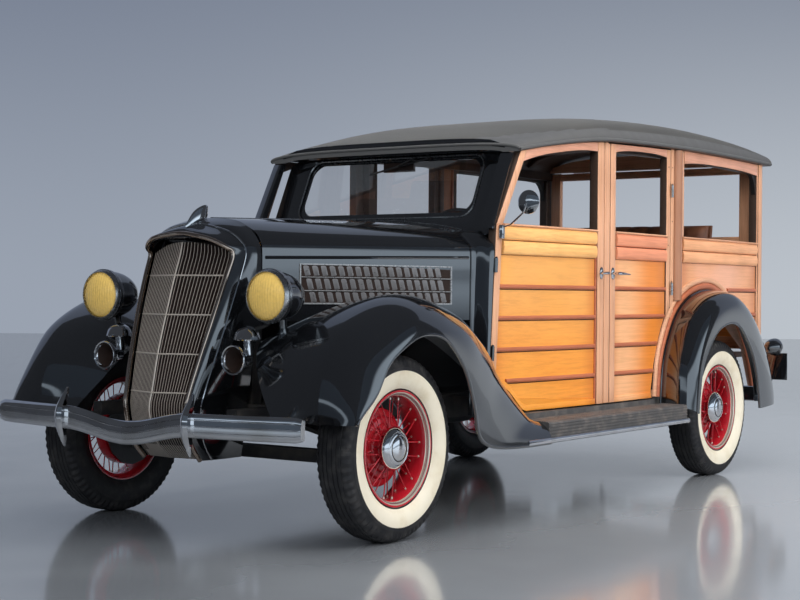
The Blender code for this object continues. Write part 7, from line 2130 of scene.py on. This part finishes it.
def make_floor():
    floor = make_plane("studio_floor", FLOOR_SIZE)
    paint = Paint("studio_floor", (0.30, 0.32, 0.35), 0.12, 0.0, Specular_IOR_Level=0.7)
    patch = paint.noise(1.1, 3.0, 0.5)
    grain = paint.noise(9.0, 4.0, 0.6)
    sideways = across_picture(paint)
    # Painted light: the floor is darker towards the left of the picture and lighter towards the right.
    ground = paint.mix(sideways.above(-2.5, 3.2), (0.125, 0.135, 0.15), (0.37, 0.39, 0.42))
    paint.to("Base Color", paint.mix((patch.above(0.3, 0.7) * 0.35).clamped(), ground, (0.30, 0.32, 0.34)))
    paint.rough(grain, 0.08, 0.07)
    paint.bump(paint.noise(1.6, 2.0, 0.5), 0.02, 0.02)
    floor.data.materials.append(paint.made)
    return floor


def make_wall():
    """Backdrop behind the car, which glows with painted light to camera, mirror and glass rays: lighter low
    down and to the right, darker above.
    """
    wall = make_plane("studio_backdrop", 1)
    away, across = camera_ways()
    centre = away * WALL_DISTANCE
    for point, (share, high) in zip(wall.data.vertices, ((-60, -0.01), (60, -0.01), (-60, 40), (60, 40))):
        point.co = centre + across * share + Vector((0, 0, high))
    paint = Paint("studio_backdrop", (0.30, 0.33, 0.40), 0.9)
    height = paint.axis("Z")
    sideways = across_picture(paint)
    # Painted light: lighter low down and towards the right of the picture, darker high up.
    rise = height.above(0.4, 10.5)
    lower = paint.mix(sideways.above(-8.0, 10.0), (0.32, 0.36, 0.43), (0.50, 0.54, 0.59))
    upper = paint.mix(sideways.above(-12.0, 12.0), (0.165, 0.195, 0.265), (0.19, 0.22, 0.285))
    tone = paint.mix(rise, lower, upper)
    ray = paint.tree.nodes.new("ShaderNodeLightPath")
    glow = paint.node("ShaderNodeEmission", {}, {"Color": tone, "Strength": 1.0})
    kinds = ("Is Camera Ray", "Is Glossy Ray", "Is Transmission Ray")
    seen = sum(Wire(paint, ray.outputs[kind]) for kind in kinds)
    paint.to("Base Color", tone)
    blend = paint.tree.nodes.new("ShaderNodeMixShader")
    paint.tree.links.new(seen.clamped().socket, blend.inputs[0])
    paint.tree.links.new(paint.shader.outputs[0], blend.inputs[1])
    paint.tree.links.new(glow.socket, blend.inputs[2])
    paint.tree.links.new(blend.outputs[0], paint.tree.nodes["Material Output"].inputs[0])
    wall.data.materials.append(paint.made)
    return wall


def make_cards():
    """Two tall cards beside the camera's view that the paint mirrors."""
    cards = []
    for name, middle, turn, length in (("studio_side_card", (28.0, 0.0), 90, 62),
                                       ("studio_front_card", (4.0, -34.0), 0, 52)):
        card = make_plane(name, 1)
        swing = Vector((math.cos(math.radians(turn)), math.sin(math.radians(turn)), 0))
        foot = Vector((*middle, -0.01))
        for point, (share, high) in zip(card.data.vertices, ((-0.5, 0), (0.5, 0), (-0.5, 20), (0.5, 20))):
            point.co = foot + swing * length * share + Vector((0, 0, high))
        paint = Paint(name, (0.30, 0.36, 0.42), 0.9)
        level = paint.axis("Z")
        if turn:
            band = level.above(0.0, 1.2) * (1 - level.above(6.8, 10.5))
        else:
            band = level.above(4.8, 5.6) * (1 - level.above(6.8, 8.0)) * 0.8
        glow = paint.mix(band.clamped(), (0.020, 0.023, 0.028), (0.72, 0.86, 1.0))
        paint.shader.inputs["Emission Strength"].default_value = 1.0
        paint.to("Emission Color", glow)
        card.data.materials.append(paint.made)
        card.visible_diffuse = False
        card.visible_camera = False
        cards.append(card)
    return cards


def light_world(scene):
    """Even light from all round, darker where the paint mirrors it."""
    world = bpy.data.worlds.new("studio")
    scene.world = world
    world.use_nodes = True
    tree = world.node_tree
    ground = tree.nodes["Background"]
    ground.inputs["Color"].default_value = (0.55, 0.60, 0.68, 1)
    ground.inputs["Strength"].default_value = 0.55
    shade = tree.nodes.new("ShaderNodeBackground")
    shade.inputs["Color"].default_value = (0.045, 0.05, 0.06, 1)
    rays = tree.nodes.new("ShaderNodeLightPath")
    both = tree.nodes.new("ShaderNodeMixShader")
    tree.links.new(rays.outputs["Is Glossy Ray"], both.inputs[0])
    tree.links.new(ground.outputs[0], both.inputs[1])
    tree.links.new(shade.outputs[0], both.inputs[2])
    tree.links.new(both.outputs[0], tree.nodes["World Output"].inputs["Surface"])


def add_lights(scene):
    for name, place, target, width, depth, power, colour in STUDIO_LIGHTS:
        light = bpy.data.lights.new(name, "AREA")
        light.shape = "RECTANGLE"
        light.size = width
        light.size_y = depth
        light.energy = power
        light.color = colour
        made = bpy.data.objects.new(name, light)
        scene.collection.objects.link(made)
        made.location = place
        made.rotation_euler = (Vector(target) - Vector(place)).to_track_quat("-Z", "Y").to_euler()
        made.visible_glossy = False
        made.visible_camera = False


def place_camera(scene):
    dip, roll = math.radians(CAMERA_DIP), math.radians(CAMERA_ROLL)
    away, across = camera_ways()
    camera = bpy.data.cameras.new("camera")
    made = bpy.data.objects.new("camera", camera)
    scene.collection.objects.link(made)
    ahead = away * math.cos(dip) - Vector((0, 0, math.sin(dip)))
    up = across.cross(ahead)
    turned_right = across * math.cos(roll) + up * math.sin(roll)
    turned_up = up * math.cos(roll) - across * math.sin(roll)
    matrix = Matrix((turned_right, turned_up, -ahead)).transposed().to_4x4()
    matrix.translation = CAMERA_PLACE
    made.matrix_world = matrix
    camera.sensor_width = 36
    camera.lens = CAMERA_LENS
    camera.clip_end = 200
    scene.camera = made


def add_stage(context):
    floor = make_floor()
    wall = make_wall()
    cards = make_cards()
    light_world(context.scene)
    add_lights(context.scene)
    place_camera(context.scene)
    context.scene.view_settings.view_transform = "Standard"


# Operators

def start_finishes(context):
    random.seed(7)
    make_finishes(context.scene.wagon_colours)
    carry_over()


class WAGON_OT_finishes(bpy.types.Operator):
    """Makes every finish and gives the kept solids theirs"""

    bl_idname = "wagon.finishes"
    bl_label = "Finishes"
    bl_options = {"REGISTER", "UNDO"}

    def execute(self, context):
        start_finishes(context)
        return {"FINISHED"}


class WAGON_OT_wheels(bpy.types.Operator):
    """Builds the wire wheels and tyres"""

    bl_idname = "wagon.wheels"
    bl_label = "Wheels and tyres"
    bl_options = {"REGISTER", "UNDO"}

    def execute(self, context):
        add_wheels(context)
        return {"FINISHED"}


class WAGON_OT_fenders(bpy.types.Operator):
    """Builds the fenders with rolled lips"""

    bl_idname = "wagon.fenders"
    bl_label = "Fenders"
    bl_options = {"REGISTER", "UNDO"}

    def execute(self, context):
        add_fenders(context)
        return {"FINISHED"}


class WAGON_OT_boards(bpy.types.Operator):
    """Builds the ribbed running boards"""

    bl_idname = "wagon.boards"
    bl_label = "Running boards"
    bl_options = {"REGISTER", "UNDO"}

    def execute(self, context):
        add_boards(context)
        return {"FINISHED"}


class WAGON_OT_hood(bpy.types.Operator):
    """Builds the hood halves with their louvres"""

    bl_idname = "wagon.hood"
    bl_label = "Hood"
    bl_options = {"REGISTER", "UNDO"}

    def execute(self, context):
        add_hood(context)
        return {"FINISHED"}


class WAGON_OT_cowl(bpy.types.Operator):
    """Builds the cowl, dash and windshield frame"""

    bl_idname = "wagon.cowl"
    bl_label = "Cowl"
    bl_options = {"REGISTER", "UNDO"}

    def execute(self, context):
        add_cowl(context)
        return {"FINISHED"}


class WAGON_OT_grille(bpy.types.Operator):
    """Builds the grille, its shell and the nose spear"""

    bl_idname = "wagon.grille"
    bl_label = "Grille"
    bl_options = {"REGISTER", "UNDO"}

    def execute(self, context):
        add_grille(context)
        return {"FINISHED"}


class WAGON_OT_lamps(bpy.types.Operator):
    """Builds the head lamps and horns"""

    bl_idname = "wagon.lamps"
    bl_label = "Lamps and horns"
    bl_options = {"REGISTER", "UNDO"}

    def execute(self, context):
        add_lamps(context)
        return {"FINISHED"}


class WAGON_OT_bumpers(bpy.types.Operator):
    """Builds the grooved bumpers and their guards"""

    bl_idname = "wagon.bumpers"
    bl_label = "Bumpers"
    bl_options = {"REGISTER", "UNDO"}

    def execute(self, context):
        add_bumpers(context)
        return {"FINISHED"}


class WAGON_OT_body(bpy.types.Operator):
    """Builds doors and rear quarters board by board"""

    bl_idname = "wagon.body"
    bl_label = "Wooden body"
    bl_options = {"REGISTER", "UNDO"}

    def execute(self, context):
        add_body(context)
        return {"FINISHED"}


class WAGON_OT_roof(bpy.types.Operator):
    """Builds the cloth roof, drip moulding and bows"""

    bl_idname = "wagon.roof"
    bl_label = "Roof"
    bl_options = {"REGISTER", "UNDO"}

    def execute(self, context):
        add_roof(context)
        return {"FINISHED"}


class WAGON_OT_gates(bpy.types.Operator):
    """Builds tailgate and liftgate"""

    bl_idname = "wagon.gates"
    bl_label = "Rear gates"
    bl_options = {"REGISTER", "UNDO"}

    def execute(self, context):
        add_gates(context)
        return {"FINISHED"}


class WAGON_OT_trim(bpy.types.Operator):
    """Builds handles, hinges, mirror and tail lamp"""

    bl_idname = "wagon.trim"
    bl_label = "Trim"
    bl_options = {"REGISTER", "UNDO"}

    def execute(self, context):
        add_trim(context)
        return {"FINISHED"}


class WAGON_OT_seats(bpy.types.Operator):
    """Builds the padded benches"""

    bl_idname = "wagon.seats"
    bl_label = "Seats"
    bl_options = {"REGISTER", "UNDO"}

    def execute(self, context):
        add_seats(context)
        return {"FINISHED"}


class WAGON_OT_steering(bpy.types.Operator):
    """Builds the steering wheel"""

    bl_idname = "wagon.steering"
    bl_label = "Steering wheel"
    bl_options = {"REGISTER", "UNDO"}

    def execute(self, context):
        add_steering(context)
        return {"FINISHED"}


class WAGON_OT_stage(bpy.types.Operator):
    """Builds floor, backdrop, lights and camera"""

    bl_idname = "wagon.stage"
    bl_label = "Stage"
    bl_options = {"REGISTER", "UNDO"}

    def execute(self, context):
        add_stage(context)
        return {"FINISHED"}


STEPS = [WAGON_OT_finishes, WAGON_OT_wheels, WAGON_OT_fenders, WAGON_OT_boards, WAGON_OT_hood,
         WAGON_OT_cowl, WAGON_OT_grille, WAGON_OT_lamps, WAGON_OT_bumpers, WAGON_OT_body, WAGON_OT_roof,
         WAGON_OT_gates, WAGON_OT_trim, WAGON_OT_seats, WAGON_OT_steering, WAGON_OT_stage]


class WAGON_PT_sidebar(bpy.types.Panel):
    """Sizes, colours and steps of the wagon"""

    bl_label = "Wagon"
    bl_space_type = "VIEW_3D"
    bl_region_type = "UI"
    bl_category = "Wagon"

    def draw(self, context):
        for group in (context.scene.wagon_colours, context.scene.wagon_details):
            for key in group.bl_rna.properties.keys():
                if key not in ("rna_type", "name"):
                    self.layout.prop(group, key)
        for step in STEPS:
            self.layout.operator(step.bl_idname)


CLASSES = [WagonColours, WagonDetails] + STEPS + [WAGON_PT_sidebar]


def register():
    for made in CLASSES:
        bpy.utils.register_class(made)
    bpy.types.Scene.wagon_colours = bpy.props.PointerProperty(type=WagonColours)
    bpy.types.Scene.wagon_details = bpy.props.PointerProperty(type=WagonDetails)


def unregister():
    del bpy.types.Scene.wagon_details
    del bpy.types.Scene.wagon_colours
    for made in reversed(CLASSES):
        bpy.utils.unregister_class(made)


def main():
    register()
    for step in STEPS:
        group, name = step.bl_idname.split(".")
        getattr(getattr(bpy.ops, group), name)()


if __name__ == "__main__":
    main()
